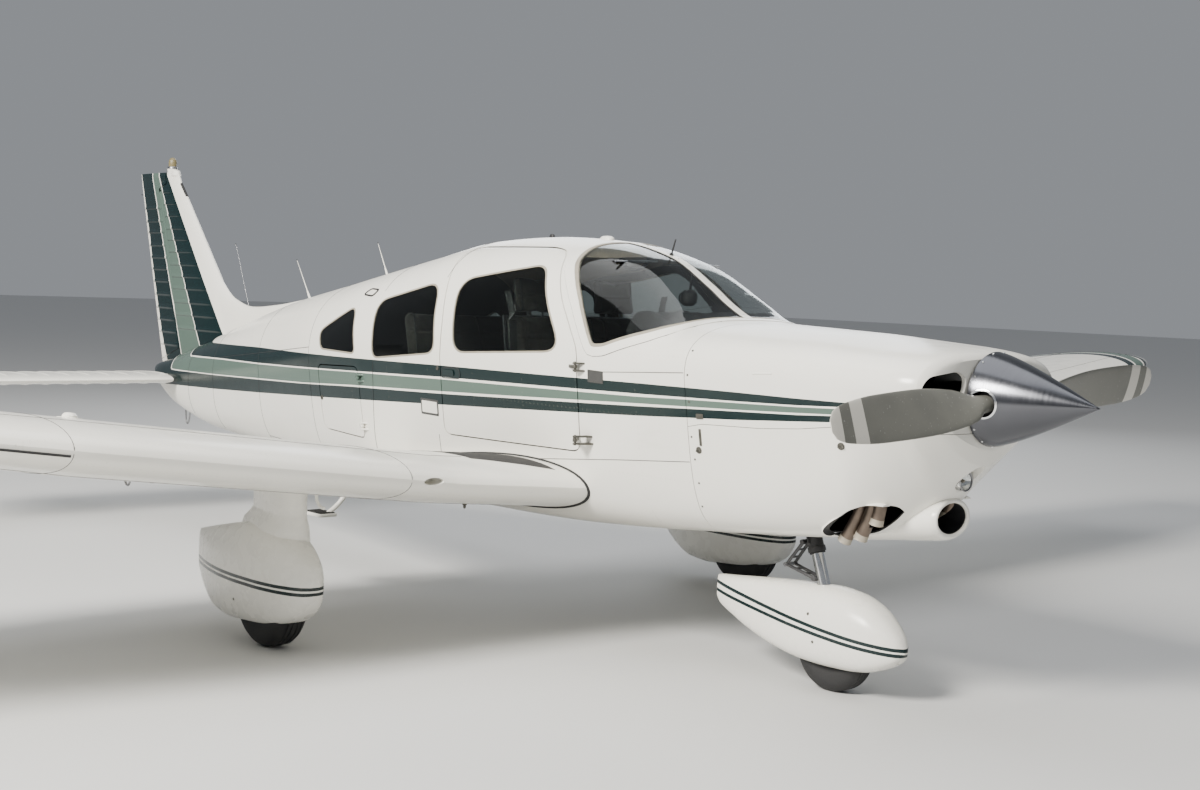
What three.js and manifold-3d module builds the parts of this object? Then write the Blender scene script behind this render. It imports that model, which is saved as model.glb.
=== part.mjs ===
import * as THREE from "three";
import { mergeVertices } from "three/addons/utils/BufferGeometryUtils.js";
import Module from "manifold-3d";

// Four-seat low-wing light aeroplane on fixed tricycle gear, in millimetres.
// +X points forward, +Y to port, +Z up. The origin is on the ground below the middle.
// Stations are measured aft from the tip of the spinner, as on a drawing board.

const wasm = await Module();
wasm.setup();

// Driving dimensions
const LENGTH = 7540;
const SEAT_GAP = 0.3;
const MOVE_GAP = 6;
const SKIN = 12;
const THRUST_Z = 1267;
const SPINNER = { length: 450, radius: 182 };
const PROP = { station: 394, lean: 3.8 };
const FIREWALL = 1600;
const REAR_BULKHEAD = 4560;
const FLOOR_Z = 700;
const TYRE = { radius: 222, width: 156, rim: 76 };
const MAIN_WHEEL = { station: 3119, side: 1520 };
const NOSE_WHEEL = { station: 1168 };
const STEER_AXIS = { top: [1430, 955], foot: [1170, 222] };
const AXLE_RADIUS = 15;

const x = (station) => LENGTH / 2 - station;
const point = (station, y, z) => new THREE.Vector3(x(station), y, z);
const rad = THREE.MathUtils.degToRad;
const mix = THREE.MathUtils.lerp;

// Paints and finishes
const paint = (name, color, roughness, metalness) =>
  Object.assign(new THREE.MeshStandardMaterial({ color, roughness, metalness }), { name });
const WHITE = paint("white", 0xe9e6dc, 0.3, 0.0);
const METAL = paint("metal", 0xa9adb0, 0.3, 1.0);
const DARK_METAL = paint("dark metal", 0x3a3b3c, 0.5, 0.9);
const BLADE_GREY = paint("blade grey", 0x6d6d66, 0.5, 0.3);
const GLASS = Object.assign(paint("glass", 0xcfd8d6, 0.05, 0.0), { transparent: true, opacity: 0.35 });
const RUBBER = paint("rubber", 0x1c1c1d, 0.85, 0.0);
const TRIM = paint("interior trim", 0x2a2b2c, 0.8, 0.0);
const SEAT_CLOTH = paint("seat cloth", 0x5a5650, 0.9, 0.0);
const AMBER = paint("amber lens", 0x96824f, 0.3, 0.0);

// Solids and their booleans
function solidOf(geometry) {
  const bare = geometry.clone();
  bare.deleteAttribute("normal");
  bare.deleteAttribute("uv");
  const merged = mergeVertices(bare, 1e-3);
  const mesh = new wasm.Mesh({
    numProp: 3,
    vertProperties: new Float32Array(merged.attributes.position.array),
    triVerts: new Uint32Array(merged.index.array),
  });
  return new wasm.Manifold(mesh);
}

function geometryOf(solid) {
  const mesh = solid.getMesh();
  const geometry = new THREE.BufferGeometry();
  geometry.setAttribute("position", new THREE.BufferAttribute(new Float32Array(mesh.vertProperties), 3));
  geometry.setIndex(new THREE.BufferAttribute(new Uint32Array(mesh.triVerts), 1));
  geometry.computeVertexNormals();
  return geometry;
}

const join = (...solids) => solids.reduce((all, next) => all.add(next));
const cut = (solid, ...tools) => tools.reduce((rest, tool) => rest.subtract(tool), solid);

function volumeOf(positions, triangles) {
  let sum = 0;
  for (const [a, b, c] of triangles) {
    sum += positions[a].dot(new THREE.Vector3().crossVectors(positions[b], positions[c]));
  }
  return sum;
}

// The two axes in which a ring is widest, so that its cap can be cut into triangles
function capTriangles(ring) {
  const box = new THREE.Box3().setFromPoints(ring);
  const size = box.getSize(new THREE.Vector3());
  const axes = ["x", "y", "z"].sort((a, b) => size[b] - size[a]).slice(0, 2);
  const flat = ring.map((p) => new THREE.Vector2(p[axes[0]], p[axes[1]]));
  return THREE.ShapeUtils.triangulateShape(flat, []);
}

// A closed skin through rings that all have the same number of points
function loft(rings) {
  const count = rings[0].length;
  const positions = rings.flat();
  const triangles = [];
  for (let r = 0; r + 1 < rings.length; r += 1) {
    for (let i = 0; i < count; i += 1) {
      const j = (i + 1) % count;
      const near = r * count;
      const far = near + count;
      triangles.push([near + i, near + j, far + j], [near + i, far + j, far + i]);
    }
  }
  const forward = (t, i, j) => t.some((corner, k) => corner === i && t[(k + 1) % 3] === j);
  const addCap = (ring, offset, sideRunsForward) => {
    const cap = capTriangles(ring);
    const runsForward = cap.some((t) => forward(t, 0, 1));
    for (const [a, b, c] of cap) {
      const turned = runsForward === sideRunsForward ? [a, c, b] : [a, b, c];
      triangles.push(turned.map((i) => i + offset));
    }
  };
  addCap(rings[0], 0, true);
  addCap(rings[rings.length - 1], (rings.length - 1) * count, false);
  const outward = volumeOf(positions, triangles) > 0;
  const geometry = new THREE.BufferGeometry();
  const numbers = positions.flatMap((p) => p.toArray());
  geometry.setAttribute("position", new THREE.Float32BufferAttribute(numbers, 3));
  geometry.setIndex(triangles.flatMap(([a, b, c]) => (outward ? [a, b, c] : [a, c, b])));
  return solidOf(geometry);
}

// Prisms of an outline: seen from the side, from the front and from above
function outlineShape(points) {
  return new THREE.Shape(points.map(([a, b]) => new THREE.Vector2(a, b)));
}

function prism(points, depth, basis, origin) {
  const geometry = new THREE.ExtrudeGeometry(outlineShape(points), { depth, bevelEnabled: false });
  const matrix = new THREE.Matrix4().makeBasis(...basis).setPosition(origin);
  return solidOf(geometry.applyMatrix4(matrix));
}

const AXIS_X = new THREE.Vector3(1, 0, 0);
const AXIS_Y = new THREE.Vector3(0, 1, 0);
const AXIS_Z = new THREE.Vector3(0, 0, 1);

function sidePrism(points, yLow, yHigh) {
  const outline = points.map(([station, z]) => [x(station), z]);
  const basis = [AXIS_X, AXIS_Z, AXIS_Y.clone().negate()];
  return prism(outline, yHigh - yLow, basis, new THREE.Vector3(0, yHigh, 0));
}

function frontPrism(points, stationFront, stationBack) {
  const basis = [AXIS_Y, AXIS_Z, AXIS_X];
  return prism(points, stationBack - stationFront, basis, new THREE.Vector3(x(stationBack), 0, 0));
}

function block(stationFront, stationBack, yLow, yHigh, zLow, zHigh) {
  const geometry = new THREE.BoxGeometry(stationBack - stationFront, yHigh - yLow, zHigh - zLow);
  geometry.translate(x((stationFront + stationBack) / 2), (yLow + yHigh) / 2, (zLow + zHigh) / 2);
  return solidOf(geometry);
}

// A straight round bar, or a cone where the second radius differs
function bar(from, to, radius, sides = 16, endRadius = radius) {
  const along = new THREE.Vector3().subVectors(to, from);
  const geometry = new THREE.CylinderGeometry(endRadius, radius, along.length(), sides);
  const turn = new THREE.Quaternion().setFromUnitVectors(AXIS_Y, along.clone().normalize());
  geometry.applyQuaternion(turn);
  geometry.translate(...new THREE.Vector3().addVectors(from, to).multiplyScalar(0.5).toArray());
  return solidOf(geometry);
}

// A pipe or bent rod whose centre line runs through the points
function pipe(points, radius, sides = 10, steps = 16) {
  const path = new THREE.CatmullRomCurve3(points);
  const section = new THREE.Shape();
  section.absarc(0, 0, radius, 0, Math.PI * 2);
  const options = { extrudePath: path, steps, bevelEnabled: false, curveSegments: sides / 2 };
  return solidOf(new THREE.ExtrudeGeometry(section, options));
}

// Each corner of an outline is turned into an arc-like curve of a few points
function rounded(points, radius, steps = 2) {
  const out = [];
  points.forEach((corner, i) => {
    const here = new THREE.Vector2(...corner);
    const before = new THREE.Vector2(...points[(i + points.length - 1) % points.length]);
    const after = new THREE.Vector2(...points[(i + 1) % points.length]);
    const reach = (other) => Math.min(radius, here.distanceTo(other) * 0.45);
    const start = here.clone().add(before.clone().sub(here).setLength(reach(before)));
    const end = here.clone().add(after.clone().sub(here).setLength(reach(after)));
    const curve = new THREE.QuadraticBezierCurve(start, here, end);
    curve.getPoints(steps).forEach((p) => out.push([p.x, p.y]));
  });
  return out;
}

// The outline moved inwards by a distance, or outwards by a negative one
function inset(points, distance) {
  const area = THREE.ShapeUtils.area(points.map(([a, b]) => new THREE.Vector2(a, b)));
  const turn = area > 0 ? 1 : -1;
  return points.map((corner, i) => {
    const before = points[(i + points.length - 1) % points.length];
    const after = points[(i + 1) % points.length];
    const normal = (a, b) => new THREE.Vector2(a[1] - b[1], b[0] - a[0]).setLength(turn);
    const first = normal(before, corner);
    const second = normal(corner, after);
    const both = first.clone().add(second);
    const shift = both.multiplyScalar((2 * distance) / both.lengthSq());
    return [corner[0] + shift.x, corner[1] + shift.y];
  });
}

function mirrored(solid) {
  const geometry = geometryOf(solid);
  geometry.scale(1, -1, 1);
  const index = geometry.index.array;
  for (let i = 0; i < index.length; i += 3) {
    [index[i + 1], index[i + 2]] = [index[i + 2], index[i + 1]];
  }
  return solidOf(geometry);
}

// Scene graph: a mesh is placed in its group, and its solid is given in the aeroplane's frame
const aircraft = new THREE.Group();
aircraft.name = "light_aircraft";

function groupAt(parent, position, rotation = new THREE.Euler()) {
  const group = new THREE.Group();
  group.position.copy(position);
  group.rotation.copy(rotation);
  parent.add(group);
  group.updateWorldMatrix(true, false);
  return group;
}

function place(name, solid, material, parent = aircraft) {
  const geometry = geometryOf(solid).applyMatrix4(parent.matrixWorld.clone().invert());
  const mesh = new THREE.Mesh(geometry, material);
  mesh.name = name;
  parent.add(mesh);
  return mesh;
}

// Fuselage sections. The upper curve is a superellipse, the lower one tapers towards the belly.
// Columns: station, top, bottom, half width, height of the widest point, upper power,
// lower power, taper of the sides towards the belly
const BODY = [
  [1600, 1508, 612, 524, 1280, 2.8, 5.0, 0.2],
  [1716, 1517, 603, 532, 1280, 2.68, 5.0, 0.2],
  [1848, 1574, 590, 540, 1280, 2.44, 5.0, 0.2],
  [1969, 1651, 580, 546, 1280, 2.42, 5.0, 0.19],
  [2219, 1783, 562, 556, 1280, 2.46, 5.0, 0.18],
  [2527, 1849, 545, 563, 1280, 2.6, 5.0, 0.17],
  [2885, 1871, 537, 566, 1275, 2.6, 5.0, 0.16],
  [3268, 1854, 535, 562, 1265, 2.6, 5.0, 0.16],
  [3679, 1780, 540, 550, 1250, 2.58, 5.0, 0.16],
  [4118, 1699, 551, 522, 1225, 2.5, 4.5, 0.16],
  [4560, 1620, 564, 474, 1188, 2.35, 4.0, 0.16],
  [5300, 1486, 592, 352, 1100, 2.3, 3.2, 0.1],
  [6256, 1247, 640, 214, 990, 2.1, 2.6, 0.04],
  [6856, 1088, 745, 128, 935, 2.0, 2.2, 0.0],
  [7100, 1028, 850, 82, 945, 2.0, 2.0, 0.0],
  [7200, 1004, 920, 44, 965, 2.0, 2.0, 0.0],
  [7229, 992, 962, 14, 977, 2.0, 2.0, 0.0],
];

// Cowling sections, with the same columns
const COWL = [
  [458, 1420, 1075, 392, 1290, 2.6, 1.7, 0.1],
  [466, 1432, 1062, 415, 1290, 2.6, 1.7, 0.12],
  [490, 1444, 1006, 440, 1288, 2.7, 1.7, 0.28],
  [568, 1456, 936, 466, 1285, 2.8, 2.1, 0.34],
  [640, 1463, 842, 475, 1285, 2.8, 2.4, 0.52],
  [700, 1467, 785, 479, 1284, 2.8, 2.6, 0.46],
  [780, 1472, 742, 482, 1284, 2.8, 3.3, 0.33],
  [860, 1477, 708, 486, 1283, 2.8, 4.2, 0.25],
  [1068, 1490, 664, 497, 1282, 2.8, 4.6, 0.22],
  [1350, 1500, 636, 511, 1281, 2.8, 5.0, 0.2],
  [1600, 1508, 612, 524, 1280, 2.8, 5.0, 0.2],
];

function between(table, station) {
  const next = Math.max(1, table.findIndex((row) => row[0] >= station - 1e-6));
  const [low, high] = [table[next - 1], table[next]];
  const share = (station - low[0]) / (high[0] - low[0]);
  return low.map((value, column) => mix(value, high[column], share));
}

const RING_STEPS = 7;
const LINING_STEPS = 4;

function bodyRing(row, shrink = 0, steps = RING_STEPS) {
  const [station, top, bottom, width, wide, upper, lower, taper] = row;
  const half = [];
  for (let i = 0; i <= steps; i += 1) {
    const angle = (i / steps) * (Math.PI / 2);
    const y = (width - shrink) * Math.sin(angle) ** (2 / upper);
    half.push([y, wide + (top - shrink - wide) * Math.cos(angle) ** (2 / upper)]);
  }
  for (let i = 1; i <= steps; i += 1) {
    const angle = (i / steps) * (Math.PI / 2);
    const depth = Math.sin(angle) ** (2 / lower);
    const y = (width - shrink) * (1 - taper * depth) * Math.cos(angle) ** (2 / lower);
    half.push([Math.max(y, 0), wide - (wide - bottom - shrink) * depth]);
  }
  const port = half.map(([y, z]) => point(station, y, z));
  const starboard = half.slice(1, -1).reverse().map(([y, z]) => point(station, -y, z));
  return [...port, ...starboard];
}

function bodyLoft(table, from, to, shrink = 0, steps = RING_STEPS) {
  const rows = table.filter((row) => row[0] > from + 1 && row[0] < to - 1);
  const all = [between(table, from), ...rows, between(table, to)];
  return loft(all.map((row) => bodyRing(row, shrink, steps)));
}

// Side outlines of the cabin's openings: station, height. The corners follow clockwise from low front.
const WINDSCREEN_CUT = [
  [1735, 1524],
  [1775, 1487],
  [1861, 1450],
  [1991, 1410],
  [2085, 1378],
  [2155, 1374],
  [2235, 1489],
  [2301, 1575],
  [2381, 1663],
  [2461, 1745],
  [2497, 1805],
  [2512, 1846],
  [2512, 1950],
  [1700, 1950],
];
const DOOR = [
  [2244, 905],
  [2231, 1353],
  [2322, 1486],
  [2399, 1577],
  [2472, 1675],
  [2560, 1790],
  [2680, 1815],
  [3270, 1813],
  [3342, 1775],
  [3264, 1593],
  [3236, 1450],
  [3240, 895],
];
const DOOR_PANE = [
  [2374, 1342],
  [2394, 1432],
  [2605, 1732],
  [3172, 1648],
  [3130, 1296],
];
const REAR_PANE = [
  [3278, 1284],
  [3326, 1640],
  [3868, 1525],
  [3848, 1228],
];
const QUARTER_PANE = [
  [4020, 1240],
  [4088, 1500],
  [4452, 1345],
  [4416, 1246],
];
const BAGGAGE_DOOR = [
  [3985, 800],
  [4000, 1180],
  [4450, 1165],
  [4440, 815],
];
const POST_HALF = 22;
const PANE_THICK = 5;

const bodyOuter = bodyLoft(BODY, FIREWALL, 7229);
const cabinOuter = bodyLoft(BODY, FIREWALL, REAR_BULKHEAD);
const cabinInner = bodyLoft(BODY, FIREWALL + SKIN, REAR_BULKHEAD - SKIN, SKIN, LINING_STEPS);
const cabinHollow = cut(cabinInner, block(1500, 4700, -700, 700, 0, FLOOR_Z));

const sides = { L: 1, R: -1 };
const sideBand = (outline, side, inner = 250) =>
  side > 0 ? sidePrism(outline, inner, 900) : sidePrism(outline, -900, -inner);

function paneOf(outline, side, inner = 250) {
  const skin = cut(bodyLoft(BODY, 1650, 4520, 2), bodyLoft(BODY, 1640, 4530, 2 + PANE_THICK));
  return skin.intersect(sideBand(inset(outline, SEAT_GAP), side, inner));
}

const doorOutline = rounded(DOOR, 60);
const doorPaneOutline = rounded(DOOR_PANE, 60);
const rearPaneOutline = rounded(REAR_PANE, 60);
const quarterPaneOutline = rounded(QUARTER_PANE, 45);
const baggageOutline = rounded(BAGGAGE_DOOR, 50);
const windscreenOutline = rounded(WINDSCREEN_CUT, 20, 1);
const windscreenHole = cut(
  sidePrism(windscreenOutline, -900, 900),
  block(1500, 2600, -POST_HALF, POST_HALF, 1000, 2100),
);

const cabinShell = cut(
  cabinOuter,
  cabinHollow,
  windscreenHole,
  sideBand(doorOutline, -1),
  sideBand(doorPaneOutline, 1),
  sideBand(rearPaneOutline, 1),
  sideBand(rearPaneOutline, -1),
  sideBand(quarterPaneOutline, 1),
  sideBand(quarterPaneOutline, -1),
  sideBand(baggageOutline, -1),
);

for (const [name, side] of Object.entries(sides)) {
  place(`rear_window_${name}`, paneOf(rearPaneOutline, side), GLASS);
  place(`quarter_window_${name}`, paneOf(quarterPaneOutline, side), GLASS);
}
place("front_window_L", paneOf(doorPaneOutline, 1), GLASS);

const glassSkin = cut(bodyLoft(BODY, 1602, 2600, 2), bodyLoft(BODY, 1601, 2601, 2 + PANE_THICK));
const windscreenGlass = glassSkin.intersect(sidePrism(inset(windscreenOutline, SEAT_GAP), -900, 900));
const starboardOfPost = block(1500, 2600, -900, -POST_HALF - 0.4, 1000, 2100);
const portOfPost = block(1500, 2600, POST_HALF + 0.4, 900, 1000, 2100);
place("windscreen_R", windscreenGlass.intersect(starboardOfPost), GLASS);
place("windscreen_L", windscreenGlass.intersect(portOfPost), GLASS);

// Cowling, split level with the lower stripe
const COWL_SPLIT = 1140;
const COWL_WALL = 7;
const INLET = [
  [215, 1225],
  [170, 1345],
  [225, 1375],
  [400, 1355],
  [432, 1300],
  [395, 1205],
];
// The cooling scoop under the chin. Columns: station, half width, bottom, top
const SCOOP = [
  [618, 112, 712, 868],
  [632, 120, 704, 872],
  [720, 122, 690, 850],
  [900, 110, 668, 790],
  [1100, 70, 640, 720],
];
const SCOOP_MOUTH = { half: 96, low: 728, high: 852 };
const LAMP = { z: 940, radius: 44 };
const cowlOuter = bodyLoft(COWL, 466, FIREWALL - SEAT_GAP);
const cowlInner = bodyLoft(COWL, 476, FIREWALL, COWL_WALL, LINING_STEPS);
const shaftHole = bar(point(440, 0, THRUST_Z), point(520, 0, THRUST_Z), 95, 24);
const inletHoles = [1, -1].map((side) =>
  frontPrism(rounded(INLET.map(([y, z]) => [y * side, z]), 40), 440, 520),
);
const cowlShell = cut(cowlOuter, cowlInner, shaftHole, ...inletHoles);
const ovalRing = (station, side, half, low, high, count = 14) =>
  Array.from({ length: count }, (_, i) => {
    const angle = (i / count) * Math.PI * 2;
    return point(station, side + half * Math.cos(angle), mix(low, high, 0.5 + Math.sin(angle) / 2));
  });
const scoopBody = loft(SCOOP.map(([station, half, low, high]) => ovalRing(station, 0, half, low, high)));
const scoopHole = loft(
  [600, 760].map((station) => ovalRing(station, 0, SCOOP_MOUTH.half, SCOOP_MOUTH.low, SCOOP_MOUTH.high)),
);
const lampHole = bar(point(440, 0, LAMP.z), point(640, 0, LAMP.z), LAMP.radius, 20);
const noseLegHole = block(1180, 1420, -60, 60, 560, 760);
const belowSplit = block(400, 1700, -700, 700, 400, COWL_SPLIT);
const aboveSplit = block(400, 1700, -700, 700, COWL_SPLIT + SEAT_GAP, 1700);

// Cheek over each exhaust outlet, open below. Columns: station, half width, bottom, top
const CHEEK = [
  [736, 30, 800, 846],
  [770, 66, 740, 852],
  [850, 84, 690, 836],
  [940, 80, 680, 796],
  [1010, 50, 690, 744],
];
const CHEEK_SIDE = 262;
const cheek = (side) =>
  loft(CHEEK.map(([station, half, low, high]) => ovalRing(station, side * CHEEK_SIDE, half, low, high, 10)));
const OUTLET = [
  [752, 540],
  [752, 740],
  [772, 808],
  [850, 792],
  [940, 752],
  [990, 700],
  [990, 540],
];
const outletHoles = [sidePrism(OUTLET, 196, 400), sidePrism(OUTLET, -400, -196)];

// Exhaust under each bank of cylinders: two risers, a log and three stubs that end in the open.
// Columns: station where the stub leaves the log, station and height of its end
const EXHAUST = { side: 222, z: 884, log: 28, riser: 22, stub: 27 };
const STUB = [
  [790, 802, 752],
  [822, 882, 694],
  [884, 970, 668],
];
function exhaust(side, extra = 0) {
  const y = side * EXHAUST.side;
  const from = (station) => point(station, y, EXHAUST.z);
  const log = bar(from(766 - extra), from(915 + extra), EXHAUST.log + extra, 12);
  const riser = (at) => bar(from(at), point(at, y, 980 - SEAT_GAP), EXHAUST.riser + extra, 10);
  const stubs = STUB.map(([start, end, low]) =>
    bar(from(start), point(end, y, low), EXHAUST.stub + extra, 12),
  );
  return join(log, riser(800), riser(880), ...stubs);
}
for (const [name, side] of Object.entries(sides)) {
  place(`exhaust_${name}`, exhaust(side), DARK_METAL);
}
const lowerCowl = cut(
  join(
    cowlShell.intersect(belowSplit),
    cut(scoopBody, cowlInner),
    ...[1, -1].map((side) => cut(cheek(side), cowlInner)),
  ),
  scoopHole,
  lampHole,
  noseLegHole,
  ...outletHoles,
  exhaust(1, 6),
  exhaust(-1, 6),
);
place("upper_cowl", cowlShell.intersect(aboveSplit), WHITE);
place("lower_cowl", lowerCowl, WHITE);
const lampRoom = bodyLoft(COWL, 470, 700, 3);
const lampBar = bar(point(650, 0, LAMP.z), point(470, 0, LAMP.z), LAMP.radius - SEAT_GAP, 20);
place("landing_lamp", lampBar.intersect(lampRoom), METAL);

// Engine as one plain block with its crankshaft, held on the firewall by four mount tubes
const crank = bar(point(641, 0, THRUST_Z), point(454 + SEAT_GAP, 0, THRUST_Z), 60, 20);
const mountTubes = [
  [1, 1010],
  [-1, 1010],
  [1, 1260],
  [-1, 1260],
].map(([side, z]) => bar(point(1260, side * 300, z), point(FIREWALL - SEAT_GAP, side * 300, z), 11, 8));
const cylinders = block(860, 1290, -400, 400, 1130, 1345);
const crankcase = join(block(760, 1270, -330, 330, 980, 1131), block(640, 761, -200, 200, 1060, 1330));
const sump = block(790, 1180, -170, 170, 880, 981);
place("engine", join(cylinders, crankcase, sump, crank, ...mountTubes), DARK_METAL);

// Propeller and spinner turn together on the crankshaft
const propeller = groupAt(aircraft, point(PROP.station, 0, THRUST_Z), new THREE.Euler(rad(PROP.lean), 0, 0));

// Columns: radius, chord, thickness
const BLADE = [
  [40, 66, 62],
  [130, 70, 60],
  [186, 84, 50],
  [240, 134, 34],
  [300, 158, 28],
  [510, 180, 20],
  [760, 172, 14],
  [930, 140, 10],
  [995, 98, 7],
  [1016, 44, 4],
];
const BLADE_PITCH = 1500;
function blade(side) {
  const rings = BLADE.map(([radius, chord, thick]) => {
    const angle = Math.atan2(BLADE_PITCH, 2 * Math.PI * Math.max(radius, 200));
    const ring = [];
    for (let i = 0; i < 10; i += 1) {
      const turn = (i / 10) * Math.PI * 2;
      const along = (chord / 2) * Math.cos(turn);
      const across = (thick / 2) * Math.sin(turn);
      const forward = along * Math.sin(angle) + across * Math.cos(angle);
      const upward = -along * Math.cos(angle) + across * Math.sin(angle);
      ring.push(new THREE.Vector3(forward, -radius, upward));
    }
    return ring;
  });
  const solid = loft(rings);
  return side < 0 ? solid : solidOf(geometryOf(solid).rotateX(Math.PI));
}

function inWorld(solid, group) {
  return solidOf(geometryOf(solid).applyMatrix4(group.matrixWorld));
}

const HUB_RADIUS = 68;
const hub = bar(new THREE.Vector3(-60, 0, 0), new THREE.Vector3(95, 0, 0), HUB_RADIUS, 20);
const bladesAndHub = join(hub, blade(1), blade(-1));
place("propeller", inWorld(bladesAndHub, propeller), BLADE_GREY, propeller);

const spinnerProfile = [[0, 0]];
const SPINNER_STEPS = 6;
for (let i = 1; i <= SPINNER_STEPS; i += 1) {
  const share = i / SPINNER_STEPS;
  const radius = SPINNER.radius * (1 - (1 - share) ** 1.23) ** 1.03;
  spinnerProfile.push([radius, share * SPINNER.length]);
}
const spinnerInside = [4, 2].map((step) => {
  const [radius, station] = spinnerProfile[step];
  return [radius - 7, station + 4];
});
const PLATE = { front: 438, back: 446 };
const shell = [
  ...spinnerProfile,
  [SPINNER.radius - 6, SPINNER.length],
  [SPINNER.radius - 6, PLATE.back],
  [HUB_RADIUS + SEAT_GAP, PLATE.back],
  [HUB_RADIUS + SEAT_GAP, PLATE.front],
  [SPINNER.radius - 8, PLATE.front],
  ...spinnerInside,
  [0, spinnerInside.at(-1)[1] - 26],
];
const spinnerLathe = new THREE.LatheGeometry(
  shell.reverse().map(([radius, station]) => new THREE.Vector2(radius, -station)),
  20,
);
spinnerLathe.rotateZ(-Math.PI / 2);
spinnerLathe.translate(PROP.station, 0, 0);
const bladeSlots = [-1, 1].map((side) =>
  bar(new THREE.Vector3(0, side * 80, 0), new THREE.Vector3(0, side * 200, 0), 50, 16),
);
const spinnerSolid = cut(solidOf(spinnerLathe), ...bladeSlots);
place("spinner", inWorld(spinnerSolid, propeller), METAL, propeller);

// Airfoil outline from leading to trailing edge: thickness and camber as shares of the chord
const AIRFOIL_STEPS = 8;
function halfThickness(share, thick) {
  const bulge = 0.2969 * Math.sqrt(share) - 0.126 * share - 0.3516 * share ** 2;
  return 5 * thick * (bulge + 0.2843 * share ** 3 - 0.1 * share ** 4);
}
function camberAt(share, camber) {
  return 4 * camber * share * (1 - share);
}
function airfoil(thick, camber) {
  const outline = [];
  const shareAt = (i) => (1 - Math.cos((i / AIRFOIL_STEPS) * Math.PI)) / 2;
  const shares = Array.from({ length: AIRFOIL_STEPS + 1 }, (_, i) => shareAt(i));
  for (const share of shares) {
    outline.push([share, camberAt(share, camber) + halfThickness(share, thick)]);
  }
  for (const share of shares.slice(1).reverse()) {
    outline.push([share, camberAt(share, camber) - halfThickness(share, thick)]);
  }
  return outline;
}

// Wing. Columns: side distance, leading edge station, chord, thickness share
const WING = [
  [400, 2219, 1717, 0.135],
  [470, 2243, 1693, 0.135],
  [1080, 2336, 1600, 0.14],
  [2697, 2336, 1600, 0.14],
  [4950, 2690, 1028, 0.135],
];
// Tip, with a last column for how far it sinks below the line of the wing
const TIP = [
  [4950.3, 2690, 1028, 0.135, 0],
  [5090, 2760, 945, 0.12, 8],
  [5220, 2890, 800, 0.1, 24],
  [5310, 3060, 600, 0.075, 42],
  [5335, 3200, 430, 0.05, 52],
];
const WING_CAMBER = 0.005;
const DIHEDRAL_SLOPE = 0.1195;
const WING_ROOT = { side: 560, z: 722, incidence: 2.8 };
const TIP_WASHOUT = 2.5;

const wingEdgeZ = (y) => WING_ROOT.z + DIHEDRAL_SLOPE * (y - WING_ROOT.side);
const wingAngle = (y) => rad(WING_ROOT.incidence - TIP_WASHOUT * Math.max(0, (y - 2697) / 2638));
function wingPoint(row, share, height) {
  const [y, edge, chord, , sink = 0] = row;
  const angle = wingAngle(y);
  const lift = y < 1080 ? (1080 - y) * 0.0557 : -sink;
  const along = share * chord;
  const up = height * chord;
  return point(
    edge + along * Math.cos(angle) + up * Math.sin(angle),
    y,
    wingEdgeZ(y) + lift - along * Math.sin(angle) + up * Math.cos(angle),
  );
}
const wingRing = (row) =>
  airfoil(row[3], WING_CAMBER).map(([share, height]) => wingPoint(row, share, height));
const wingWhole = loft(WING.map(wingRing));
const tipSolid = loft(TIP.map(wingRing));

// A hinged surface: its nose is round about the hinge line and its ends are square to it.
// A horn is a part past the far pin that also reaches in front of the hinge line.
const PIN = { radius: 6, bore: 6.4, depth: 18 };
function hinged(whole, from, to, noseFrom, noseTo, horn) {
  const along = new THREE.Vector3().subVectors(to, from);
  const span = along.length();
  const u = along.clone().normalize();
  const aft = AXIS_X.clone().negate();
  aft.addScaledVector(u, -aft.dot(u)).normalize();
  const w = new THREE.Vector3().crossVectors(u, aft);
  const slab = (low, high, front, back = 900, half = 300) => {
    const geometry = new THREE.BoxGeometry(high - low, back - front, 2 * half);
    geometry.translate((high + low) / 2, (back + front) / 2, 0);
    return solidOf(geometry.applyMatrix4(new THREE.Matrix4().makeBasis(u, aft, w).setPosition(from)));
  };
  const at = (distance) => from.clone().addScaledVector(u, distance);
  const nose = (low, high, extra) => {
    const radiusAt = (d) => mix(noseFrom, noseTo, d / span) + extra;
    return bar(at(low), at(high), radiusAt(low), 16, radiusAt(high));
  };
  const bores = [0, span].map((d) => bar(at(d - PIN.depth - 4), at(d + PIN.depth + 4), PIN.bore, 12));
  const pins = [
    bar(at(-MOVE_GAP - 12), at(PIN.depth), PIN.radius, 12),
    bar(at(span - PIN.depth), at(span + MOVE_GAP + 12), PIN.radius, 12),
  ];
  const shape = [slab(0, span, 0), nose(0, span, 0)];
  const room = [slab(-MOVE_GAP, span + MOVE_GAP, -MOVE_GAP), nose(-MOVE_GAP, span + MOVE_GAP, MOVE_GAP)];
  if (horn) {
    const foot = span + horn.foot;
    const [armLow, armHigh] = [span + MOVE_GAP + 1, foot - MOVE_GAP - 1];
    shape.push(slab(span, span + horn.tall, 0), slab(foot, span + horn.tall, -horn.reach));
    room.push(slab(span, span + horn.tall, -MOVE_GAP));
    room.push(slab(foot - MOVE_GAP, span + horn.tall, -horn.reach - horn.swing));
    bores.push(bar(at(span - 1), at(foot), horn.armRoom, 20));
    pins.push(bar(at(armLow), at(armHigh), PIN.radius * 2, 12));
    pins.push(slab(armLow, armHigh, -horn.armRoom, 0, horn.armHalf));
  }
  const moving = cut(whole.intersect(join(...shape)), ...bores);
  const fixed = join(cut(whole, ...room), ...pins);
  return { moving, fixed };
}

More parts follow.
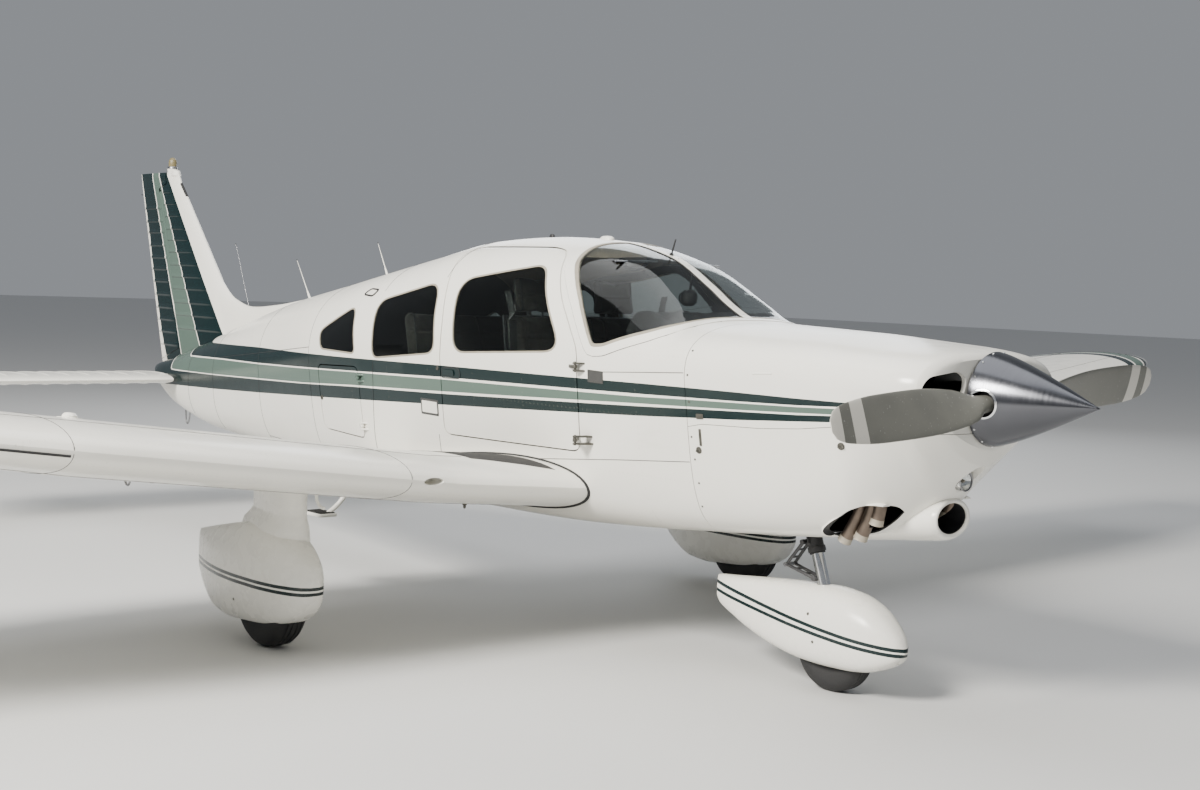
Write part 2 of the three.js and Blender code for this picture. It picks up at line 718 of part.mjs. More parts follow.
const CONTROL_SHARE = 0.79;
const wingRowAt = (y) => between(WING, y);
const hingeAt = (y) => wingPoint(wingRowAt(y), CONTROL_SHARE, camberAt(CONTROL_SHARE, WING_CAMBER));
const noseAt = (y) => wingRowAt(y)[2] * halfThickness(CONTROL_SHARE, wingRowAt(y)[3]) * 0.97;
const FLAP = { inner: 700, outer: 2690 };
const AILERON = { inner: 2718, outer: 4800 };

const flapInner = hingeAt(1080);
flapInner.z -= (1080 - FLAP.inner) * DIHEDRAL_SLOPE;
flapInner.y = FLAP.inner;
const flap = hinged(wingWhole, flapInner, hingeAt(FLAP.outer), noseAt(1080), noseAt(FLAP.outer));
const aileron = hinged(
  wingWhole,
  hingeAt(AILERON.inner),
  hingeAt(AILERON.outer),
  noseAt(AILERON.inner),
  noseAt(AILERON.outer),
);
const rib = (FLAP.outer + AILERON.inner) / 2;
const wingFixed = join(
  flap.fixed.intersect(block(1500, 4200, 0, rib, 0, 2500)),
  aileron.fixed.intersect(block(1500, 4200, rib, 6000, 0, 2500)),
);
const bodyClearance = bodyLoft(BODY, 1700, 4500, -SEAT_GAP);
// A flat pad for a jack under the main spar
const JACK_PAD = { station: 2900, side: 2200, half: 30, low: 776, high: 800 };
const jackPad = block(
  JACK_PAD.station - JACK_PAD.half,
  JACK_PAD.station + JACK_PAD.half,
  JACK_PAD.side - JACK_PAD.half,
  JACK_PAD.side + JACK_PAD.half,
  JACK_PAD.low,
  JACK_PAD.high,
);
const wingPanel = cut(join(wingFixed, jackPad), bodyClearance);

for (const [name, side] of Object.entries(sides)) {
  const sided = (solid) => (side > 0 ? solid : mirrored(solid));
  place(`wing_${name}`, sided(wingPanel), WHITE);
  place(`wingtip_${name}`, sided(tipSolid), WHITE);
  place(`flap_${name}`, sided(flap.moving), WHITE);
  place(`aileron_${name}`, sided(aileron.moving), WHITE);
}

// Fin and rudder. Columns: height, leading edge station, trailing edge station, thickness
const FIN = [
  [1000, 5960, 7165, 118],
  [1588, 6382, 7338, 96],
  [2123, 6868, 7496, 68],
  [2216, 6958, 7523, 62],
  [2272, 6992, 7534, 58],
  [2294, 7008, 7540, 42],
];
const finRing = ([z, front, back, thick]) => {
  const chord = back - front;
  return airfoil(thick / chord, 0).map(([share, height]) => point(front + share * chord, height * chord, z));
};
const finWhole = loft(FIN.map(finRing));
const RUDDER = { foot: [6900, 1122], head: [7205, 2168], noseFoot: 31.5, noseHead: 29.5 };
const HORN = { foot: 26, tall: 400, reach: 95, swing: 10, armRoom: 32, armHalf: 10 };
const BEACON = { station: 7089, seat: 2317, radius: 34 };
// Dorsal fillet in front of the fin. Columns: station, top, half width at its foot
const DORSAL = [
  [5330, 1500, 14],
  [5700, 1450, 26],
  [5987, 1430, 36],
  [6204, 1474, 42],
  [6382, 1588, 42],
  [6420, 1630, 40],
];
const dorsal = loft(
  DORSAL.map(([station, top, half]) => {
    const foot = between(BODY, station)[1] - 30;
    const mid = mix(foot, top, 0.6);
    return [
      point(station, half, foot),
      point(station, half * 0.8, mid),
      point(station, half * 0.35, top - 5),
      point(station, 0, top),
      point(station, -half * 0.35, top - 5),
      point(station, -half * 0.8, mid),
      point(station, -half, foot),
    ];
  }),
);
const rudderFoot = point(RUDDER.foot[0], 0, RUDDER.foot[1]);
const rudderHead = point(RUDDER.head[0], 0, RUDDER.head[1]);
const rudder = hinged(
  join(finWhole, dorsal),
  rudderFoot,
  rudderHead,
  RUDDER.noseFoot,
  RUDDER.noseHead,
  HORN,
);
const beaconSeat = join(
  bar(point(BEACON.station, 0, 2240), point(BEACON.station, 0, BEACON.seat), 22, 16, BEACON.radius + 2),
  loft([[2270, 6994, 7126, 56], [2306, 7010, 7126, 48]].map(finRing)),
);
place("rudder", cut(rudder.moving, bodyLoft(BODY, 4500, 7229, -MOVE_GAP - 3)), WHITE);
place("fin", cut(join(rudder.fixed, beaconSeat), bodyLoft(BODY, 4500, 7229, -SEAT_GAP)), WHITE);

// Stabilator with its tab, turning as one on a tube through the tail cone
const STAB = { half: 1960, front: 6645, chord: 765, z: 930, thick: 0.085, inner: 190, pivot: 6860 };
const TAB = { station: 7268, half: 1290 };
const stabRing = (y, scale = 1) => {
  const front = STAB.front + STAB.chord * (1 - scale) * 0.45;
  const chord = STAB.chord * scale;
  const ring = airfoil(STAB.thick, 0);
  return ring.map(([share, height]) => point(front + share * chord, y, STAB.z + height * chord));
};
const stabWhole = loft([
  stabRing(-STAB.half, 0.86),
  stabRing(-STAB.half + 40),
  stabRing(STAB.half - 40),
  stabRing(STAB.half, 0.86),
]);
const pivotAt = (y) => point(STAB.pivot, y, STAB.z);
const stabTube = bar(pivotAt(-STAB.inner - 40), pivotAt(STAB.inner + 40), 24, 20);
const tabNose = STAB.chord * halfThickness((TAB.station - STAB.front) / STAB.chord, STAB.thick) * 0.95;
const tabAt = (y) => point(TAB.station, y, STAB.z);
const tab = hinged(stabWhole, tabAt(-TAB.half), tabAt(TAB.half), tabNose, tabNose);
const innerRoom = block(6500, 7600, -STAB.inner, STAB.inner, 700, 1200);
place("stabilator", join(cut(tab.fixed, innerRoom), stabTube), WHITE);
place("stabilator_tab", tab.moving, WHITE);

const tailCone = cut(
  bodyLoft(BODY, REAR_BULKHEAD + SEAT_GAP, 7229),
  bodyLoft(BODY, REAR_BULKHEAD - 5, 6500, 8, LINING_STEPS),
  bar(pivotAt(-300), pivotAt(300), 24.6, 20),
);
place("tail_cone", tailCone, WHITE);

// Hinge with a fixed fork and pin and one moving knuckle; both arms reach into the skin
function skinSide(station, z) {
  const [, , bottom, width, wide, , lower, taper] = between(BODY, station);
  const depth = Math.max(0, (wide - z) / (wide - bottom));
  return width * (1 - taper * depth) * (1 - depth ** lower) ** (1 / lower);
}
const KNUCKLE = { radius: 11, half: 12, fork: 14, pin: 7, bore: 7.5, reach: 40 };
function hingeSet(axisLow, axisHigh, z, edge) {
  const share = (z - axisLow.z) / (axisHigh.z - axisLow.z);
  const centre = axisLow.clone().lerp(axisHigh, share);
  const u = axisHigh.clone().sub(axisLow).normalize();
  const at = (d) => centre.clone().addScaledVector(u, d);
  const station = LENGTH / 2 - centre.x;
  const outer = centre.y - 8;
  const inner = (where) => -(skinSide(where, z) - SKIN / 2);
  const tall = KNUCKLE.half + 3;
  const end = tall + KNUCKLE.fork;
  const [low, high] = [z - KNUCKLE.half, z + KNUCKLE.half];
  const fixed = join(
    bar(at(-end), at(-tall), KNUCKLE.radius, 12),
    bar(at(tall), at(end), KNUCKLE.radius, 12),
    bar(at(-end), at(end), KNUCKLE.pin, 12),
    block(station - KNUCKLE.reach, station - 1, outer, inner(station - 30), z - end, z - tall),
    block(station - KNUCKLE.reach, station - 1, outer, inner(station - 30), z + tall, z + end),
  );
  const moving = cut(
    join(
      bar(at(-KNUCKLE.half), at(KNUCKLE.half), KNUCKLE.radius, 12),
      block(station + 1, edge + 14, outer, -(skinSide(edge, z) + MOVE_GAP), low, high),
      block(edge + 12, edge + 34, outer, inner(edge + 20), low, high),
    ),
    bar(at(-30), at(30), KNUCKLE.bore, 12),
  );
  return { fixed, moving };
}

const cabinWall = cut(cabinOuter, cabinInner);
const doorLow = point(2203, -578, 966);
const doorHigh = point(2221, -578, 1285);
const doorHinges = [966, 1285].map((z) => hingeSet(doorLow, doorHigh, z, 2252));
const doorPanel = cut(
  cabinWall.intersect(sideBand(inset(doorOutline, MOVE_GAP), -1)),
  sideBand(doorPaneOutline, -1),
);
place("cabin_door", join(doorPanel, ...doorHinges.map((h) => h.moving)), WHITE);
place("door_window", paneOf(doorPaneOutline, -1), GLASS);

const baggageFront = BAGGAGE_DOOR[0][0] - 4;
const baggageLow = point(baggageFront, -skinSide(baggageFront, 850) - 14, 850);
const baggageHigh = point(baggageFront, -skinSide(baggageFront, 1140) - 14, 1140);
const baggageEdge = BAGGAGE_DOOR[1][0] + 8;
const baggageHinges = [870, 1120].map((z) => hingeSet(baggageLow, baggageHigh, z, baggageEdge));
const baggagePanel = cabinWall.intersect(sideBand(inset(baggageOutline, MOVE_GAP), -1));
place("baggage_door", join(baggagePanel, ...baggageHinges.map((h) => h.moving)), WHITE);

const fixedHinges = [...doorHinges, ...baggageHinges].map((h) => h.fixed);
place("cabin_shell", join(cabinShell, ...fixedHinges), WHITE);

// Cabin fittings, held by the walls and the floor
const cabinSpace = bodyLoft(
  BODY,
  FIREWALL + SKIN + SEAT_GAP,
  REAR_BULKHEAD - SKIN - SEAT_GAP,
  SKIN + SEAT_GAP,
  LINING_STEPS,
);
const aboveFloor = block(1500, 4700, -700, 700, FLOOR_Z + SEAT_GAP, 2000);
const PANEL_SIDE = [
  [1640, 1405],
  [1640, 1425],
  [1960, 1448],
  [1990, 1432],
  [1962, 1415],
  [1948, 1050],
  [1926, 1050],
  [1926, 1405],
];
function yoke(side) {
  const column = bar(point(1930, side * 235, 1215), point(2085, side * 235, 1215), 12, 10);
  const grip = pipe(
    [
      point(2085, side * 235 - 125, 1300),
      point(2085, side * 235 - 130, 1225),
      point(2085, side * 235, 1200),
      point(2085, side * 235 + 130, 1225),
      point(2085, side * 235 + 125, 1300),
    ],
    13,
    6,
    8,
  );
  return join(column, grip);
}
const panelBoard = sidePrism(PANEL_SIDE, -560, 560).intersect(cabinSpace);
const pedestal = block(1930, 2010, -70, 70, FLOOR_Z + SEAT_GAP, 1120);
place("instrument_panel", join(panelBoard, pedestal, yoke(1), yoke(-1)), TRIM);

const CUSHION = [
  [2330, 940],
  [2330, 1030],
  [2800, 1000],
  [2830, 900],
];
const BACKREST = [
  [2750, 960],
  [2860, 1520],
  [2945, 1500],
  [2850, 930],
];
const HEADREST = [
  [2850, 1500],
  [2885, 1680],
  [2955, 1670],
  [2935, 1490],
];
function frontSeat(side) {
  const band = (outline, radius, inner, outer) => {
    const [low, high] = side > 0 ? [inner, outer] : [-outer, -inner];
    return sidePrism(rounded(outline, radius), low, high);
  };
  const middle = side * 255;
  const legs = [2400, 2740].map((station) =>
    block(station, station + 40, middle - 150, middle + 150, FLOOR_Z + SEAT_GAP, 960),
  );
  const cushions = [band(CUSHION, 45, 40, 455), band(BACKREST, 40, 55, 440), band(HEADREST, 30, 130, 370)];
  return join(...cushions, ...legs);
}
for (const [name, side] of Object.entries(sides)) {
  place(`front_seat_${name}`, frontSeat(side), SEAT_CLOTH);
}
const REAR_CUSHION = [
  [3150, FLOOR_Z + SEAT_GAP],
  [3150, 1040],
  [3640, 1000],
  [3640, FLOOR_Z + SEAT_GAP],
];
const REAR_BACK = [
  [3560, 960],
  [3680, 1500],
  [3770, 1480],
  [3660, 940],
];
const seatSpace = bodyLoft(BODY, 3100, 3800, SKIN + 14, LINING_STEPS);
const rearSeat = join(sidePrism(REAR_CUSHION, -460, 460), sidePrism(rounded(REAR_BACK, 40), -450, 450));
place("rear_seat", rearSeat.intersect(seatSpace).intersect(aboveFloor), SEAT_CLOTH);

// Landing gear
const WHEEL_SIDES = 20;
function tyre(size) {
  const { radius, width, rim } = size;
  const half = width / 2;
  const profile = [
    [rim, half * 0.72],
    [rim + (radius - rim) * 0.35, half * 0.97],
    [rim + (radius - rim) * 0.68, half * 0.96],
    [rim + (radius - rim) * 0.93, half * 0.68],
    [radius, half * 0.3],
  ];
  const both = profile.map(([r, y]) => new THREE.Vector2(r, -y));
  profile.reverse().forEach(([r, y]) => both.push(new THREE.Vector2(r, y)));
  both.push(both[0].clone());
  return solidOf(new THREE.LatheGeometry(both, WHEEL_SIDES));
}
function rimOf(size) {
  const edge = size.rim - SEAT_GAP;
  const half = size.width / 2;
  const profile = [
    [AXLE_RADIUS + 0.6, -half * 0.6],
    [36, -half * 0.6],
    [edge - 14, -half * 0.25],
    [edge, -half * 0.68],
    [edge, half * 0.68],
    [edge - 14, half * 0.25],
    [36, half * 0.6],
    [AXLE_RADIUS + 0.6, half * 0.6],
  ].map(([r, y]) => new THREE.Vector2(r, y));
  profile.push(profile[0].clone());
  return solidOf(new THREE.LatheGeometry(profile, WHEEL_SIDES));
}
function wheel(name, centre, size) {
  const hub = groupAt(aircraft, centre);
  place(`${name}_tyre`, inWorld(tyre(size), hub), RUBBER, hub);
  place(`${name}_rim`, inWorld(rimOf(size), hub), METAL, hub);
}

// A spat is a teardrop. Columns: station, top, bottom, half width
function spatRings(table, y, shrink, count) {
  return table.map(([station, top, bottom, half]) => {
    const middle = (top + bottom) / 2;
    const high = Math.max((top - bottom) / 2 - shrink, 2);
    const wide = Math.max(half - shrink, 2);
    const ring = [];
    for (let i = 0; i < count; i += 1) {
      const angle = (i / count) * Math.PI * 2;
      const round = (value) => Math.sign(value) * Math.abs(value) ** (2 / 2.4);
      ring.push(point(station, y + wide * round(Math.cos(angle)), middle + high * round(Math.sin(angle))));
    }
    return ring;
  });
}
const SPAT_WALL = 6;
const spat = (table, y) => loft(spatRings(table, y, 0, 14));
const spatHollow = (table, y) => loft(spatRings(table.slice(1, -1), y, SPAT_WALL, 10));
const MAIN_SPAT = [
  [2768, 360, 300, 22],
  [2790, 400, 240, 56],
  [2850, 460, 172, 90],
  [2940, 512, 128, 116],
  [3060, 540, 104, 130],
  [3200, 542, 94, 132],
  [3350, 522, 88, 122],
  [3500, 494, 100, 96],
  [3625, 468, 148, 62],
  [3715, 448, 204, 32],
  [3768, 436, 246, 12],
];
// Fairing round the leg. Columns: height, front, back, half thickness
const LEG_FAIRING = [
  [430, 2900, 3450, 98],
  [540, 2905, 3400, 84],
  [600, 2915, 3320, 66],
  [800, 2915, 3320, 66],
];
function legColumn(y, shrink) {
  return loft(
    LEG_FAIRING.map(([z, front, back, half]) => {
      const nose = front + shrink * 2;
      const chord = back - shrink * 4 - nose;
      const outline = airfoil((2 * (half - shrink)) / chord, 0);
      return outline.map(([share, height]) => point(nose + share * chord, y + height * chord, z));
    }),
  );
}
const turned = (geometry, centre) => solidOf(geometry.translate(centre.x, centre.y, centre.z));
// Room for a tyre, of the tyre's own shape but larger all round
function wheelRoom(centre, size) {
  const half = size.width / 2 + 12;
  const reach = size.radius + 10;
  const profile = [
    [0, -half],
    [reach * 0.84, -half],
    [reach, -half * 0.5],
    [reach, half * 0.5],
    [reach * 0.84, half],
    [0, half],
  ].map(([r, y]) => new THREE.Vector2(r, y));
  return turned(new THREE.LatheGeometry(profile, 16), centre);
}
const underWing = solidOf(geometryOf(wingWhole).translate(0, 0, -SEAT_GAP));
const ARM = { outer: MAIN_WHEEL.side - 92, inner: MAIN_WHEEL.side - 82 };
function mainGear(name, side) {
  const y = MAIN_WHEEL.side;
  const { station } = MAIN_WHEEL;
  const outer = join(spat(MAIN_SPAT, y), legColumn(y - 15, 0));
  const inner = join(spatHollow(MAIN_SPAT, y), legColumn(y - 15, SPAT_WALL));
  const room = wheelRoom(point(station, y, TYRE.radius), TYRE);
  const onAxle = (side) => point(station, side, TYRE.radius);
  const boss = (low, high) => bar(onAxle(low), onAxle(high), 24, 12);
  const axleEnd = y + 98;
  const bosses = [boss(axleEnd + SEAT_GAP, y + 127), boss(y - 127, ARM.outer - SEAT_GAP)];
  const fairing = join(cut(outer, inner, room, underWing), ...bosses.map((one) => one.intersect(outer)));
  const arm = block(station - 32, station + 32, ARM.outer, ARM.inner, 206, 471);
  const crown = block(station - 34, station + 34, ARM.outer, y + 14, 451, 471);
  const strut = bar(point(station, y - 15, 470), point(station, y - 15, 800), 27, 14);
  const axle = bar(onAxle(ARM.inner - 5), onAxle(axleEnd), AXLE_RADIUS, 14);
  const leg = cut(join(arm, crown, strut, axle), underWing);
  const sided = (solid) => (side > 0 ? solid : mirrored(solid));
  place(`main_fairing_${name}`, sided(fairing), WHITE);
  place(`main_leg_${name}`, sided(leg), METAL);
  wheel(`main_${name}`, point(station, side * y, TYRE.radius), TYRE);
}
for (const [name, side] of Object.entries(sides)) {
  mainGear(name, side);
}

const NOSE_SPAT = [
  [806, 234, 214, 10],
  [832, 282, 180, 46],
  [885, 338, 146, 82],
  [965, 392, 118, 112],
  [1060, 424, 108, 128],
  [1170, 436, 106, 132],
  [1300, 432, 112, 126],
  [1450, 422, 134, 106],
  [1600, 408, 172, 80],
  [1740, 394, 222, 50],
  [1830, 386, 258, 22],
  [1852, 382, 278, 12],
];
const NOSE_TYRE = { radius: 180, width: 126, rim: 63 };
const rake = (STEER_AXIS.top[0] - STEER_AXIS.foot[0]) / (STEER_AXIS.top[1] - STEER_AXIS.foot[1]);
const onSteerAxis = (z) => point(STEER_AXIS.foot[0] + (z - STEER_AXIS.foot[1]) * rake, 0, z);
const strutBracket = block(1410, FIREWALL - SEAT_GAP, -42, 42, 900, 960);
const upperStrut = cut(
  join(bar(onSteerAxis(930), onSteerAxis(565), 34, 16), strutBracket),
  bar(onSteerAxis(800), onSteerAxis(540), 26.8, 20),
);
place("nose_strut", upperStrut, METAL);

const forkSide = [
  [1198, 362],
  [1198, 386],
  [1280, 386],
  [1280, 362],
  [1206, 165],
  [1140, 165],
];
const FORK = { inner: 70, outer: 83, axleEnd: 92 };
const forkArms = [sidePrism(forkSide, FORK.inner, FORK.outer), sidePrism(forkSide, -FORK.outer, -FORK.inner)];
const forkCrown = block(1200, 1280, -FORK.outer, FORK.outer, 362, 386);
const noseAxle = bar(
  point(NOSE_WHEEL.station, -FORK.axleEnd, NOSE_TYRE.radius),
  point(NOSE_WHEEL.station, FORK.axleEnd, NOSE_TYRE.radius),
  AXLE_RADIUS,
  14,
);
const piston = bar(onSteerAxis(770), onSteerAxis(376), 26, 16);
const collar = cut(
  bar(onSteerAxis(620), onSteerAxis(588), 46, 16),
  bar(onSteerAxis(640), onSteerAxis(560), 35, 20),
);
const link = (from, to) => bar(from, to, 11, 8);
const knee = point(1437, 0, 490);
const links = [
  link(point(1353, 0, 597), knee),
  link(knee, onSteerAxis(452)),
  bar(point(1437, -28, 490), point(1437, 28, 490), 11, 10),
];
place("nose_fork", join(piston, forkCrown, ...forkArms, noseAxle, collar, ...links), METAL);
const noseRoom = wheelRoom(point(NOSE_WHEEL.station, 0, NOSE_TYRE.radius), NOSE_TYRE);
const noseSkin = spat(NOSE_SPAT, 0);
const noseFairing = cut(
  noseSkin,
  spatHollow(NOSE_SPAT, 0),
  noseRoom,
  bar(onSteerAxis(360), onSteerAxis(500), 30, 16),
);
const noseBosses = [1, -1].map((side) =>
  bar(
    point(NOSE_WHEEL.station, side * (FORK.axleEnd + SEAT_GAP), NOSE_TYRE.radius),
    point(NOSE_WHEEL.station, side * 127, NOSE_TYRE.radius),
    24,
    12,
  ),
);
place("nose_fairing", join(noseFairing, ...noseBosses.map((one) => one.intersect(noseSkin))), WHITE);
wheel("nose", point(NOSE_WHEEL.station, 0, NOSE_TYRE.radius), NOSE_TYRE);

// Boarding step behind the starboard wing, and the beacon on the fin
const stepRun = [
  point(4000, -370, 690),
  point(4030, -520, 540),
  point(4048, -590, 455),
  point(4058, -640, 420),
];
const stepLeg = pipe(stepRun, 13, 8, 8);
const stepPad = block(4010, 4180, -720, -610, 398, 420);
place("boarding_step", cut(join(stepLeg, stepPad), bodyLoft(BODY, 3900, 4300, -SEAT_GAP)), METAL);
const beaconProfile = [
  [0, 0],
  [BEACON.radius, 0],
  [BEACON.radius, 18],
  [31, 52],
  [19, 72],
  [0, 78],
].map(([r, z]) => new THREE.Vector2(r, z));
const beaconLathe = new THREE.LatheGeometry(beaconProfile, 20).rotateX(Math.PI / 2);
beaconLathe.translate(x(BEACON.station), 0, BEACON.seat + SEAT_GAP);
place("beacon", solidOf(beaconLathe), AMBER);

export default aircraft;
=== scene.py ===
import math

import bpy
from mathutils import Matrix, Vector


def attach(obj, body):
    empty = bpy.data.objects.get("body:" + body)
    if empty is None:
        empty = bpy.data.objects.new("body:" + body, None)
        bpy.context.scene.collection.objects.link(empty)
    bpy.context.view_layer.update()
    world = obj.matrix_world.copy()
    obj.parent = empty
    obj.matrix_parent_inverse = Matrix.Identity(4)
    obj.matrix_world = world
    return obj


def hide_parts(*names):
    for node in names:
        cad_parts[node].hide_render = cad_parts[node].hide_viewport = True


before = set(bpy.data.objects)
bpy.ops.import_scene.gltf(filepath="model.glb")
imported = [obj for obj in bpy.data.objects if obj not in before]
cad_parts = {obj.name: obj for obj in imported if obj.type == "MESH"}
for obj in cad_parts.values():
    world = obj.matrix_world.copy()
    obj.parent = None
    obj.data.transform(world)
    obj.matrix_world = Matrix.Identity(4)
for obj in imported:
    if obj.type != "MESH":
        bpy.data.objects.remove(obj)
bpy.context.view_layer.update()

# Stations are in millimetres aft of the spinner's tip, as on a drawing board.
LENGTH = 7540
THRUST_Z = 1267
SKIN = 12
SEAT_GAP = 0.3
MOVE_GAP = 6
FIREWALL = 1600
REAR_BULKHEAD = 4560
FLOOR_Z = 700
SIDES = {"L": 1, "R": -1}
# Tools for one side of the body reach from and to these side distances.
NEAR_SIDE, FAR_SIDE = 250, 900
MERGE_DISTANCE = 2e-6


def at(station, side, height):
    return Vector(((LENGTH / 2 - station) / 1000, side / 1000, height / 1000))


# Camera, at the angle of the photograph
EYE = Vector((6.992, -5.298, 1.637))
YAW, PITCH, ROLL = (math.radians(a) for a in (138.1603, -3.7381, 2.1713))
SENSOR, FOCAL_PIXELS, PICTURE_WIDTH = 36, 1656.67, 1200


def make_camera():
    bpy.ops.object.camera_add(location=EYE)
    camera = bpy.context.object
    camera.name = "camera"
    look = Vector(
        (math.cos(PITCH) * math.cos(YAW), math.cos(PITCH) * math.sin(YAW), math.sin(PITCH))
    )
    level = Vector((math.sin(YAW), -math.cos(YAW), 0))
    upright = level.cross(look)
    right = level * math.cos(ROLL) + upright * math.sin(ROLL)
    up = upright * math.cos(ROLL) - level * math.sin(ROLL)
    turn = Matrix((right, up, -look)).transposed()
    camera.rotation_euler = turn.to_euler()
    camera.data.sensor_width = SENSOR
    camera.data.lens = FOCAL_PIXELS / PICTURE_WIDTH * SENSOR
    camera.data.clip_end = 200
    bpy.context.scene.camera = camera


make_camera()


# Tables of the shape, the same as the solids'
# Columns: station, top, bottom, half width, height of the widest point, upper power,
# lower power, taper of the sides towards the belly
BODY = [
    [1600, 1508, 612, 524, 1280, 2.8, 5.0, 0.2],
    [1716, 1517, 603, 532, 1280, 2.68, 5.0, 0.2],
    [1848, 1574, 590, 540, 1280, 2.44, 5.0, 0.2],
    [1969, 1651, 580, 546, 1280, 2.42, 5.0, 0.19],
    [2219, 1783, 562, 556, 1280, 2.46, 5.0, 0.18],
    [2527, 1849, 545, 563, 1280, 2.6, 5.0, 0.17],
    [2885, 1871, 537, 566, 1275, 2.6, 5.0, 0.16],
    [3268, 1854, 535, 562, 1265, 2.6, 5.0, 0.16],
    [3679, 1780, 540, 550, 1250, 2.58, 5.0, 0.16],
    [4118, 1699, 551, 522, 1225, 2.5, 4.5, 0.16],
    [4560, 1620, 564, 474, 1188, 2.35, 4.0, 0.16],
    [5300, 1486, 592, 352, 1100, 2.3, 3.2, 0.1],
    [6256, 1247, 640, 214, 990, 2.1, 2.6, 0.04],
    [6856, 1088, 745, 128, 935, 2.0, 2.2, 0.0],
    [7100, 1028, 850, 82, 945, 2.0, 2.0, 0.0],
    [7200, 1004, 920, 44, 965, 2.0, 2.0, 0.0],
    [7229, 992, 962, 14, 977, 2.0, 2.0, 0.0],
]
COWL = [
    [458, 1420, 1075, 392, 1290, 2.6, 1.7, 0.1],
    [466, 1432, 1062, 415, 1290, 2.6, 1.7, 0.12],
    [490, 1444, 1006, 440, 1288, 2.7, 1.7, 0.28],
    [568, 1456, 936, 466, 1285, 2.8, 2.1, 0.34],
    [640, 1463, 842, 475, 1285, 2.8, 2.4, 0.52],
    [700, 1467, 785, 479, 1284, 2.8, 2.6, 0.46],
    [780, 1472, 742, 482, 1284, 2.8, 3.3, 0.33],
    [860, 1477, 708, 486, 1283, 2.8, 4.2, 0.25],
    [1068, 1490, 664, 497, 1282, 2.8, 4.6, 0.22],
    [1350, 1500, 636, 511, 1281, 2.8, 5.0, 0.2],
    [1600, 1508, 612, 524, 1280, 2.8, 5.0, 0.2],
]
WINDSCREEN_CUT = [
    [1735, 1524], [1775, 1487], [1861, 1450], [1991, 1410], [2085, 1378], [2155, 1374],
    [2235, 1489], [2301, 1575], [2381, 1663], [2461, 1745], [2497, 1805], [2512, 1846],
    [2512, 1950], [1700, 1950],
]
DOOR = [
    [2244, 905], [2231, 1353], [2322, 1486], [2399, 1577], [2472, 1675], [2560, 1790],
    [2680, 1815], [3270, 1813], [3342, 1775], [3264, 1593], [3236, 1450], [3240, 895],
]
DOOR_PANE = [[2328, 1343], [2605, 1734], [3174, 1649], [3130, 1296]]
REAR_PANE = [[3278, 1284], [3326, 1640], [3868, 1525], [3848, 1228]]
QUARTER_PANE = [[4020, 1240], [4088, 1500], [4452, 1345], [4416, 1246]]
BAGGAGE_DOOR = [[3985, 800], [4000, 1180], [4450, 1165], [4440, 815]]
INLET = [[215, 1225], [170, 1345], [225, 1375], [400, 1355], [432, 1300], [395, 1205]]
# Columns: station, half width, bottom, top
SCOOP = [
    [618, 112, 712, 868], [632, 120, 704, 872], [720, 122, 690, 850], [900, 110, 668, 790],
    [1100, 70, 640, 720],
]
SCOOP_MOUTH = {"half": 96, "low": 728, "high": 852}
LAMP = {"z": 940, "radius": 44}
CHEEK = [
    [736, 30, 800, 846], [770, 66, 740, 852], [850, 84, 690, 836], [940, 80, 680, 796],
    [1010, 50, 690, 744],
]
CHEEK_SIDE = 262
OUTLET = [
    [722, 540], [722, 837], [760, 841], [806, 836], [862, 810], [940, 760], [1003, 716], [1003, 540]
]
OUTLET_SIDES = (164, 420)
# The joint between the cowls, as station and height
COWL_SPLIT = [(430, 1140), (871, 1137), (1015, 1118), (1214, 1102), (1519, 1093), (1610, 1074)]
COWL_WALL = 7
# Columns: side distance, leading edge station, chord, thickness share, drop of the tip
WING = [
    [400, 2219, 1717, 0.135, 0], [470, 2243, 1693, 0.135, 0], [1080, 2336, 1600, 0.14, 0],
    [2697, 2336, 1600, 0.14, 0], [4950, 2690, 1028, 0.135, 0],
]
TIP = [
    [4950.3, 2690, 1028, 0.135, 0], [5090, 2760, 945, 0.12, 8], [5220, 2890, 800, 0.1, 24],
    [5310, 3060, 600, 0.075, 42], [5335, 3200, 430, 0.05, 52],
]
# Columns: height, leading edge station, trailing edge station, thickness
FIN = [
    [1000, 5960, 7165, 118], [1588, 6382, 7338, 96], [2123, 6868, 7496, 68],
    [2216, 6958, 7523, 62], [2272, 6992, 7534, 58], [2294, 7008, 7540, 42],
]
DORSAL = [
    [5330, 1500, 14], [5700, 1450, 26], [5987, 1430, 36], [6204, 1474, 42], [6382, 1588, 42],
    [6420, 1630, 40],
]
MAIN_SPAT = [
    [2768, 360, 300, 22], [2790, 400, 240, 56], [2850, 460, 172, 90], [2940, 512, 128, 116],
    [3060, 540, 104, 130], [3200, 542, 94, 132], [3350, 522, 88, 122], [3500, 494, 100, 96],
    [3625, 468, 148, 62], [3715, 448, 204, 32], [3768, 436, 246, 12],
]
NOSE_SPAT = [
    [806, 234, 214, 10], [832, 282, 180, 46], [885, 338, 146, 82], [965, 392, 118, 112],
    [1060, 424, 108, 128], [1170, 436, 106, 132], [1300, 432, 112, 126], [1450, 422, 134, 106],
    [1600, 408, 172, 80], [1740, 394, 222, 50], [1830, 386, 258, 22], [1852, 382, 278, 12],
]
LEG_FAIRING = [
    [430, 2900, 3450, 98], [540, 2905, 3400, 84], [600, 2915, 3320, 66], [800, 2915, 3320, 66]
]
BLADE = [
    [40, 66, 62], [130, 70, 60], [186, 84, 50], [240, 134, 34], [300, 158, 28], [510, 180, 20],
    [760, 172, 14], [930, 140, 10], [995, 98, 7], [1016, 44, 4],
]


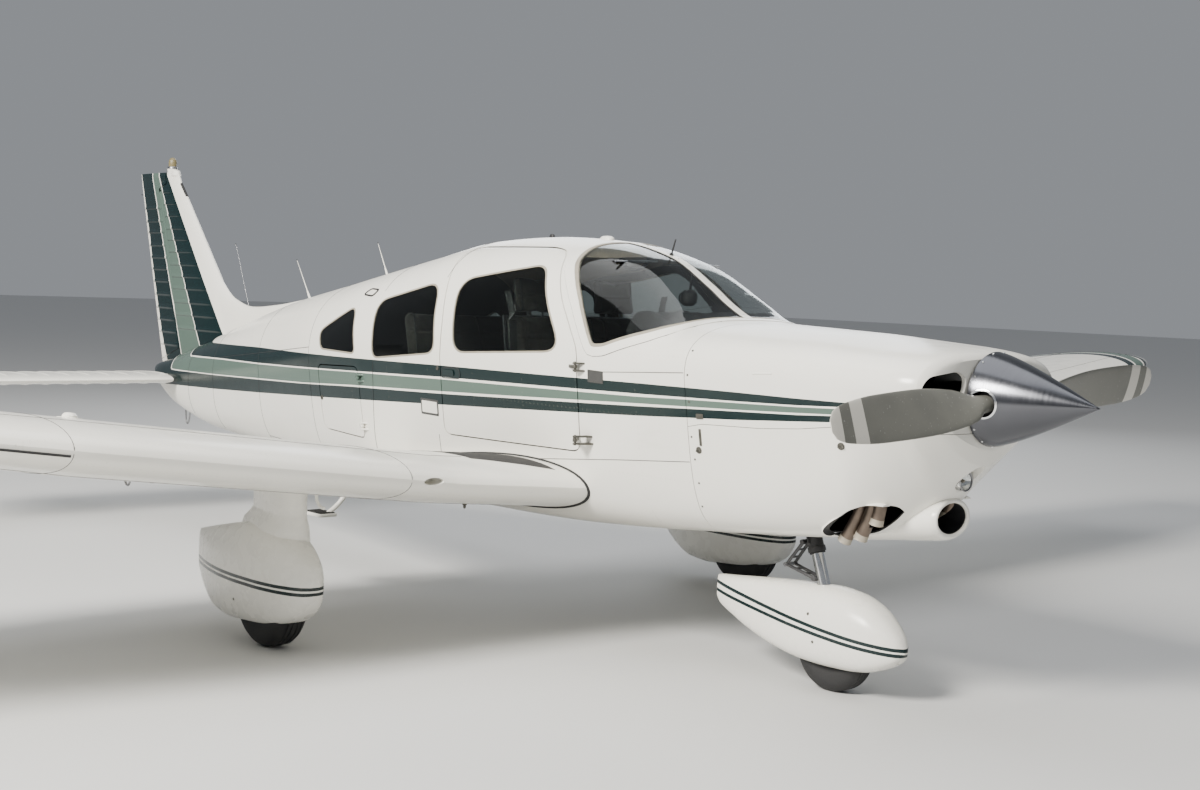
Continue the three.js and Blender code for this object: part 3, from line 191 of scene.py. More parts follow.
# Selecting and naming
def nothing_selected():
    if bpy.context.mode != "OBJECT":
        bpy.ops.object.mode_set(mode="OBJECT")
    bpy.ops.object.select_all(action="DESELECT")


def only(piece):
    nothing_selected()
    piece.select_set(True)
    bpy.context.view_layer.objects.active = piece
    return piece


def named(name):
    piece = bpy.context.object
    piece.name = name
    piece.data.name = name
    return piece


def edit(piece):
    only(piece)
    bpy.ops.object.mode_set(mode="EDIT")
    bpy.ops.mesh.select_mode(type="VERT")
    bpy.ops.mesh.select_all(action="SELECT")


def done(piece):
    bpy.ops.mesh.select_all(action="SELECT")
    bpy.ops.mesh.remove_doubles(threshold=MERGE_DISTANCE)
    bpy.ops.mesh.normals_make_consistent(inside=False)
    bpy.ops.object.mode_set(mode="OBJECT")
    return piece


def settled(piece):
    only(piece)
    bpy.ops.object.transform_apply(location=True, rotation=True, scale=True)
    return piece


def twin(piece, name):
    copy = piece.copy()
    copy.data = piece.data.copy()
    copy.name = name
    copy.data.name = name
    bpy.context.scene.collection.objects.link(copy)
    return copy


def mirrored(piece, name):
    copy = only(twin(piece, name))
    for vertex in copy.data.vertices:
        vertex.co.y = -vertex.co.y
    bpy.ops.object.mode_set(mode="EDIT")
    bpy.ops.mesh.select_all(action="SELECT")
    bpy.ops.mesh.flip_normals()
    bpy.ops.object.mode_set(mode="OBJECT")
    return copy


def joined(name, *pieces):
    nothing_selected()
    for piece in pieces:
        piece.select_set(True)
    bpy.context.view_layer.objects.active = pieces[0]
    if len(pieces) > 1:
        bpy.ops.object.join()
    return named(name)


def carved(piece, *tools, how="DIFFERENCE", solver="MANIFOLD"):
    for tool in tools:
        only(piece)
        step = piece.modifiers.new("step", "BOOLEAN")
        step.operation = how
        step.solver = solver
        step.material_mode = "TRANSFER"
        step.object = tool
        bpy.ops.object.modifier_apply(modifier=step.name)
        bpy.data.objects.remove(tool)
    return piece


def painted(piece, *materials):
    piece.data.materials.clear()
    for material in materials:
        piece.data.materials.append(material)
    return piece


def fitted(piece, body, slot, *replaced, smooth=32):
    only(piece)
    bpy.ops.object.shade_smooth_by_angle(angle=math.radians(smooth))
    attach(piece, body)
    if replaced:
        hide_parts(*replaced)
    return piece


# Shapes
def cuboid(name, stations, sides, heights, bevel=0, segments=2):
    nothing_selected()
    low, high = at(stations[1], sides[0], heights[0]), at(stations[0], sides[1], heights[1])
    bpy.ops.mesh.primitive_cube_add(size=1, location=(low + high) / 2)
    piece = named(name)
    piece.scale = high - low
    settled(piece)
    if bevel:
        edit(piece)
        bpy.ops.mesh.bevel(offset=bevel / 1000, segments=segments, affect="EDGES")
        done(piece)
    return piece


def rod(name, start, end, radius, end_radius=None, sides=24, bevel=0):
    nothing_selected()
    along = end - start
    bpy.ops.mesh.primitive_cone_add(
        vertices=sides,
        radius1=radius / 1000,
        radius2=(radius if end_radius is None else end_radius) / 1000,
        depth=along.length,
        location=(start + end) / 2,
        rotation=along.to_track_quat("Z", "Y").to_euler(),
    )
    piece = settled(named(name))
    if bevel:
        edit(piece)
        bpy.ops.mesh.select_mode(type="EDGE")
        bpy.ops.mesh.select_all(action="DESELECT")
        bpy.ops.mesh.edges_select_sharp(sharpness=math.radians(60))
        bpy.ops.mesh.bevel(offset=bevel / 1000, segments=2, affect="EDGES")
        done(piece)
    return piece


def plate(name, corners, push, bevel=0):
    nothing_selected()
    bpy.ops.mesh.primitive_circle_add(vertices=len(corners), fill_type="NGON")
    piece = named(name)
    for vertex, corner in zip(piece.data.vertices, corners):
        vertex.co = corner
    edit(piece)
    bpy.ops.mesh.extrude_region_move(TRANSFORM_OT_translate={"value": push})
    if bevel:
        bpy.ops.mesh.select_all(action="SELECT")
        bpy.ops.mesh.select_mode(type="EDGE")
        bpy.ops.mesh.select_all(action="DESELECT")
        bpy.ops.mesh.edges_select_sharp(sharpness=math.radians(50))
        bpy.ops.mesh.bevel(offset=bevel / 1000, segments=2, affect="EDGES", clamp_overlap=True)
    return done(piece)


def side_plate(name, outline, sides, bevel=0):
    corners = [at(station, sides[0], height) for station, height in outline]
    return plate(name, corners, (0, (sides[1] - sides[0]) / 1000, 0), bevel)


def front_plate(name, outline, stations):
    corners = [at(stations[0], side, height) for side, height in outline]
    return plate(name, corners, ((stations[0] - stations[1]) / 1000, 0, 0))


def top_plate(name, outline, heights, bevel=0):
    corners = [at(station, side, heights[0]) for station, side in outline]
    return plate(name, corners, (0, 0, (heights[1] - heights[0]) / 1000), bevel)


# A profile of (radius, distance along the axis) is spun round the axis.
def turned(name, profile, centre, axis, steps=48, loop=False):
    nothing_selected()
    bpy.ops.mesh.primitive_circle_add(vertices=len(profile), fill_type="NOTHING")
    piece = named(name)
    along = Vector(axis).normalized()
    outward = along.orthogonal().normalized()
    for vertex, (radius, distance) in zip(piece.data.vertices, profile):
        vertex.co = centre + along * (distance / 1000) + outward * (radius / 1000)
    if not loop:
        for vertex in piece.data.vertices:
            vertex.select = False
        for edge in piece.data.edges:
            edge.select = set(edge.vertices) == {0, len(profile) - 1}
        only(piece)
        bpy.ops.object.mode_set(mode="EDIT")
        bpy.ops.mesh.select_mode(type="EDGE")
        bpy.ops.mesh.delete(type="EDGE")
    edit(piece)
    bpy.ops.mesh.spin(steps=steps, angle=math.tau, center=centre, axis=along, use_auto_merge=True)
    return done(piece)


# A closed skin through rings of points, which all have the same number of points
def skin_through(name, rings, capped=True):
    nothing_selected()
    around, along = len(rings[0]), len(rings)
    bpy.ops.mesh.primitive_grid_add(x_subdivisions=around, y_subdivisions=along - 1, size=1)
    piece = named(name)
    numbers = [value for ring in rings for spot in [*ring, ring[0]] for value in spot]
    piece.data.vertices.foreach_set("co", numbers)
    piece.data.update()
    edit(piece)
    bpy.ops.mesh.remove_doubles(threshold=MERGE_DISTANCE)
    if capped:
        bpy.ops.mesh.select_all(action="SELECT")
        bpy.ops.mesh.fill_holes(sides=0)
    return done(piece)


# A round tube whose centre line runs smoothly through the points
def tube(name, spots, radius, sides=12, steps=6, looped=False):
    path = curved(spots, steps, looped)
    rings = []
    normal = (path[1] - path[0]).orthogonal().normalized()
    last = len(path) - 1
    angles = [math.tau * turn / sides for turn in range(sides)]
    for number, spot in enumerate(path):
        before = path[number - 1] if number or looped else spot
        after = path[(number + 1) % len(path)] if number < last or looped else spot
        forward = (after - before).normalized()
        normal = (normal - forward * normal.dot(forward)).normalized()
        other = forward.cross(normal)
        rings.append([
            spot + (normal * math.cos(a) + other * math.sin(a)) * (radius / 1000) for a in angles
        ])
    if looped:
        rings.append(rings[0])
    return skin_through(name, rings, capped=not looped)


def curved(spots, steps, looped=False):
    spots = [Vector(spot) for spot in spots]
    if len(spots) < 3:
        return spots
    count = len(spots)
    path = []
    for number in range(count if looped else count - 1):
        near = [number + shift for shift in (-1, 0, 1, 2)]
        if not looped:
            near = [min(max(place, 0), count - 1) for place in near]
        a, b, c, d = (spots[place % count] for place in near)
        for step in range(steps):
            t = step / steps
            path.append(
                0.5
                * (
                    2 * b
                    + (c - a) * t
                    + (2 * a - 5 * b + 4 * c - d) * t**2
                    + (3 * b - a - 3 * c + d) * t**3
                )
            )
    return path if looped else path + [spots[-1]]


def rounded(outline, radii, steps=7):
    out = []
    count = len(outline)
    for number, corner in enumerate(outline):
        here = Vector(corner)
        radius = radii[number] if isinstance(radii, (list, tuple)) else radii
        before, after = Vector(outline[number - 1]), Vector(outline[(number + 1) % count])
        start = here + (before - here).normalized() * min(radius, (before - here).length * 0.45)
        end = here + (after - here).normalized() * min(radius, (after - here).length * 0.45)
        for step in range(steps + 1):
            t = step / steps
            out.append(list(start * (1 - t) ** 2 + here * 2 * t * (1 - t) + end * t**2))
    return out


def inset(outline, distance):
    count = len(outline)
    area = sum(
        outline[i][0] * outline[(i + 1) % count][1] - outline[(i + 1) % count][0] * outline[i][1]
        for i in range(count)
    )
    turn = 1 if area > 0 else -1
    out = []
    for number, corner in enumerate(outline):
        before, after = Vector(outline[number - 1]), Vector(outline[(number + 1) % count])
        here = Vector(corner)
        first = Vector((before.y - here.y, here.x - before.x)).normalized() * turn
        second = Vector((here.y - after.y, after.x - here.x)).normalized() * turn
        both = first + second
        out.append(list(here + both * (2 * distance / both.length_squared)))
    return out


# Body sections, drawn smoothly through the rows of the tables
def slopes_of(table):
    steps = [
        [(b[k] - a[k]) / (b[0] - a[0]) for k in range(len(a))] for a, b in zip(table, table[1:])
    ]
    rows = [steps[0]]
    for before, after in zip(steps, steps[1:]):
        rows.append([2 * a * b / (a + b) if a * b > 0 else 0 for a, b in zip(before, after)])
    rows.append(steps[-1])
    return rows


def row_at(table, station, smooth=True):
    number = next((i for i, row in enumerate(table) if row[0] >= station - 1e-6), len(table) - 1)
    number = max(number, 1)
    low, high = table[number - 1], table[number]
    span = high[0] - low[0]
    t = (station - low[0]) / span
    if not smooth:
        return [a + (b - a) * t for a, b in zip(low, high)]
    slopes = slopes_of(table)
    row = []
    for a, b, p, q in zip(low, high, slopes[number - 1], slopes[number]):
        row.append(
            a * (1 + 2 * t) * (1 - t) ** 2 + p * span * t * (1 - t) ** 2
            + b * t**2 * (3 - 2 * t) + q * span * t**2 * (t - 1)
        )
    row[0] = station
    return row


QUARTER_STEPS = 20


def body_ring(row, shrink=0, floor=None):
    station, top, bottom, width, wide, upper, lower, taper = row
    half = []
    for i in range(QUARTER_STEPS + 1):
        angle = i / QUARTER_STEPS * math.pi / 2
        side = (width - shrink) * math.sin(angle) ** (2 / upper)
        half.append((side, wide + (top - shrink - wide) * math.cos(angle) ** (2 / upper)))
    for i in range(1, QUARTER_STEPS + 1):
        angle = i / QUARTER_STEPS * math.pi / 2
        depth = math.sin(angle) ** (2 / lower)
        side = (width - shrink) * (1 - taper * depth) * max(math.cos(angle), 0) ** (2 / lower)
        half.append((max(side, 0), wide - (wide - bottom - shrink) * depth))
    half[-1] = (0, half[-1][1])
    if floor:
        half = [(side, max(height, floor)) for side, height in half]
    port = [at(station, side, height) for side, height in half]
    starboard = [at(station, -side, height) for side, height in half[-2:0:-1]]
    return port + starboard


def stations_between(start, end, pitch, table=()):
    count = max(1, math.ceil((end - start) / pitch))
    even = [start + (end - start) * i / count for i in range(count + 1)]
    knots = [row[0] for row in table if start + 1 < row[0] < end - 1]
    return sorted(set(even + knots))


def body_skin(name, table, start, end, shrink=0, floor=None, pitch=60):
    rows = [row_at(table, station) for station in stations_between(start, end, pitch, table)]
    return skin_through(name, [body_ring(row, shrink, floor) for row in rows])


def band(outline, side):
    """A tool as wide as the port side, the starboard side or, for 0, the whole body."""
    reach = {1: (NEAR_SIDE, FAR_SIDE), -1: (-FAR_SIDE, -NEAR_SIDE), 0: (-FAR_SIDE, FAR_SIDE)}
    return side_plate("band", outline, reach[side])


# A piece of the body's skin inside an outline seen from the side, between two depths
def skin_patch(name, outline, side, outer, inner, table=BODY, pitch=40):
    stations = [spot[0] for spot in outline]
    start, end = max(min(stations) - 8, table[0][0]), min(max(stations) + 8, table[-1][0])
    patch = body_skin(name, table, start, end, outer, pitch=pitch)
    past = 1 if start > table[0][0] + 1 else 0
    carved(patch, body_skin("hollow", table, start - past, end + past, inner, pitch=pitch))
    return carved(patch, band(outline, side), how="INTERSECT")


def skin_side(station, height, table=BODY):
    _, top, bottom, width, wide, upper, lower, taper = row_at(table, station)
    if height > wide:
        rise = min((height - wide) / (top - wide), 1)
        return width * (1 - rise**upper) ** (1 / upper)
    depth = min((wide - height) / (wide - bottom), 1)
    return width * (1 - taper * depth) * (1 - depth**lower) ** (1 / lower)


def on_side(station, height, side, out=0, table=BODY):
    """A point on the body's side, a few millimetres proud of it."""
    if table is BODY and station < FIREWALL:
        table = COWL
    return at(station, side * (skin_side(station, height, table) + out), height)


def side_normal(station, height, side):
    along = on_side(station - 4, height, side) - on_side(station + 4, height, side)
    upward = on_side(station, height + 4, side) - on_side(station, height - 4, side)
    normal = along.cross(upward).normalized()
    return normal if normal.y * side > 0 else -normal


def split_evenly(spots, pitch):
    """The same broken line with a point at least at every pitch."""
    out = []
    for a, b in zip(spots, spots[1:]):
        count = max(1, math.ceil((Vector(b) - Vector(a)).length / pitch))
        out += [[p + (q - p) * i / count for p, q in zip(a, b)] for i in range(count)]
    return out + [list(spots[-1])]


def side_line(spots, side, out=0, pitch=45):
    return [on_side(station, height, side, out) for station, height in split_evenly(spots, pitch)]


def thread(name, path, radius, sides=6):
    """A thin tube straight through many points."""
    return tube(name, path, radius, sides, steps=1)


def scattered(name, model, places):
    """Copies of a small piece, each set on a point with its top along a normal."""
    copies = []
    for spot, normal in places:
        copy = twin(model, "copy")
        copy.data.transform(
            Matrix.Translation(spot) @ Vector(normal).to_track_quat("Z", "Y").to_matrix().to_4x4()
        )
        copies.append(copy)
    bpy.data.objects.remove(model)
    return joined(name, *copies)


def screw_head(radius=5, rise=1.6, sides=12):
    """A low domed head with a cross cut in it, sunk a little below the skin."""
    head = rod(
        "head", Vector((0, 0, -0.002)), Vector((0, 0, rise / 1000)), radius, radius * 0.62, sides
    )
    for turn in (0, 1):
        size = (radius * 1.1, radius * 0.28) if turn else (radius * 0.28, radius * 1.1)
        nothing_selected()
        bpy.ops.mesh.primitive_cube_add(size=1, location=(0, 0, rise / 1000))
        bar = named("bar")
        bar.scale = Vector((size[0], size[1], 1.2)) / 1000
        carved(head, settled(bar))
    return head


def side_screws(name, spots, side, radius=5):
    places = [
        (on_side(station, height, side), side_normal(station, height, side))
        for station, height in spots
    ]
    return scattered(name, screw_head(radius), places)


# Node arithmetic, so that a material's pattern is written as a formula
class Field:
    def __init__(self, tree, socket):
        self.tree, self.socket = tree, socket

    def math(self, operation, *others):
        node = self.tree.nodes.new("ShaderNodeMath")
        node.operation = operation
        self.tree.links.new(self.socket, node.inputs[0])
        for socket, other in zip(node.inputs[1:], others):
            if isinstance(other, Field):
                self.tree.links.new(other.socket, socket)
            else:
                socket.default_value = other
        return Field(self.tree, node.outputs[0])

    def __add__(self, other):
        return self.math("ADD", other)

    def __sub__(self, other):
        return self.math("SUBTRACT", other)

    def __mul__(self, other):
        return self.math("MULTIPLY", other)

    def __gt__(self, other):
        return self.math("GREATER_THAN", other)

    def __lt__(self, other):
        return self.math("LESS_THAN", other)

    def __abs__(self):
        return self.math("ABSOLUTE")

    def both(self, other):
        return self.math("MINIMUM", other)

    def either(self, other):
        return self.math("MAXIMUM", other)

    def rounded_either(self, other, radius):
        return self.math("SMOOTH_MAX", other, radius)

    def off_multiple(self, pitch):
        return self.math("PINGPONG", pitch / 2)

    def along_curve(self, spots):
        """The height over this value of a broken line through (value, height) spots."""
        left, right = spots[0][0], spots[-1][0]
        low, high = min(h for _, h in spots), max(h for _, h in spots)
        node = self.tree.nodes.new("ShaderNodeFloatCurve")
        curve = node.mapping.curves[0]
        ends = [(0, spots[0][1]), (1, spots[-1][1])]
        for point, (place, height) in zip((curve.points[0], curve.points[-1]), ends):
            point.location = (place, (height - low) / (high - low))
        for value, height in spots[1:-1]:
            curve.points.new((value - left) / (right - left), (height - low) / (high - low))
        for point in curve.points:
            point.handle_type = "VECTOR"
        node.mapping.update()
        self.tree.links.new(((self - left) * (1 / (right - left))).socket, node.inputs["Value"])
        return Field(self.tree, node.outputs[0]) * (high - low) + low


class Finish:
    """A material under construction: places, noises and the shader's sockets."""

    def __init__(self, name, color, roughness, **sockets):
        self.material = bpy.data.materials.new(name)
        self.material.use_nodes = True
        self.tree = self.material.node_tree
        self.shader = self.tree.nodes["Principled BSDF"]
        self.color = tuple(color) + (1,)
        self.color_socket = None
        self.normal = None
        self.shader.inputs["Base Color"].default_value = self.color
        self.shader.inputs["Roughness"].default_value = roughness
        for socket, value in sockets.items():
            self.shader.inputs[socket.replace("_", " ")].default_value = value
        self.place = self.tree.nodes.new("ShaderNodeTexCoord").outputs["Object"]
        split = self.tree.nodes.new("ShaderNodeSeparateXYZ")
        self.tree.links.new(self.place, split.inputs[0])
        x, y, z = (Field(self.tree, socket) * 1000 for socket in split.outputs)
        self.station = x * -1 + LENGTH / 2
        self.side = y
        self.away = abs(y)
        self.height = z

    def noise(self, scale, detail=3, stretch=(1, 1, 1), roughness=0.5):
        mapping = self.tree.nodes.new("ShaderNodeMapping")
        mapping.inputs["Scale"].default_value = stretch
        self.tree.links.new(self.place, mapping.inputs["Vector"])
        node = self.tree.nodes.new("ShaderNodeTexNoise")
        node.inputs["Scale"].default_value = scale
        node.inputs["Detail"].default_value = detail
        node.inputs["Roughness"].default_value = roughness
        self.tree.links.new(mapping.outputs[0], node.inputs["Vector"])
        return Field(self.tree, node.outputs[0])

    def tint(self, color, share):
        node = self.tree.nodes.new("ShaderNodeMix")
        node.data_type = "RGBA"
        factor, before, after = node.inputs[0], node.inputs[6], node.inputs[7]
        self.tree.links.new(share.socket, factor)
        if self.color_socket:
            self.tree.links.new(self.color_socket, before)
        else:
            before.default_value = self.color
        after.default_value = tuple(color) + (1,)
        self.color_socket = node.outputs[2]
        self.tree.links.new(self.color_socket, self.shader.inputs["Base Color"])
        return self

    def roughness(self, field):
        self.tree.links.new(field.socket, self.shader.inputs["Roughness"])
        return self

    def bump(self, height, millimetres, strength=1.0):
        node = self.tree.nodes.new("ShaderNodeBump")
        node.inputs["Distance"].default_value = millimetres / 1000
        node.inputs["Strength"].default_value = strength
        self.tree.links.new(height.socket, node.inputs["Height"])
        if self.normal:
            self.tree.links.new(self.normal, node.inputs["Normal"])
        self.normal = node.outputs[0]
        self.tree.links.new(self.normal, self.shader.inputs["Normal"])
        return self


# Paint. The stripes' edges were read off the photograph as station and height.
WHITE = (0.84, 0.825, 0.765)
DEEP_GREEN = (0.0022, 0.0125, 0.0135)
GREY_GREEN = (0.088, 0.132, 0.11)
WORN = (0.34, 0.31, 0.25)
NOSE_POINT = (560, 1222)
STRIPE_EDGES = [
    [
        (734, 1237), (1029, 1236), (1313, 1238), (1852, 1238), (3220, 1230), (4073, 1219),
        (4635, 1213), (5325, 1209), (6182, 1193), (7300, 1190)
    ],
    [
        (738, 1222), (1032, 1209), (1316, 1202), (1610, 1197), (1856, 1193), (3220, 1175),
        (4084, 1151), (4641, 1136), (5298, 1119), (5904, 1111), (6427, 1099), (7300, 1080)
    ],
    [
        (784, 1212), (1033, 1202), (1317, 1195), (1611, 1188), (1857, 1180), (3220, 1163),
        (4085, 1144), (4642, 1128), (5297, 1111), (5900, 1103), (6427, 1090), (7300, 1070)
    ],
    [
        (837, 1188), (1035, 1179), (1319, 1168), (1614, 1159), (1860, 1152), (3220, 1105),
        (4095, 1076), (4656, 1050), (5303, 1029), (6010, 1007), (6638, 994), (7300, 985)
    ],
    [
        (838, 1182), (1036, 1171), (1320, 1161), (1615, 1150), (1862, 1140), (3220, 1093),
        (4097, 1067), (4657, 1043), (5304, 1021), (6012, 1001), (6635, 987), (7300, 978)
    ],
    [
        (871, 1156), (1039, 1145), (1322, 1127), (1619, 1112), (1866, 1099), (3220, 1040),
        (4107, 1001), (4672, 975), (5315, 944), (6019, 915), (6728, 891), (7300, 872)
    ],
]
# The same edges where they climb the fin, as height and station
FIN_EDGES = [
    [(880, 5984), (1249, 6282), (2287, 7121), (2400, 7212)],
    [(880, 6391), (1178, 6571), (2201, 7180), (2400, 7299)],
    [(880, 6402), (1178, 6582), (2201, 7192), (2400, 7311)],
    [(880, 6758), (1113, 6849), (2278, 7333), (2400, 7384)],
    [(880, 6769), (1113, 6861), (2278, 7346), (2400, 7397)],
]
RUDDER_EDGE = [
    (1040, 7090), (1084, 7113), (1211, 7178), (1376, 7235), (1533, 7290), (1709, 7347),
    (1858, 7384), (2046, 7450), (2400, 7570)
]
CLIMB_RADIUS = 45


def stripe_fields(finish, climbs):
    fields = []
    for number, edge in enumerate(STRIPE_EDGES):
        below = finish.station.along_curve([NOSE_POINT] + edge) - finish.height
        up = FIN_EDGES[number] if number < len(FIN_EDGES) else RUDDER_EDGE
        if climbs and (number < len(FIN_EDGES) or climbs == "rudder"):
            behind = (finish.station - finish.height.along_curve(up)) * 0.8
            below = below.rounded_either(behind, CLIMB_RADIUS)
        fields.append(below)
    return fields


def add_stripes(finish, climbs=None):
    edges = stripe_fields(finish, climbs)
    behind_point = finish.station > NOSE_POINT[0]
    for upper, lower, color in ((0, 1, DEEP_GREEN), (2, 3, GREY_GREEN), (4, 5, DEEP_GREEN)):
        inside = (edges[upper] > 0).both(edges[lower] < 0).both(behind_point)
        finish.tint(color, inside)


def add_rivets(finish, along, across, pitch, rows, start=0, radius=2.6, strength=0.35):
    """Rows of round rivet heads: a row at every multiple of the spacing, heads at every pitch."""
    u = along.off_multiple(pitch)
    v = (across - start).off_multiple(rows)
    distance = (u * u + v * v).math("SQRT")
    head = (distance * -1 + radius) * (1 / radius)
    finish.bump(head.math("MAXIMUM", 0), 0.7, strength)
    ring = (abs(distance - radius) < 0.9) * 0.13
    finish.tint(WORN, ring)


def gloss_paint(name, stripes=None, climbs=None, rivets=None):
    finish = Finish(name, WHITE, 0.26, Specular_IOR_Level=0.4)
    finish.tint((0.76, 0.74, 0.66), (finish.noise(1.7, 4) - 0.42).math("MAXIMUM", 0) * 1.1)
    if stripes == "body":
        add_stripes(finish, climbs)
    if stripes == "tip":
        bow = (finish.station - 2620) * (1 / 700)
        bow = (bow.math("MAXIMUM", 0).math("MINIMUM", 1) * -1 + 1).math("POWER", 2) * -120 + 120
        reach = finish.away - bow
        for low, high, tone in TIP_BANDS:
            finish.tint(tone, (reach > low).both(reach < high))
    if rivets:
        for along, across, pitch, rows, start in rivets(finish):
            add_rivets(finish, along, across, pitch, rows, start)
    # Painted shade: dark lines under the fin's and rudder's beads
    if climbs == "rudder":
        add_bead_shade_lines(finish)
    grime = finish.noise(9, 6, (0.25, 1, 1), 0.65)
    finish.tint(WORN, (grime - 0.63).math("MAXIMUM", 0) * 0.7)
    if stripes == "body":
        low = (finish.height * -1 + 700) * (1 / 160)
        finish.tint(
            WORN, low.math("MAXIMUM", 0).math("MINIMUM", 1) * finish.noise(5, 5, (0.3, 1, 1)) * 0.8
        )
    finish.roughness(finish.noise(14, 4) * 0.2 + 0.12)
    finish.bump(finish.noise(2.4, 1), 1.2, 0.1)
    return finish.material


# The rudder's hinge line: its foot as station and height, and how far it runs aft and up;
# and the slanting line on the fin where the beads begin
HINGE_FOOT, HINGE_RUN = (6900, 1122), (305, 1046)
FIN_BEAD_LINE = {"z": 1249, "slope": 0.8083}
FIN_BEADS = [1261, 1350, 1432, 1523, 1602, 1681, 1766, 1846, 1919, 2005, 2085, 2164]
RUDDER_BEADS = [1143, 1229, 1310, 1391, 1478, 1565, 1647, 1725, 1808, 1896, 1970, 2058]
# Colour of the painted shade lines under the beads
BEAD_SHADE = (0.012, 0.02, 0.02)


def add_bead_shade_lines(finish):
    """Painted shade: dark lines under the fin's and rudder's pressed beads, where they cast shadow.
    """
    hinge = (finish.height - HINGE_FOOT[1]) * (HINGE_RUN[0] / HINGE_RUN[1]) + HINGE_FOOT[0]
    dark = (finish.height - FIN_BEAD_LINE["z"]) * FIN_BEAD_LINE["slope"] + 6290
    on_fin = (finish.station - dark > 0).both(hinge - finish.station > 34)
    on_rudder = finish.station - hinge > 14
    for heights, where in ((FIN_BEADS, on_fin), (RUDDER_BEADS, on_rudder)):
        for height in heights:
            finish.tint(BEAD_SHADE, (abs(finish.height - (height - 8)) < 3).both(where) * 0.55)


TIP_BANDS = [
    (4690, 4770, DEEP_GREEN), (4790, 4890, GREY_GREEN), (4910, 4990, DEEP_GREEN),
]


def body_rivets(finish):
    around = finish.away - finish.height
    return [
        (around, finish.station, 26, 365, 60),
        (finish.station, finish.height, 27, 260, 60),
    ]


def wing_rivets(finish):
    return [
        (finish.station, finish.away, 28, 322, 90),
        (finish.away, finish.station, 26, 560, 140),
    ]


def tail_rivets(finish):
    around = finish.away - finish.height
    return [(around, finish.station, 25, 330, 200)]


PAINT = gloss_paint("white_paint")
BODY_PAINT = gloss_paint("striped_body_paint", "body", None, body_rivets)
COWL_PAINT = gloss_paint("striped_cowl_paint", "body")
TAIL_PAINT = gloss_paint("striped_tail_paint", "body", "fin", tail_rivets)
FIN_PAINT = gloss_paint("striped_fin_paint", "body", "rudder")
WING_PAINT = gloss_paint("wing_paint", "tip", None, wing_rivets)


def plain_finish(name, color, roughness, metallic=0, grain=60, depth=0.3, shade=None, **sockets):
    finish = Finish(name, color, roughness, Metallic=metallic, **sockets)
    darker = shade or tuple(value * 0.6 for value in color)
    finish.tint(darker, (finish.noise(grain * 0.4, 5) - 0.35).math("MAXIMUM", 0) * 1.1)
    finish.roughness(finish.noise(grain * 0.7, 4) * 0.25 + max(roughness - 0.12, 0.02))
    finish.bump(finish.noise(grain, 4), depth, 0.25)
    return finish.material


LINING = plain_finish("cabin_lining", (0.05, 0.045, 0.039), 0.85, grain=220, depth=0.15)
TRIM = plain_finish("dark_trim", (0.022, 0.022, 0.024), 0.55, grain=500, depth=0.25)
RUBBER = plain_finish("black_rubber", (0.018, 0.018, 0.019), 0.75, grain=300, depth=0.4)
STEEL = plain_finish("worn_steel", (0.34, 0.34, 0.35), 0.36, 1.0, grain=120, depth=0.1)
CHROME = plain_finish("bright_chrome", (0.75, 0.76, 0.77), 0.1, 1.0, grain=40, depth=0.03)
ALUMINIUM = plain_finish("cast_aluminium", (0.55, 0.56, 0.57), 0.36, 1.0, grain=150, depth=0.15)
ENGINE = plain_finish("engine_castings", (0.09, 0.09, 0.095), 0.5, 0.6, grain=90, depth=1.0)
BURNT = plain_finish(
    "heat_stained_steel", (0.19, 0.15, 0.12), 0.45, 0.85, grain=70, depth=0.3,
    shade=(0.07, 0.055, 0.05)
)
AMBER = plain_finish(
    "weathered_amber_lens", (0.27, 0.225, 0.11), 0.3, grain=30, depth=0.1, Transmission_Weight=0.25
)
SEALANT = plain_finish(
    "weathered_sealant", (0.33, 0.30, 0.24), 0.6, grain=60, depth=0.3, shade=(0.16, 0.14, 0.11)
)
GREY_PLATE = plain_finish("grey_plate", (0.05, 0.05, 0.05), 0.45, grain=80, depth=0.1)
FITTING = plain_finish(
    "grimy_fitting", (0.12, 0.115, 0.10), 0.5, 0.7, grain=160, depth=0.2, shade=(0.03, 0.028, 0.025)
)
GRIP = plain_finish(
    "grit_walkway", (0.02, 0.02, 0.021), 0.9, grain=900, depth=0.9, shade=(0.055, 0.052, 0.046)
)
RED_LENS = plain_finish(
    "red_lens", (0.45, 0.02, 0.015), 0.12, grain=20, depth=0.05, Transmission_Weight=0.4
)
GREEN_LENS = plain_finish(
    "green_lens", (0.01, 0.30, 0.12), 0.12, grain=20, depth=0.05, Transmission_Weight=0.4
)
PALE_METAL = plain_finish(
    "ash_coated_pipe_end", (0.42, 0.38, 0.31), 0.6, 0.3, grain=90, depth=0.3,
    shade=(0.22, 0.18, 0.13)
)


def make_glass(name, color):
    finish = Finish(name, color, 0.03, Transmission_Weight=1.0, IOR=1.25)
    finish.roughness(finish.noise(6, 3) * 0.03 + 0.01)
    return finish.material


GLASS = make_glass("tinted_acrylic", (0.50, 0.55, 0.53))
CLEAR_GLASS = make_glass("clear_acrylic", (0.60, 0.64, 0.63))
LAMP_GLASS = make_glass("lamp_glass", (0.92, 0.93, 0.92))


def make_spun_metal():
    # Painted reflection: the polished metal's base colour is kept dark to stand in for the dark
    # surroundings it reflects.
    finish = Finish("polished_spinner_painted_dark_reflection", (0.14, 0.145, 0.16), 0.16, Metallic=1.0)
    ring = finish.noise(260, 2, (1, 0.02, 0.02))
    finish.roughness(ring * 0.16 + 0.14)
    finish.tint((0.08, 0.08, 0.09), finish.noise(5, 5) * 0.7)
    finish.bump(ring, 0.05, 0.3)
    return finish.material


SPINNER_METAL = make_spun_metal()
BLADE_BANDS = [(840, 908), (962, 1020)]


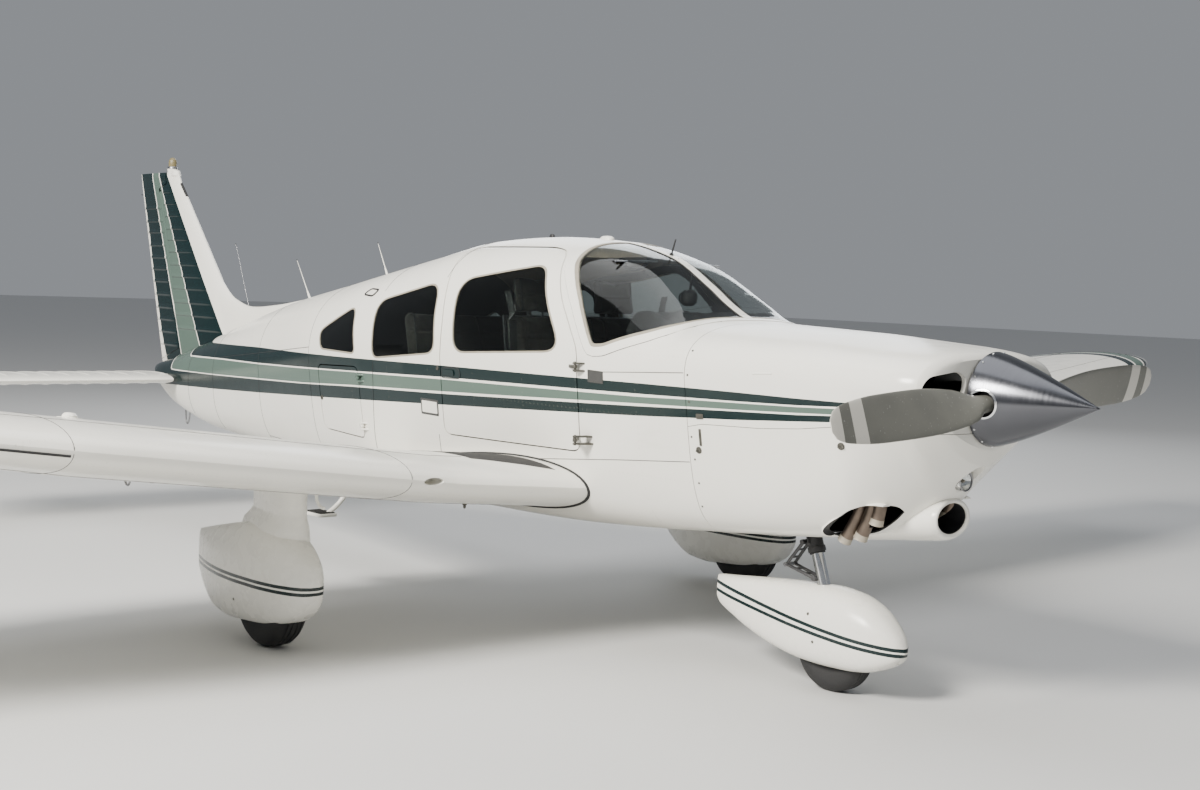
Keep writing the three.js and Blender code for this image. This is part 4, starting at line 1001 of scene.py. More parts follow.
def make_blade_paint():
    finish = Finish("blade_paint", (0.165, 0.165, 0.145), 0.42, Metallic=0.15)
    off = finish.height - THRUST_Z
    radius = (finish.side * finish.side + off * off).math("SQRT")
    finish.tint((0.09, 0.09, 0.085), (finish.noise(7, 5) - 0.45).math("MAXIMUM", 0) * 1.2)
    for low, high in BLADE_BANDS:
        finish.tint((0.62, 0.60, 0.54), (radius > low).both(radius < high))
    chips = finish.noise(120, 4) > 0.69
    finish.tint((0.45, 0.45, 0.44), chips * 0.6)
    finish.bump(finish.noise(90, 4), 0.15, 0.4)
    return finish.material


BLADE_PAINT = make_blade_paint()


# Fuselage
door_outline = rounded(DOOR, 60)
door_pane = rounded(DOOR_PANE, (135, 75, 105, 85))
rear_pane = rounded(REAR_PANE, (75, 115, 85, 60))
quarter_pane = rounded(QUARTER_PANE, (45, 80, 60, 40))
baggage_outline = rounded(BAGGAGE_DOOR, 50)
windscreen_outline = rounded(WINDSCREEN_CUT, 20, 2)
POST_HALF = 22


def windscreen_hole(outline):
    hole = band(outline, 0)
    return carved(hole, cuboid("post", (1500, 2600), (-POST_HALF, POST_HALF), (1000, 2100)))


def make_cabin():
    cabin = painted(body_skin("cabin_skin", BODY, FIREWALL, REAR_BULKHEAD), BODY_PAINT, LINING)
    room = body_skin("room", BODY, FIREWALL + SKIN, REAR_BULKHEAD - SKIN, SKIN, FLOOR_Z)
    carved(cabin, painted(room, LINING))
    carved(cabin, windscreen_hole(windscreen_outline))
    for outline, sides in (
        (door_outline, (-1,)), (door_pane, (1,)), (rear_pane, (1, -1)), (quarter_pane, (1, -1)),
        (baggage_outline, (-1,)),
    ):
        for side in sides:
            carved(cabin, band(outline, side))
    fitted(cabin, "airframe", "skin", "cabin_shell")


def make_tail():
    tail = painted(body_skin("tail_skin", BODY, REAR_BULKHEAD + SEAT_GAP, 7229), TAIL_PAINT, LINING)
    room = painted(body_skin("room", BODY, REAR_BULKHEAD - 5, 6500, 8), LINING)
    carved(tail, room)
    carved(tail, rod("bore", at(6860, -300, 930), at(6860, 300, 930), 24.6))
    fitted(tail, "airframe", "skin", "tail_cone")


def make_panes():
    for name, side in SIDES.items():
        for label, outline in (("rear_window", rear_pane), ("quarter_window", quarter_pane)):
            pane = skin_patch(f"{label}_pane_{name}", inset(outline, SEAT_GAP), side, 2, 7)
            fitted(painted(pane, GLASS), "airframe", "glass", f"{label}_{name}")
    pane = skin_patch("front_window_pane_L", inset(door_pane, SEAT_GAP), 1, 2, 7)
    fitted(painted(pane, GLASS), "airframe", "glass", "front_window_L")
    pane = skin_patch("door_window_pane", inset(door_pane, SEAT_GAP), -1, 2, 7)
    fitted(painted(pane, GLASS), "door", "glass", "door_window")
    both = skin_patch("windscreen_pane", inset(windscreen_outline, SEAT_GAP), 0, 2, 7)
    for name, side in SIDES.items():
        near, far = (POST_HALF + 0.4) * side, 900 * side
        half = twin(both, f"windscreen_pane_{name}")
        room = cuboid("room", (1500, 2600), sorted((near, far)), (1000, 2100))
        carved(half, room, how="INTERSECT")
        fitted(painted(half, CLEAR_GLASS), "airframe", "glass", f"windscreen_{name}")
    bpy.data.objects.remove(both)


def make_door():
    outline = inset(door_outline, MOVE_GAP)
    door = painted(body_skin("door", BODY, 2200, 3380, 0, pitch=40), BODY_PAINT, LINING)
    carved(door, painted(body_skin("room", BODY, 2190, 3390, SKIN, pitch=40), LINING))
    carved(door, band(outline, -1), how="INTERSECT")
    carved(door, band(door_pane, -1))
    door.name = "door_panel"
    fitted(door, "door", "skin", "cabin_door")
    lid = painted(body_skin("baggage_lid", BODY, 3960, 4470, 0, pitch=40), BODY_PAINT, LINING)
    carved(lid, painted(body_skin("room", BODY, 3950, 4480, SKIN, pitch=40), LINING))
    carved(lid, band(inset(baggage_outline, MOVE_GAP), -1), how="INTERSECT")
    fitted(lid, "baggage_lid", "skin", "baggage_door")


make_cabin()
make_tail()
make_panes()
make_door()


# Seals, frames and seams of the cabin
def edge_ring(name, outline, outward, inward, side, proud, depth):
    """A strip along an outline, so far outside it and so far inside it."""
    ring = skin_patch(name, inset(outline, -outward), side, -proud, depth)
    hole = inset(outline, inward)
    return carved(ring, band(hole, side))


def make_window_seals():
    for name, side in SIDES.items():
        for label, outline in (
            ("rear_window", rear_pane),
            ("quarter_window", quarter_pane),
            ("front_window", door_pane),
        ):
            body = "door" if side < 0 and label == "front_window" else "airframe"
            seal = edge_ring(f"{label}_seal_{name}", outline, 1.5, 7, side, 0.9, 7.5)
            fitted(painted(seal, SEALANT), body, "trim")
            lining = skin_patch(
                f"{label}_inner_frame_{name}", inset(outline, -34), side, SKIN - 0.5, SKIN + 5
            )
            carved(lining, band(inset(outline, 4), side))
            fitted(painted(lining, LINING), body, "trim")


def make_windscreen_trim():
    strip = skin_patch("windscreen_strip", inset(windscreen_outline, -38), 0, -2.4, 1.5)
    carved(strip, band(inset(windscreen_outline, 1), 0))
    post = skin_patch("post_strip", windscreen_outline, 0, -3.2, 1.5)
    carved(
        post,
        cuboid("post_room", (1500, 2700), (-POST_HALF - 1, POST_HALF + 1), (1000, 2100)),
        how="INTERSECT",
    )
    carved(strip, post, how="UNION")
    fitted(painted(strip, PAINT), "airframe", "skin")
    seal = edge_ring("windscreen_seal", windscreen_outline, 1, 15, 0, 0.8, 7.6)
    post = skin_patch("seal_post", windscreen_outline, 0, -0.8, 7.6)
    room = cuboid("room", (1500, 2700), (-POST_HALF - 12, POST_HALF + 12), (1000, 2100))
    carved(room, cuboid("core", (1400, 2800), (-POST_HALF - 0.5, POST_HALF + 0.5), (900, 2200)))
    carved(post, room, how="INTERSECT")
    post.name = "windscreen_post_seal"
    fitted(painted(post, RUBBER), "airframe", "trim")
    fitted(painted(seal, SEALANT), "airframe", "trim")
    lower = [
        spot
        for spot in inset(windscreen_outline, -39)
        if spot[1] < 1845 and spot[0] < 2520 and spot[1] < row_at(BODY, spot[0])[1] - 3
    ]
    for name, side in SIDES.items():
        fitted(
            painted(
                thread(f"windscreen_strip_seam_{name}", side_line(lower, side, 0.3), 1.6), RUBBER
            ),
            "airframe",
            "trim",
        )
    edge = inset(windscreen_outline, -19)
    spots = [
        spot
        for spot in split_evenly(edge + edge[:1], 62)
        if spot[1] < 1800 and spot[0] < 2440 and spot[1] < row_at(BODY, spot[0])[1] - 22
    ]
    for name, side in SIDES.items():
        fitted(
            painted(side_screws(f"windscreen_screws_{name}", spots, side, 4.5), STEEL),
            "airframe",
            "bare_metal",
        )
    places = []
    for i in range(11):
        station = 1775 + i * 70
        slope = Vector(
            (row_at(BODY, station + 10)[1] - row_at(BODY, station - 10)[1], 0, 20)
        ).normalized()
        places.append((at(station, 0, row_at(BODY, station)[1] + 3), slope))
    fitted(
        painted(scattered("post_screws", screw_head(4.5), places), STEEL), "airframe", "bare_metal"
    )


SEAM_RADIUS = 1.5
SEAMS = [
    [(2822, 822), (2009, 896), (1604, 928)],
    [(2089, 1271), (1604, 1298)],
    [(3843, 1211), (3862, 1014), (3885, 815), (3890, 640)],
    [(3290, 640), (3285, 890)],
    [(3290, 640), (5300, 690)],
    [(4556, 1250), (5900, 1118)],
]
RING_SEAMS = [(3305, 1650), (3860, 1560), (4558, 600), (5300, 620), (6030, 660), (6460, 720)]


def make_seams():
    for name, side in SIDES.items():
        lines = [thread("line", side_line(spots, side), SEAM_RADIUS) for spots in SEAMS]
        fitted(painted(joined(f"panel_seams_{name}", *lines), RUBBER), "airframe", "trim")
    rings = []
    for station, low in RING_SEAMS:
        whole = body_ring(row_at(BODY, station))
        over = [spot for spot in whole if spot.z > low / 1000]
        port = [spot for spot in over if spot.y >= 0]
        starboard = [spot for spot in over if spot.y < 0]
        rings.append(thread("ring", list(reversed(port)) + list(reversed(starboard)), 1.1))
    fitted(painted(joined("ring_seams", *rings), RUBBER), "airframe", "trim")


# Hinge with a fork on the body and a knuckle on the door, both on tapered arms
KNUCKLE = {"radius": 10, "half": 7, "gap": 5, "fork": 8, "pin": 5.5, "bore": 7.2}


def make_hinge(name, axis_low, axis_high, height, edge, body):
    share = (height - axis_low[2]) / (axis_high[2] - axis_low[2])
    station, y = (a + (b - a) * share for a, b in zip(axis_low[:2], axis_high[:2]))
    along = (at(*axis_high) - at(*axis_low)).normalized()
    centre = at(station, y, height)
    spot = lambda d: centre + along * (d / 1000)
    half, tall = KNUCKLE["half"], KNUCKLE["half"] + KNUCKLE["gap"]
    end = tall + KNUCKLE["fork"]
    skin = lambda where: -(skin_side(where, height) - 4)
    front = [
        (station - 42, skin(station - 42)), (station - 4, skin(station - 4)), (station + 7, y + 4),
        (station + 4, y - 8), (station - 8, y - 8)
    ]
    back = [
        (edge + 8, skin(edge + 8)), (edge + 44, skin(edge + 44)), (station + 6, y - 8),
        (station - 4, y - 8), (station - 6, y + 5)
    ]
    fixed = [rod("pin", spot(-end - 3), spot(end + 3), KNUCKLE["pin"], sides=16, bevel=1)]
    for low, high in ((-end, -tall), (tall, end)):
        eye = rod("eye", spot(low), spot(high), KNUCKLE["radius"], sides=24, bevel=1.2)
        fixed.append(
            carved(eye, top_plate("arm", front, (height + low, height + high), 1.5), how="UNION")
        )
    eye = rod("eye", spot(-half), spot(half), KNUCKLE["radius"], sides=24, bevel=1.2)
    moving = carved(eye, top_plate("arm", back, (height - half, height + half), 1.5), how="UNION")
    carved(moving, rod("bore", spot(-half - 5), spot(half + 5), KNUCKLE["bore"], sides=24))
    finish = FITTING if body == "door" else BODY_PAINT
    fitted(painted(joined(f"{name}_fork", *fixed), finish), "airframe", "steel")
    moving.name = f"{name}_knuckle"
    fitted(painted(moving, finish), body, "steel")


DOOR_AXIS = ((2203, -578, 966), (2221, -578, 1285))


def make_hinges():
    for label, height in (("low", 966), ("high", 1285)):
        make_hinge(f"door_hinge_{label}", *DOOR_AXIS, height, 2250, "door")
    front = BAGGAGE_DOOR[0][0] - 4
    low, high = ((front, -skin_side(front, z) - 14, z) for z in (850, 1140))
    for label, height in (("low", 870), ("high", 1120)):
        make_hinge(f"baggage_hinge_{label}", low, high, height, BAGGAGE_DOOR[1][0], "baggage_lid")


# Handles, plates and small openings in the side
HANDLE = rounded([[3074, 1176], [3080, 1226], [3220, 1222], [3228, 1178], [3214, 1172]], 24)
BORDER_PLATE = [[3273, 979], [3273, 1058], [3421, 1060], [3421, 981]]
DARK_PLATE = [[2072, 1220], [2069, 1274], [2164, 1277], [2168, 1222]]
AIR_SLOT = rounded([[4086, 1550], [4043, 1581], [3941, 1579], [3968, 1544]], 22)


def surface_loop(name, outline, side, radius, out=0):
    spots = [on_side(*spot, side, out) for spot in split_evenly(outline + outline[:1], 30)[:-1]]
    return tube(name, spots, radius, 8, steps=2, looped=True)


def make_side_fittings():
    handle = skin_patch("door_handle", HANDLE, -1, -2.2, 4, pitch=20)
    paddle = skin_patch(
        "paddle", rounded([[3120, 1186], [3124, 1214], [3210, 1212], [3212, 1186]], 12), -1, -7, 4,
        pitch=20
    )
    carved(handle, paddle, how="UNION")
    fitted(painted(handle, BODY_PAINT), "door", "skin")
    fitted(painted(surface_loop("door_handle_ring", HANDLE, -1, 2.2, 1), RUBBER), "door", "trim")
    lock = rod(
        "lock", on_side(3258, 1215, -1, -3), on_side(3258, 1215, -1, 3), 10, sides=24, bevel=1
    )
    lock_slot = cuboid(
        "lock_slot", (3256.8, 3259.2), (-900, -skin_side(3258, 1215) - 2), (1209, 1221)
    )
    fitted(painted(carved(lock, lock_slot), FITTING), "airframe", "steel")
    latch = rod(
        "lock", on_side(4424, 985, -1, -3), on_side(4424, 985, -1, 3.5), 12, sides=24, bevel=1
    )
    latch_slot = cuboid(
        "latch_slot", (4422.6, 4425.4), (-900, -skin_side(4424, 985) - 2), (977, 993)
    )
    latch = carved(latch, latch_slot)
    latch.name = "baggage_lock"
    fitted(painted(latch, FITTING), "baggage_lid", "steel")
    border = skin_patch("side_plate_border", rounded(BORDER_PLATE, 8), -1, -0.8, 3)
    face = skin_patch("face", rounded(inset(BORDER_PLATE, 11), 6), -1, -1.5, 3)
    fitted(painted(border, GREY_PLATE), "airframe", "trim")
    face.name = "side_plate_face"
    fitted(painted(face, PAINT), "airframe", "trim")
    dark = skin_patch("dark_plate", rounded(DARK_PLATE, 5), -1, -1.4, 3)
    fitted(painted(dark, GREY_PLATE), "airframe", "trim")
    rim = surface_loop("dark_plate_rim", inset(DARK_PLATE, 4), -1, 0.9, 1.4)
    fitted(painted(rim, FITTING), "airframe", "trim")
    for name, side in SIDES.items():
        slot = surface_loop(f"air_slot_rim_{name}", AIR_SLOT, side, 5, 1)
        fitted(painted(slot, RUBBER), "airframe", "trim")
        floor = skin_patch(f"air_slot_floor_{name}", inset(AIR_SLOT, 3), side, -1.2, 3)
        fitted(painted(floor, PAINT), "airframe", "trim")


make_window_seals()
make_windscreen_trim()
make_seams()
make_hinges()
make_side_fittings()


# Cowling
def oval(station, side, half, low, high, count=36):
    angles = [math.tau * i / count for i in range(count)]
    middle, tall = (low + high) / 2, (high - low) / 2
    return [at(station, side + half * math.cos(a), middle + tall * math.sin(a)) for a in angles]


def smooth_rows(table, pitch):
    return [
        row_at(table, station)
        for station in stations_between(table[0][0], table[-1][0], pitch, table)
    ]


def oval_skin(name, table, side, pitch=16):
    return skin_through(name, [oval(row[0], side, *row[1:4]) for row in smooth_rows(table, pitch)])


COWL_END = 1597


def make_cowl_joint():
    joint = body_skin("cowl_joint", COWL, COWL_END - 2, FIREWALL - SEAT_GAP, 2.6, pitch=10)
    carved(joint, body_skin("room", COWL, COWL_END - 3, FIREWALL, 60, pitch=10))
    fitted(painted(joint, RUBBER), "airframe", "trim")


make_cowl_joint()


def beside_split(above):
    """All the room above or below the joint between the cowls."""
    edge = [(station, height + (1.1 if above else -1.1)) for station, height in COWL_SPLIT]
    far = 1800 if above else 400
    return side_plate(
        "room",
        edge + [(1700, edge[-1][1]), (1700, far), (400, far), (400, edge[0][1])],
        (-700, 700),
    )


def make_cowls():
    outer = body_skin("cowl", COWL, 458, COWL_END, pitch=28)
    painted(outer, COWL_PAINT, TRIM)
    hollow = painted(body_skin("hollow", COWL, 476, FIREWALL, COWL_WALL, pitch=28), TRIM)
    shell = carved(outer, twin(hollow, "hollow_copy"))
    carved(shell, rod("shaft_hole", at(440, 0, THRUST_Z), at(520, 0, THRUST_Z), 95, sides=48))
    for side in SIDES.values():
        mouth = rounded([[y * side, z] for y, z in INLET], 40)
        carved(shell, front_plate("mouth", mouth, (440, 520)))
    upper = twin(shell, "upper_cowl_skin")
    carved(upper, beside_split(True), how="INTERSECT")
    fitted(upper, "airframe", "moulding", "upper_cowl")
    lower = shell
    carved(lower, beside_split(False), how="INTERSECT")
    extras = [oval_skin("scoop", SCOOP, 0)]
    extras += [oval_skin("cheek", CHEEK, side * CHEEK_SIDE) for side in SIDES.values()]
    for extra in extras:
        painted(extra, COWL_PAINT)
        carved(extra, twin(hollow, "hollow_copy"))
        carved(lower, extra, how="UNION")
    mouth = [
        oval(station, 0, *(SCOOP_MOUTH[key] for key in ("half", "low", "high")))
        for station in (600, 760)
    ]
    carved(lower, painted(skin_through("mouth", mouth), TRIM))
    carved(lower, lamp_slot(LAMP["radius"]))
    carved(lower, painted(cuboid("leg_hole", (1180, 1420), (-60, 60), (560, 760), 18, 4), TRIM))
    for side in SIDES.values():
        sides = sorted(side * y for y in OUTLET_SIDES)
        carved(lower, painted(side_plate("outlet", rounded(OUTLET, 16, 3), sides), TRIM))
    bpy.data.objects.remove(hollow)
    lower.name = "lower_cowl_skin"
    fitted(lower, "airframe", "moulding", "lower_cowl")
    rim = oval(621, 0, SCOOP_MOUTH["half"] + 7, SCOOP_MOUTH["low"] - 7, SCOOP_MOUTH["high"] + 7)
    fitted(
        painted(tube("scoop_lip", rim, 9, 12, steps=2, looped=True), PAINT), "airframe", "moulding"
    )


# Landing lamp, sunk in a long hole in the sloping chin
def lamp_slot(radius, stations=(430, 660)):
    rings = []
    low, high = LAMP["z"], LAMP["z"] + 26
    for station in stations:
        ring = []
        for i in range(40):
            turn = math.tau * i / 40
            middle = high if math.sin(turn) > 0 else low
            ring.append(at(station, radius * math.cos(turn), middle + radius * math.sin(turn)))
        rings.append(ring)
    return skin_through("lamp_slot", rings)


def make_lamp():
    radius, middle = LAMP["radius"], LAMP["z"] + 2
    wall = lamp_slot(radius - SEAT_GAP, (440, 600))
    carved(wall, lamp_slot(radius - 2.5, (430, 592)))
    carved(wall, body_skin("room", COWL, 470, 700, 2, pitch=20), how="INTERSECT")
    centre = at(592, 0, middle)
    bowl = [(0, 3), (12, 4), (24, 9), (33, 18), (37, 27), (40, 27), (40, 0), (0, 0)]
    reflector = painted(turned("reflector", bowl, centre, (1, 0, 0), 48), CHROME)
    lens = [(0, 31), (14, 33), (28, 31), (36, 28), (36, 25), (28, 27), (14, 29), (0, 28)]
    lens = painted(turned("lens", lens, centre, (1, 0, 0), 48), LAMP_GLASS)
    bulb = [(0, 4), (6, 5), (8, 12), (6, 19), (0, 22)]
    bulb = painted(turned("bulb", bulb, centre, (1, 0, 0), 24), PALE_METAL)
    ring = [(35.5, 24), (39.5, 26), (41, 30), (39.5, 33), (35.5, 31)]
    ring = painted(turned("ring", ring, centre, (1, 0, 0), 48, loop=True), STEEL)
    lamp = joined("landing_lamp_set", painted(wall, PAINT), reflector, lens, bulb, ring)
    fitted(lamp, "airframe", "bare_metal", "landing_lamp")


# Exhaust: a log under each bank of cylinders, two risers and three open stubs
EXHAUST = {"side": 222, "z": 884, "log": 28, "riser": 22, "stub": 26, "wall": 2.6}
STUBS = [(790, 812, 756), (826, 886, 690), (880, 966, 670)]


def make_exhaust(name, side):
    y, high = side * EXHAUST["side"], EXHAUST["z"]
    log = rod("log", at(766, y, high), at(915, y, high), EXHAUST["log"], sides=32, bevel=8)
    tools = [
        rod(
            "riser", at(station, y, high), at(station, y, 980 - SEAT_GAP), EXHAUST["riser"],
            sides=24
        )
        for station in (800, 880)
    ]
    ends, bores = [], []
    for start, end, low in STUBS:
        path = [
            at(start, y, high),
            at(start + (end - start) * 0.22, y, high + (low - high) * 0.45),
            at(end, y, low),
        ]
        tools.append(tube("stub", path, EXHAUST["stub"], 28, steps=7))
        tip = (path[2] - path[1]).normalized()
        flare = [
            (EXHAUST["stub"] - 1, -26), (EXHAUST["stub"] + 1.2, -24), (EXHAUST["stub"] + 1.6, -4),
            (EXHAUST["stub"] + 3.4, 0), (EXHAUST["stub"] + 1, 1), (EXHAUST["stub"] - 3, -8)
        ]
        ends.append(turned("flare", flare, path[2], tip, 32, loop=True))
        bores.append(
            tube(
                "bore",
                [
                    path[1] + (path[2] - path[1]) * 0.1,
                    path[1] + (path[2] - path[1]) * 0.6,
                    path[2] + tip * 0.02,
                ],
                EXHAUST["stub"] - EXHAUST["wall"],
                28,
                steps=4,
            )
        )
    pipes = carved(painted(log, BURNT), *tools, how="UNION")
    carved(pipes, *[painted(bore, TRIM) for bore in bores])
    clamps = []
    for station in (778, 843, 903):
        band_profile = [
            (EXHAUST["log"] - 1, -7), (EXHAUST["log"] + 3, -7), (EXHAUST["log"] + 3, 7),
            (EXHAUST["log"] - 1, 7)
        ]
        clamps.append(turned("clamp", band_profile, at(station, y, high), (1, 0, 0), 32, loop=True))
    for end in ends:
        painted(end, PALE_METAL)
    for clamp in clamps:
        painted(clamp, STEEL)
    fitted(
        joined(f"exhaust_pipes_{name}", pipes, *ends, *clamps), "airframe", "steel",
        f"exhaust_{name}"
    )


# Flat six engine: crankcase, finned cylinders, covers, sump, starter ring and mount
CYLINDER_STATIONS = (900, 1050, 1200)
FINS = 15


def make_cylinder(station, side):
    fins = [(0, 120)]
    for i in range(FINS):
        start = 132 + i * 11.5
        reach = 74 if i < 9 else 86
        fins += [(60, start), (reach, start + 1), (reach, start + 4), (60, start + 5)]
    last = 132 + FINS * 11.5
    fins += [(66, last), (66, last + 14), (0, last + 14)]
    barrel = turned("barrel", fins, at(station, 0, 1215), (0, side, 0), 24)
    near = last + 10
    cover = cuboid(
        "cover", (station - 52, station + 52), sorted((side * near, side * (near + 38))),
        (1150, 1280), 12, 3
    )
    tubes = []
    for shift in (-24, 24):
        tubes.append(
            rod(
                "pushrod_tube", at(station + shift, side * 110, 1120),
                at(station + shift, side * near, 1168), 9, sides=12
            )
        )
    plug = rod(
        "plug", at(station - 30, side * (near - 26), 1285),
        at(station - 30, side * (near - 26), 1330), 9, sides=6
    )
    return joined("cylinder", barrel, cover, *tubes, plug)


def make_engine():
    case = cuboid("case", (770, 1290), (-122, 122), (1062, 1330), 26, 3)
    nose = rod("nose", at(775, 0, THRUST_Z), at(668, 0, THRUST_Z), 92, 66, sides=40, bevel=4)
    crank = rod(
        "crank", at(700, 0, THRUST_Z), at(454 + SEAT_GAP, 0, THRUST_Z), 60, sides=48, bevel=3
    )
    sump = cuboid("sump", (800, 1180), (-150, 150), (890, 1075), 34, 3)
    back = cuboid("accessories", (1285, 1360), (-100, 100), (1080, 1300), 14, 2)
    carved(case, nose, crank, sump, back, how="UNION")
    bolts = []
    for side in (-1, 1):
        for station in range(800, 1280, 60):
            bolts.append(
                rod("bolt", at(station, side * 60, 1325), at(station, side * 60, 1342), 8, sides=6)
            )
    ring_gear = turned(
        "ring_gear", [(118, -6), (150, -6), (150, 6), (118, 6)], at(640, 0, THRUST_Z), (1, 0, 0),
        72, loop=True
    )
    disc = rod("disc", at(637, 0, THRUST_Z), at(644, 0, THRUST_Z), 120, sides=48)
    belt = [(136, -15), (142, -15), (142, -7), (136, -7)]
    belt = turned("belt", belt, at(640, 0, THRUST_Z), (1, 0, 0), 64, loop=True)
    alternator = rod("alternator", at(655, -180, 1120), at(760, -180, 1120), 55, sides=32, bevel=5)
    starter = rod("starter", at(655, 165, 1120), at(800, 165, 1120), 42, sides=32, bevel=5)
    cylinders = [make_cylinder(station, side) for side in (-1, 1) for station in CYLINDER_STATIONS]
    baffles = []
    for station, foot, head, top in ((820, 410, 395, 1388), (1290, 420, 400, 1405)):
        corners = [(-foot, 1160), (foot, 1160), (head, top), (-head, top)]
        edges = [at(station, *corner) for corner in corners]
        baffles.append(plate("baffle", edges, (-0.003, 0, 0)))
    mounts = []
    for side in (-1, 1):
        for low, high in ((1010, 1010), (1260, 1260), (1010, 1260), (1260, 1010)):
            mounts.append(
                rod(
                    "mount", at(1262, side * 250, low), at(FIREWALL - SEAT_GAP, side * 300, high),
                    11, sides=16
                )
            )
        for z in (1010, 1260):
            ends = at(1240, side * 250, z), at(1290, side * 250, z)
            mounts.append(rod("lug", *ends, 28, sides=24, bevel=3))
        for inner, outer in ((1080, 1010), (1240, 1260)):
            ends = at(1230, side * 100, inner), at(1262, side * 250, outer)
            mounts.append(rod("arm", *ends, 16, sides=16))
    dark = [case, alternator, *cylinders]
    bright = [*bolts, ring_gear, disc, starter]
    coats = ((dark, ENGINE), (bright, STEEL), ((belt, *mounts), TRIM), (baffles, ALUMINIUM))
    for pieces, material in coats:
        for piece in pieces:
            painted(piece, material)
    fitted(
        joined("flat_six_engine", *dark, *bright, belt, *mounts, *baffles), "airframe", "engine",
        "engine"
    )


# Fasteners and small things on the cowls
COWL_SCREWS = [
    (1581, 1035), (1573, 942), (1568, 843), (1581, 742), (1581, 1180), (1581, 1290), (1581, 1390)
]
LATCHES = [(1546, 983), (831, 1067)]
GREY_BOX = [[1508, 1114], [1508, 1136], [1547, 1134], [1547, 1112]]


def make_latch(station, height, side):
    """A quarter-turn fastener: a cup with a folded wing across it."""
    spot, normal = on_side(station, height, side), side_normal(station, height, side)
    cup = rod("cup", spot - normal * 0.003, spot + normal * 0.002, 15, sides=28, bevel=1)
    wing = tube(
        "wing",
        [
            spot + normal * 0.003 + Vector(d) / 1000
            for d in ((-14, 0, -5), (-6, 0, 2), (4, 0, 3), (13, 0, -4))
        ],
        3.2,
        8,
    )
    return joined("latch", cup, wing)


def make_cowl_fittings():
    for name, side in SIDES.items():
        screws = side_screws(f"cowl_screws_{name}", COWL_SCREWS, side, 6)
        fitted(painted(screws, FITTING), "airframe", "steel")
        latches = [make_latch(*spot, side) for spot in LATCHES]
        fitted(painted(joined(f"cowl_latches_{name}", *latches), FITTING), "airframe", "steel")
        clasp = skin_patch(
            "clasp", rounded([[1526, 1002], [1526, 1072], [1538, 1072], [1538, 1002]], 4), side, -3,
            2, table=COWL, pitch=12
        )
        hood = skin_patch("hood", rounded(GREY_BOX, 5), side, -2.5, 2, table=COWL, pitch=12)
        fitted(painted(joined(f"cowl_clasp_{name}", clasp, hood), FITTING), "airframe", "steel")
        rib = tube(
            f"cowl_rib_{name}",
            [on_side(s, z, side, -3, COWL) for s, z in ((1238, 1318), (1190, 1321), (1142, 1324))],
            6, 12
        )
        fitted(painted(rib, PAINT), "airframe", "moulding")


make_cowls()
make_lamp()
for exhaust_name, exhaust_side in SIDES.items():
    make_exhaust(exhaust_name, exhaust_side)
make_engine()
make_cowl_fittings()


# Wings. A hinged surface has a round nose about its hinge line.
WING_CAMBER = 0.005
DIHEDRAL_SLOPE = 0.1195
WING_ROOT = {"side": 560, "z": 722, "incidence": 2.8}
TIP_WASHOUT = 2.5
WASHOUT_FROM, WASHOUT_SPAN = 2697, 2638
# Inboard of the crank, the wing's chord grows and its axis rises less.
CRANK_SIDE, CRANK_LIFT = 1080, 0.0557
CONTROL_SHARE = 0.79
FLAP = {"inner": 700, "outer": 2690}
AILERON = {"inner": 2718, "outer": 4800}


def half_thickness(share, thick):
    bulge = 0.2969 * math.sqrt(share) - 0.126 * share - 0.3516 * share**2
    return 5 * thick * (bulge + 0.2843 * share**3 - 0.1 * share**4)


def camber_at(share, camber):
    return 4 * camber * share * (1 - share)


def airfoil(thick, camber=0, steps=26):
    shares = [(1 - math.cos(i / steps * math.pi)) / 2 for i in range(steps + 1)]
    over = [(share, camber_at(share, camber) + half_thickness(share, thick)) for share in shares]
    under = [
        (share, camber_at(share, camber) - half_thickness(share, thick)) for share in shares[:0:-1]
    ]
    return over + under


def wing_point(row, share, height):
    y, edge, chord, _, sink = row
    washout = TIP_WASHOUT * max(0, (y - WASHOUT_FROM) / WASHOUT_SPAN)
    angle = math.radians(WING_ROOT["incidence"] - washout)
    lift = (CRANK_SIDE - y) * CRANK_LIFT if y < CRANK_SIDE else -sink
    along, up = share * chord, height * chord
    return (
        edge + along * math.cos(angle) + up * math.sin(angle),
        y,
        WING_ROOT["z"] + DIHEDRAL_SLOPE * (y - WING_ROOT["side"]) + lift
        - along * math.sin(angle) + up * math.cos(angle),
    )


# Stiffening beads are pressed into the moving surfaces and the tail.
# Each is half a wave high, with soft ends.
BEAD_HALF, BEAD_RISE, BEAD_END = 11, 4.6, 30
WING_BEAD_PITCH = 118
BEADED_SHARES = (0.825, 0.85, 0.955, 0.975)


def bead_rise(value, centres):
    off = min(abs(value - centre) for centre in centres)
    return BEAD_RISE * math.cos(off / BEAD_HALF * math.pi / 2) if off < BEAD_HALF else 0


def soft_step(value, start, end):
    share = min(max((value - start) / (end - start), 0), 1)
    return share * share * (3 - 2 * share)


def wing_bead(side, share, chord):
    """How much a bead lifts the wing's surface here, as a share of the chord."""
    centre = (side // WING_BEAD_PITCH + 0.5) * WING_BEAD_PITCH
    start, full, fade, end = BEADED_SHARES
    return bead_rise(side, (centre,)) * soft_step(share, start, full) * soft_step(
        -share, -end, -fade
    ) / chord


def wing_skin(name, table, pitch, smooth=False, beaded=False):
    rings = []
    for side in stations_between(table[0][0], table[-1][0], pitch, table):
        row = row_at(table, side, smooth)
        ring = []
        for share, up in airfoil(row[3], WING_CAMBER, steps=34 if beaded else 26):
            if beaded:
                up += math.copysign(wing_bead(side, share, row[2]), up)
            ring.append(at(*wing_point(row, share, up)))
        rings.append(ring)
    return skin_through(name, rings)


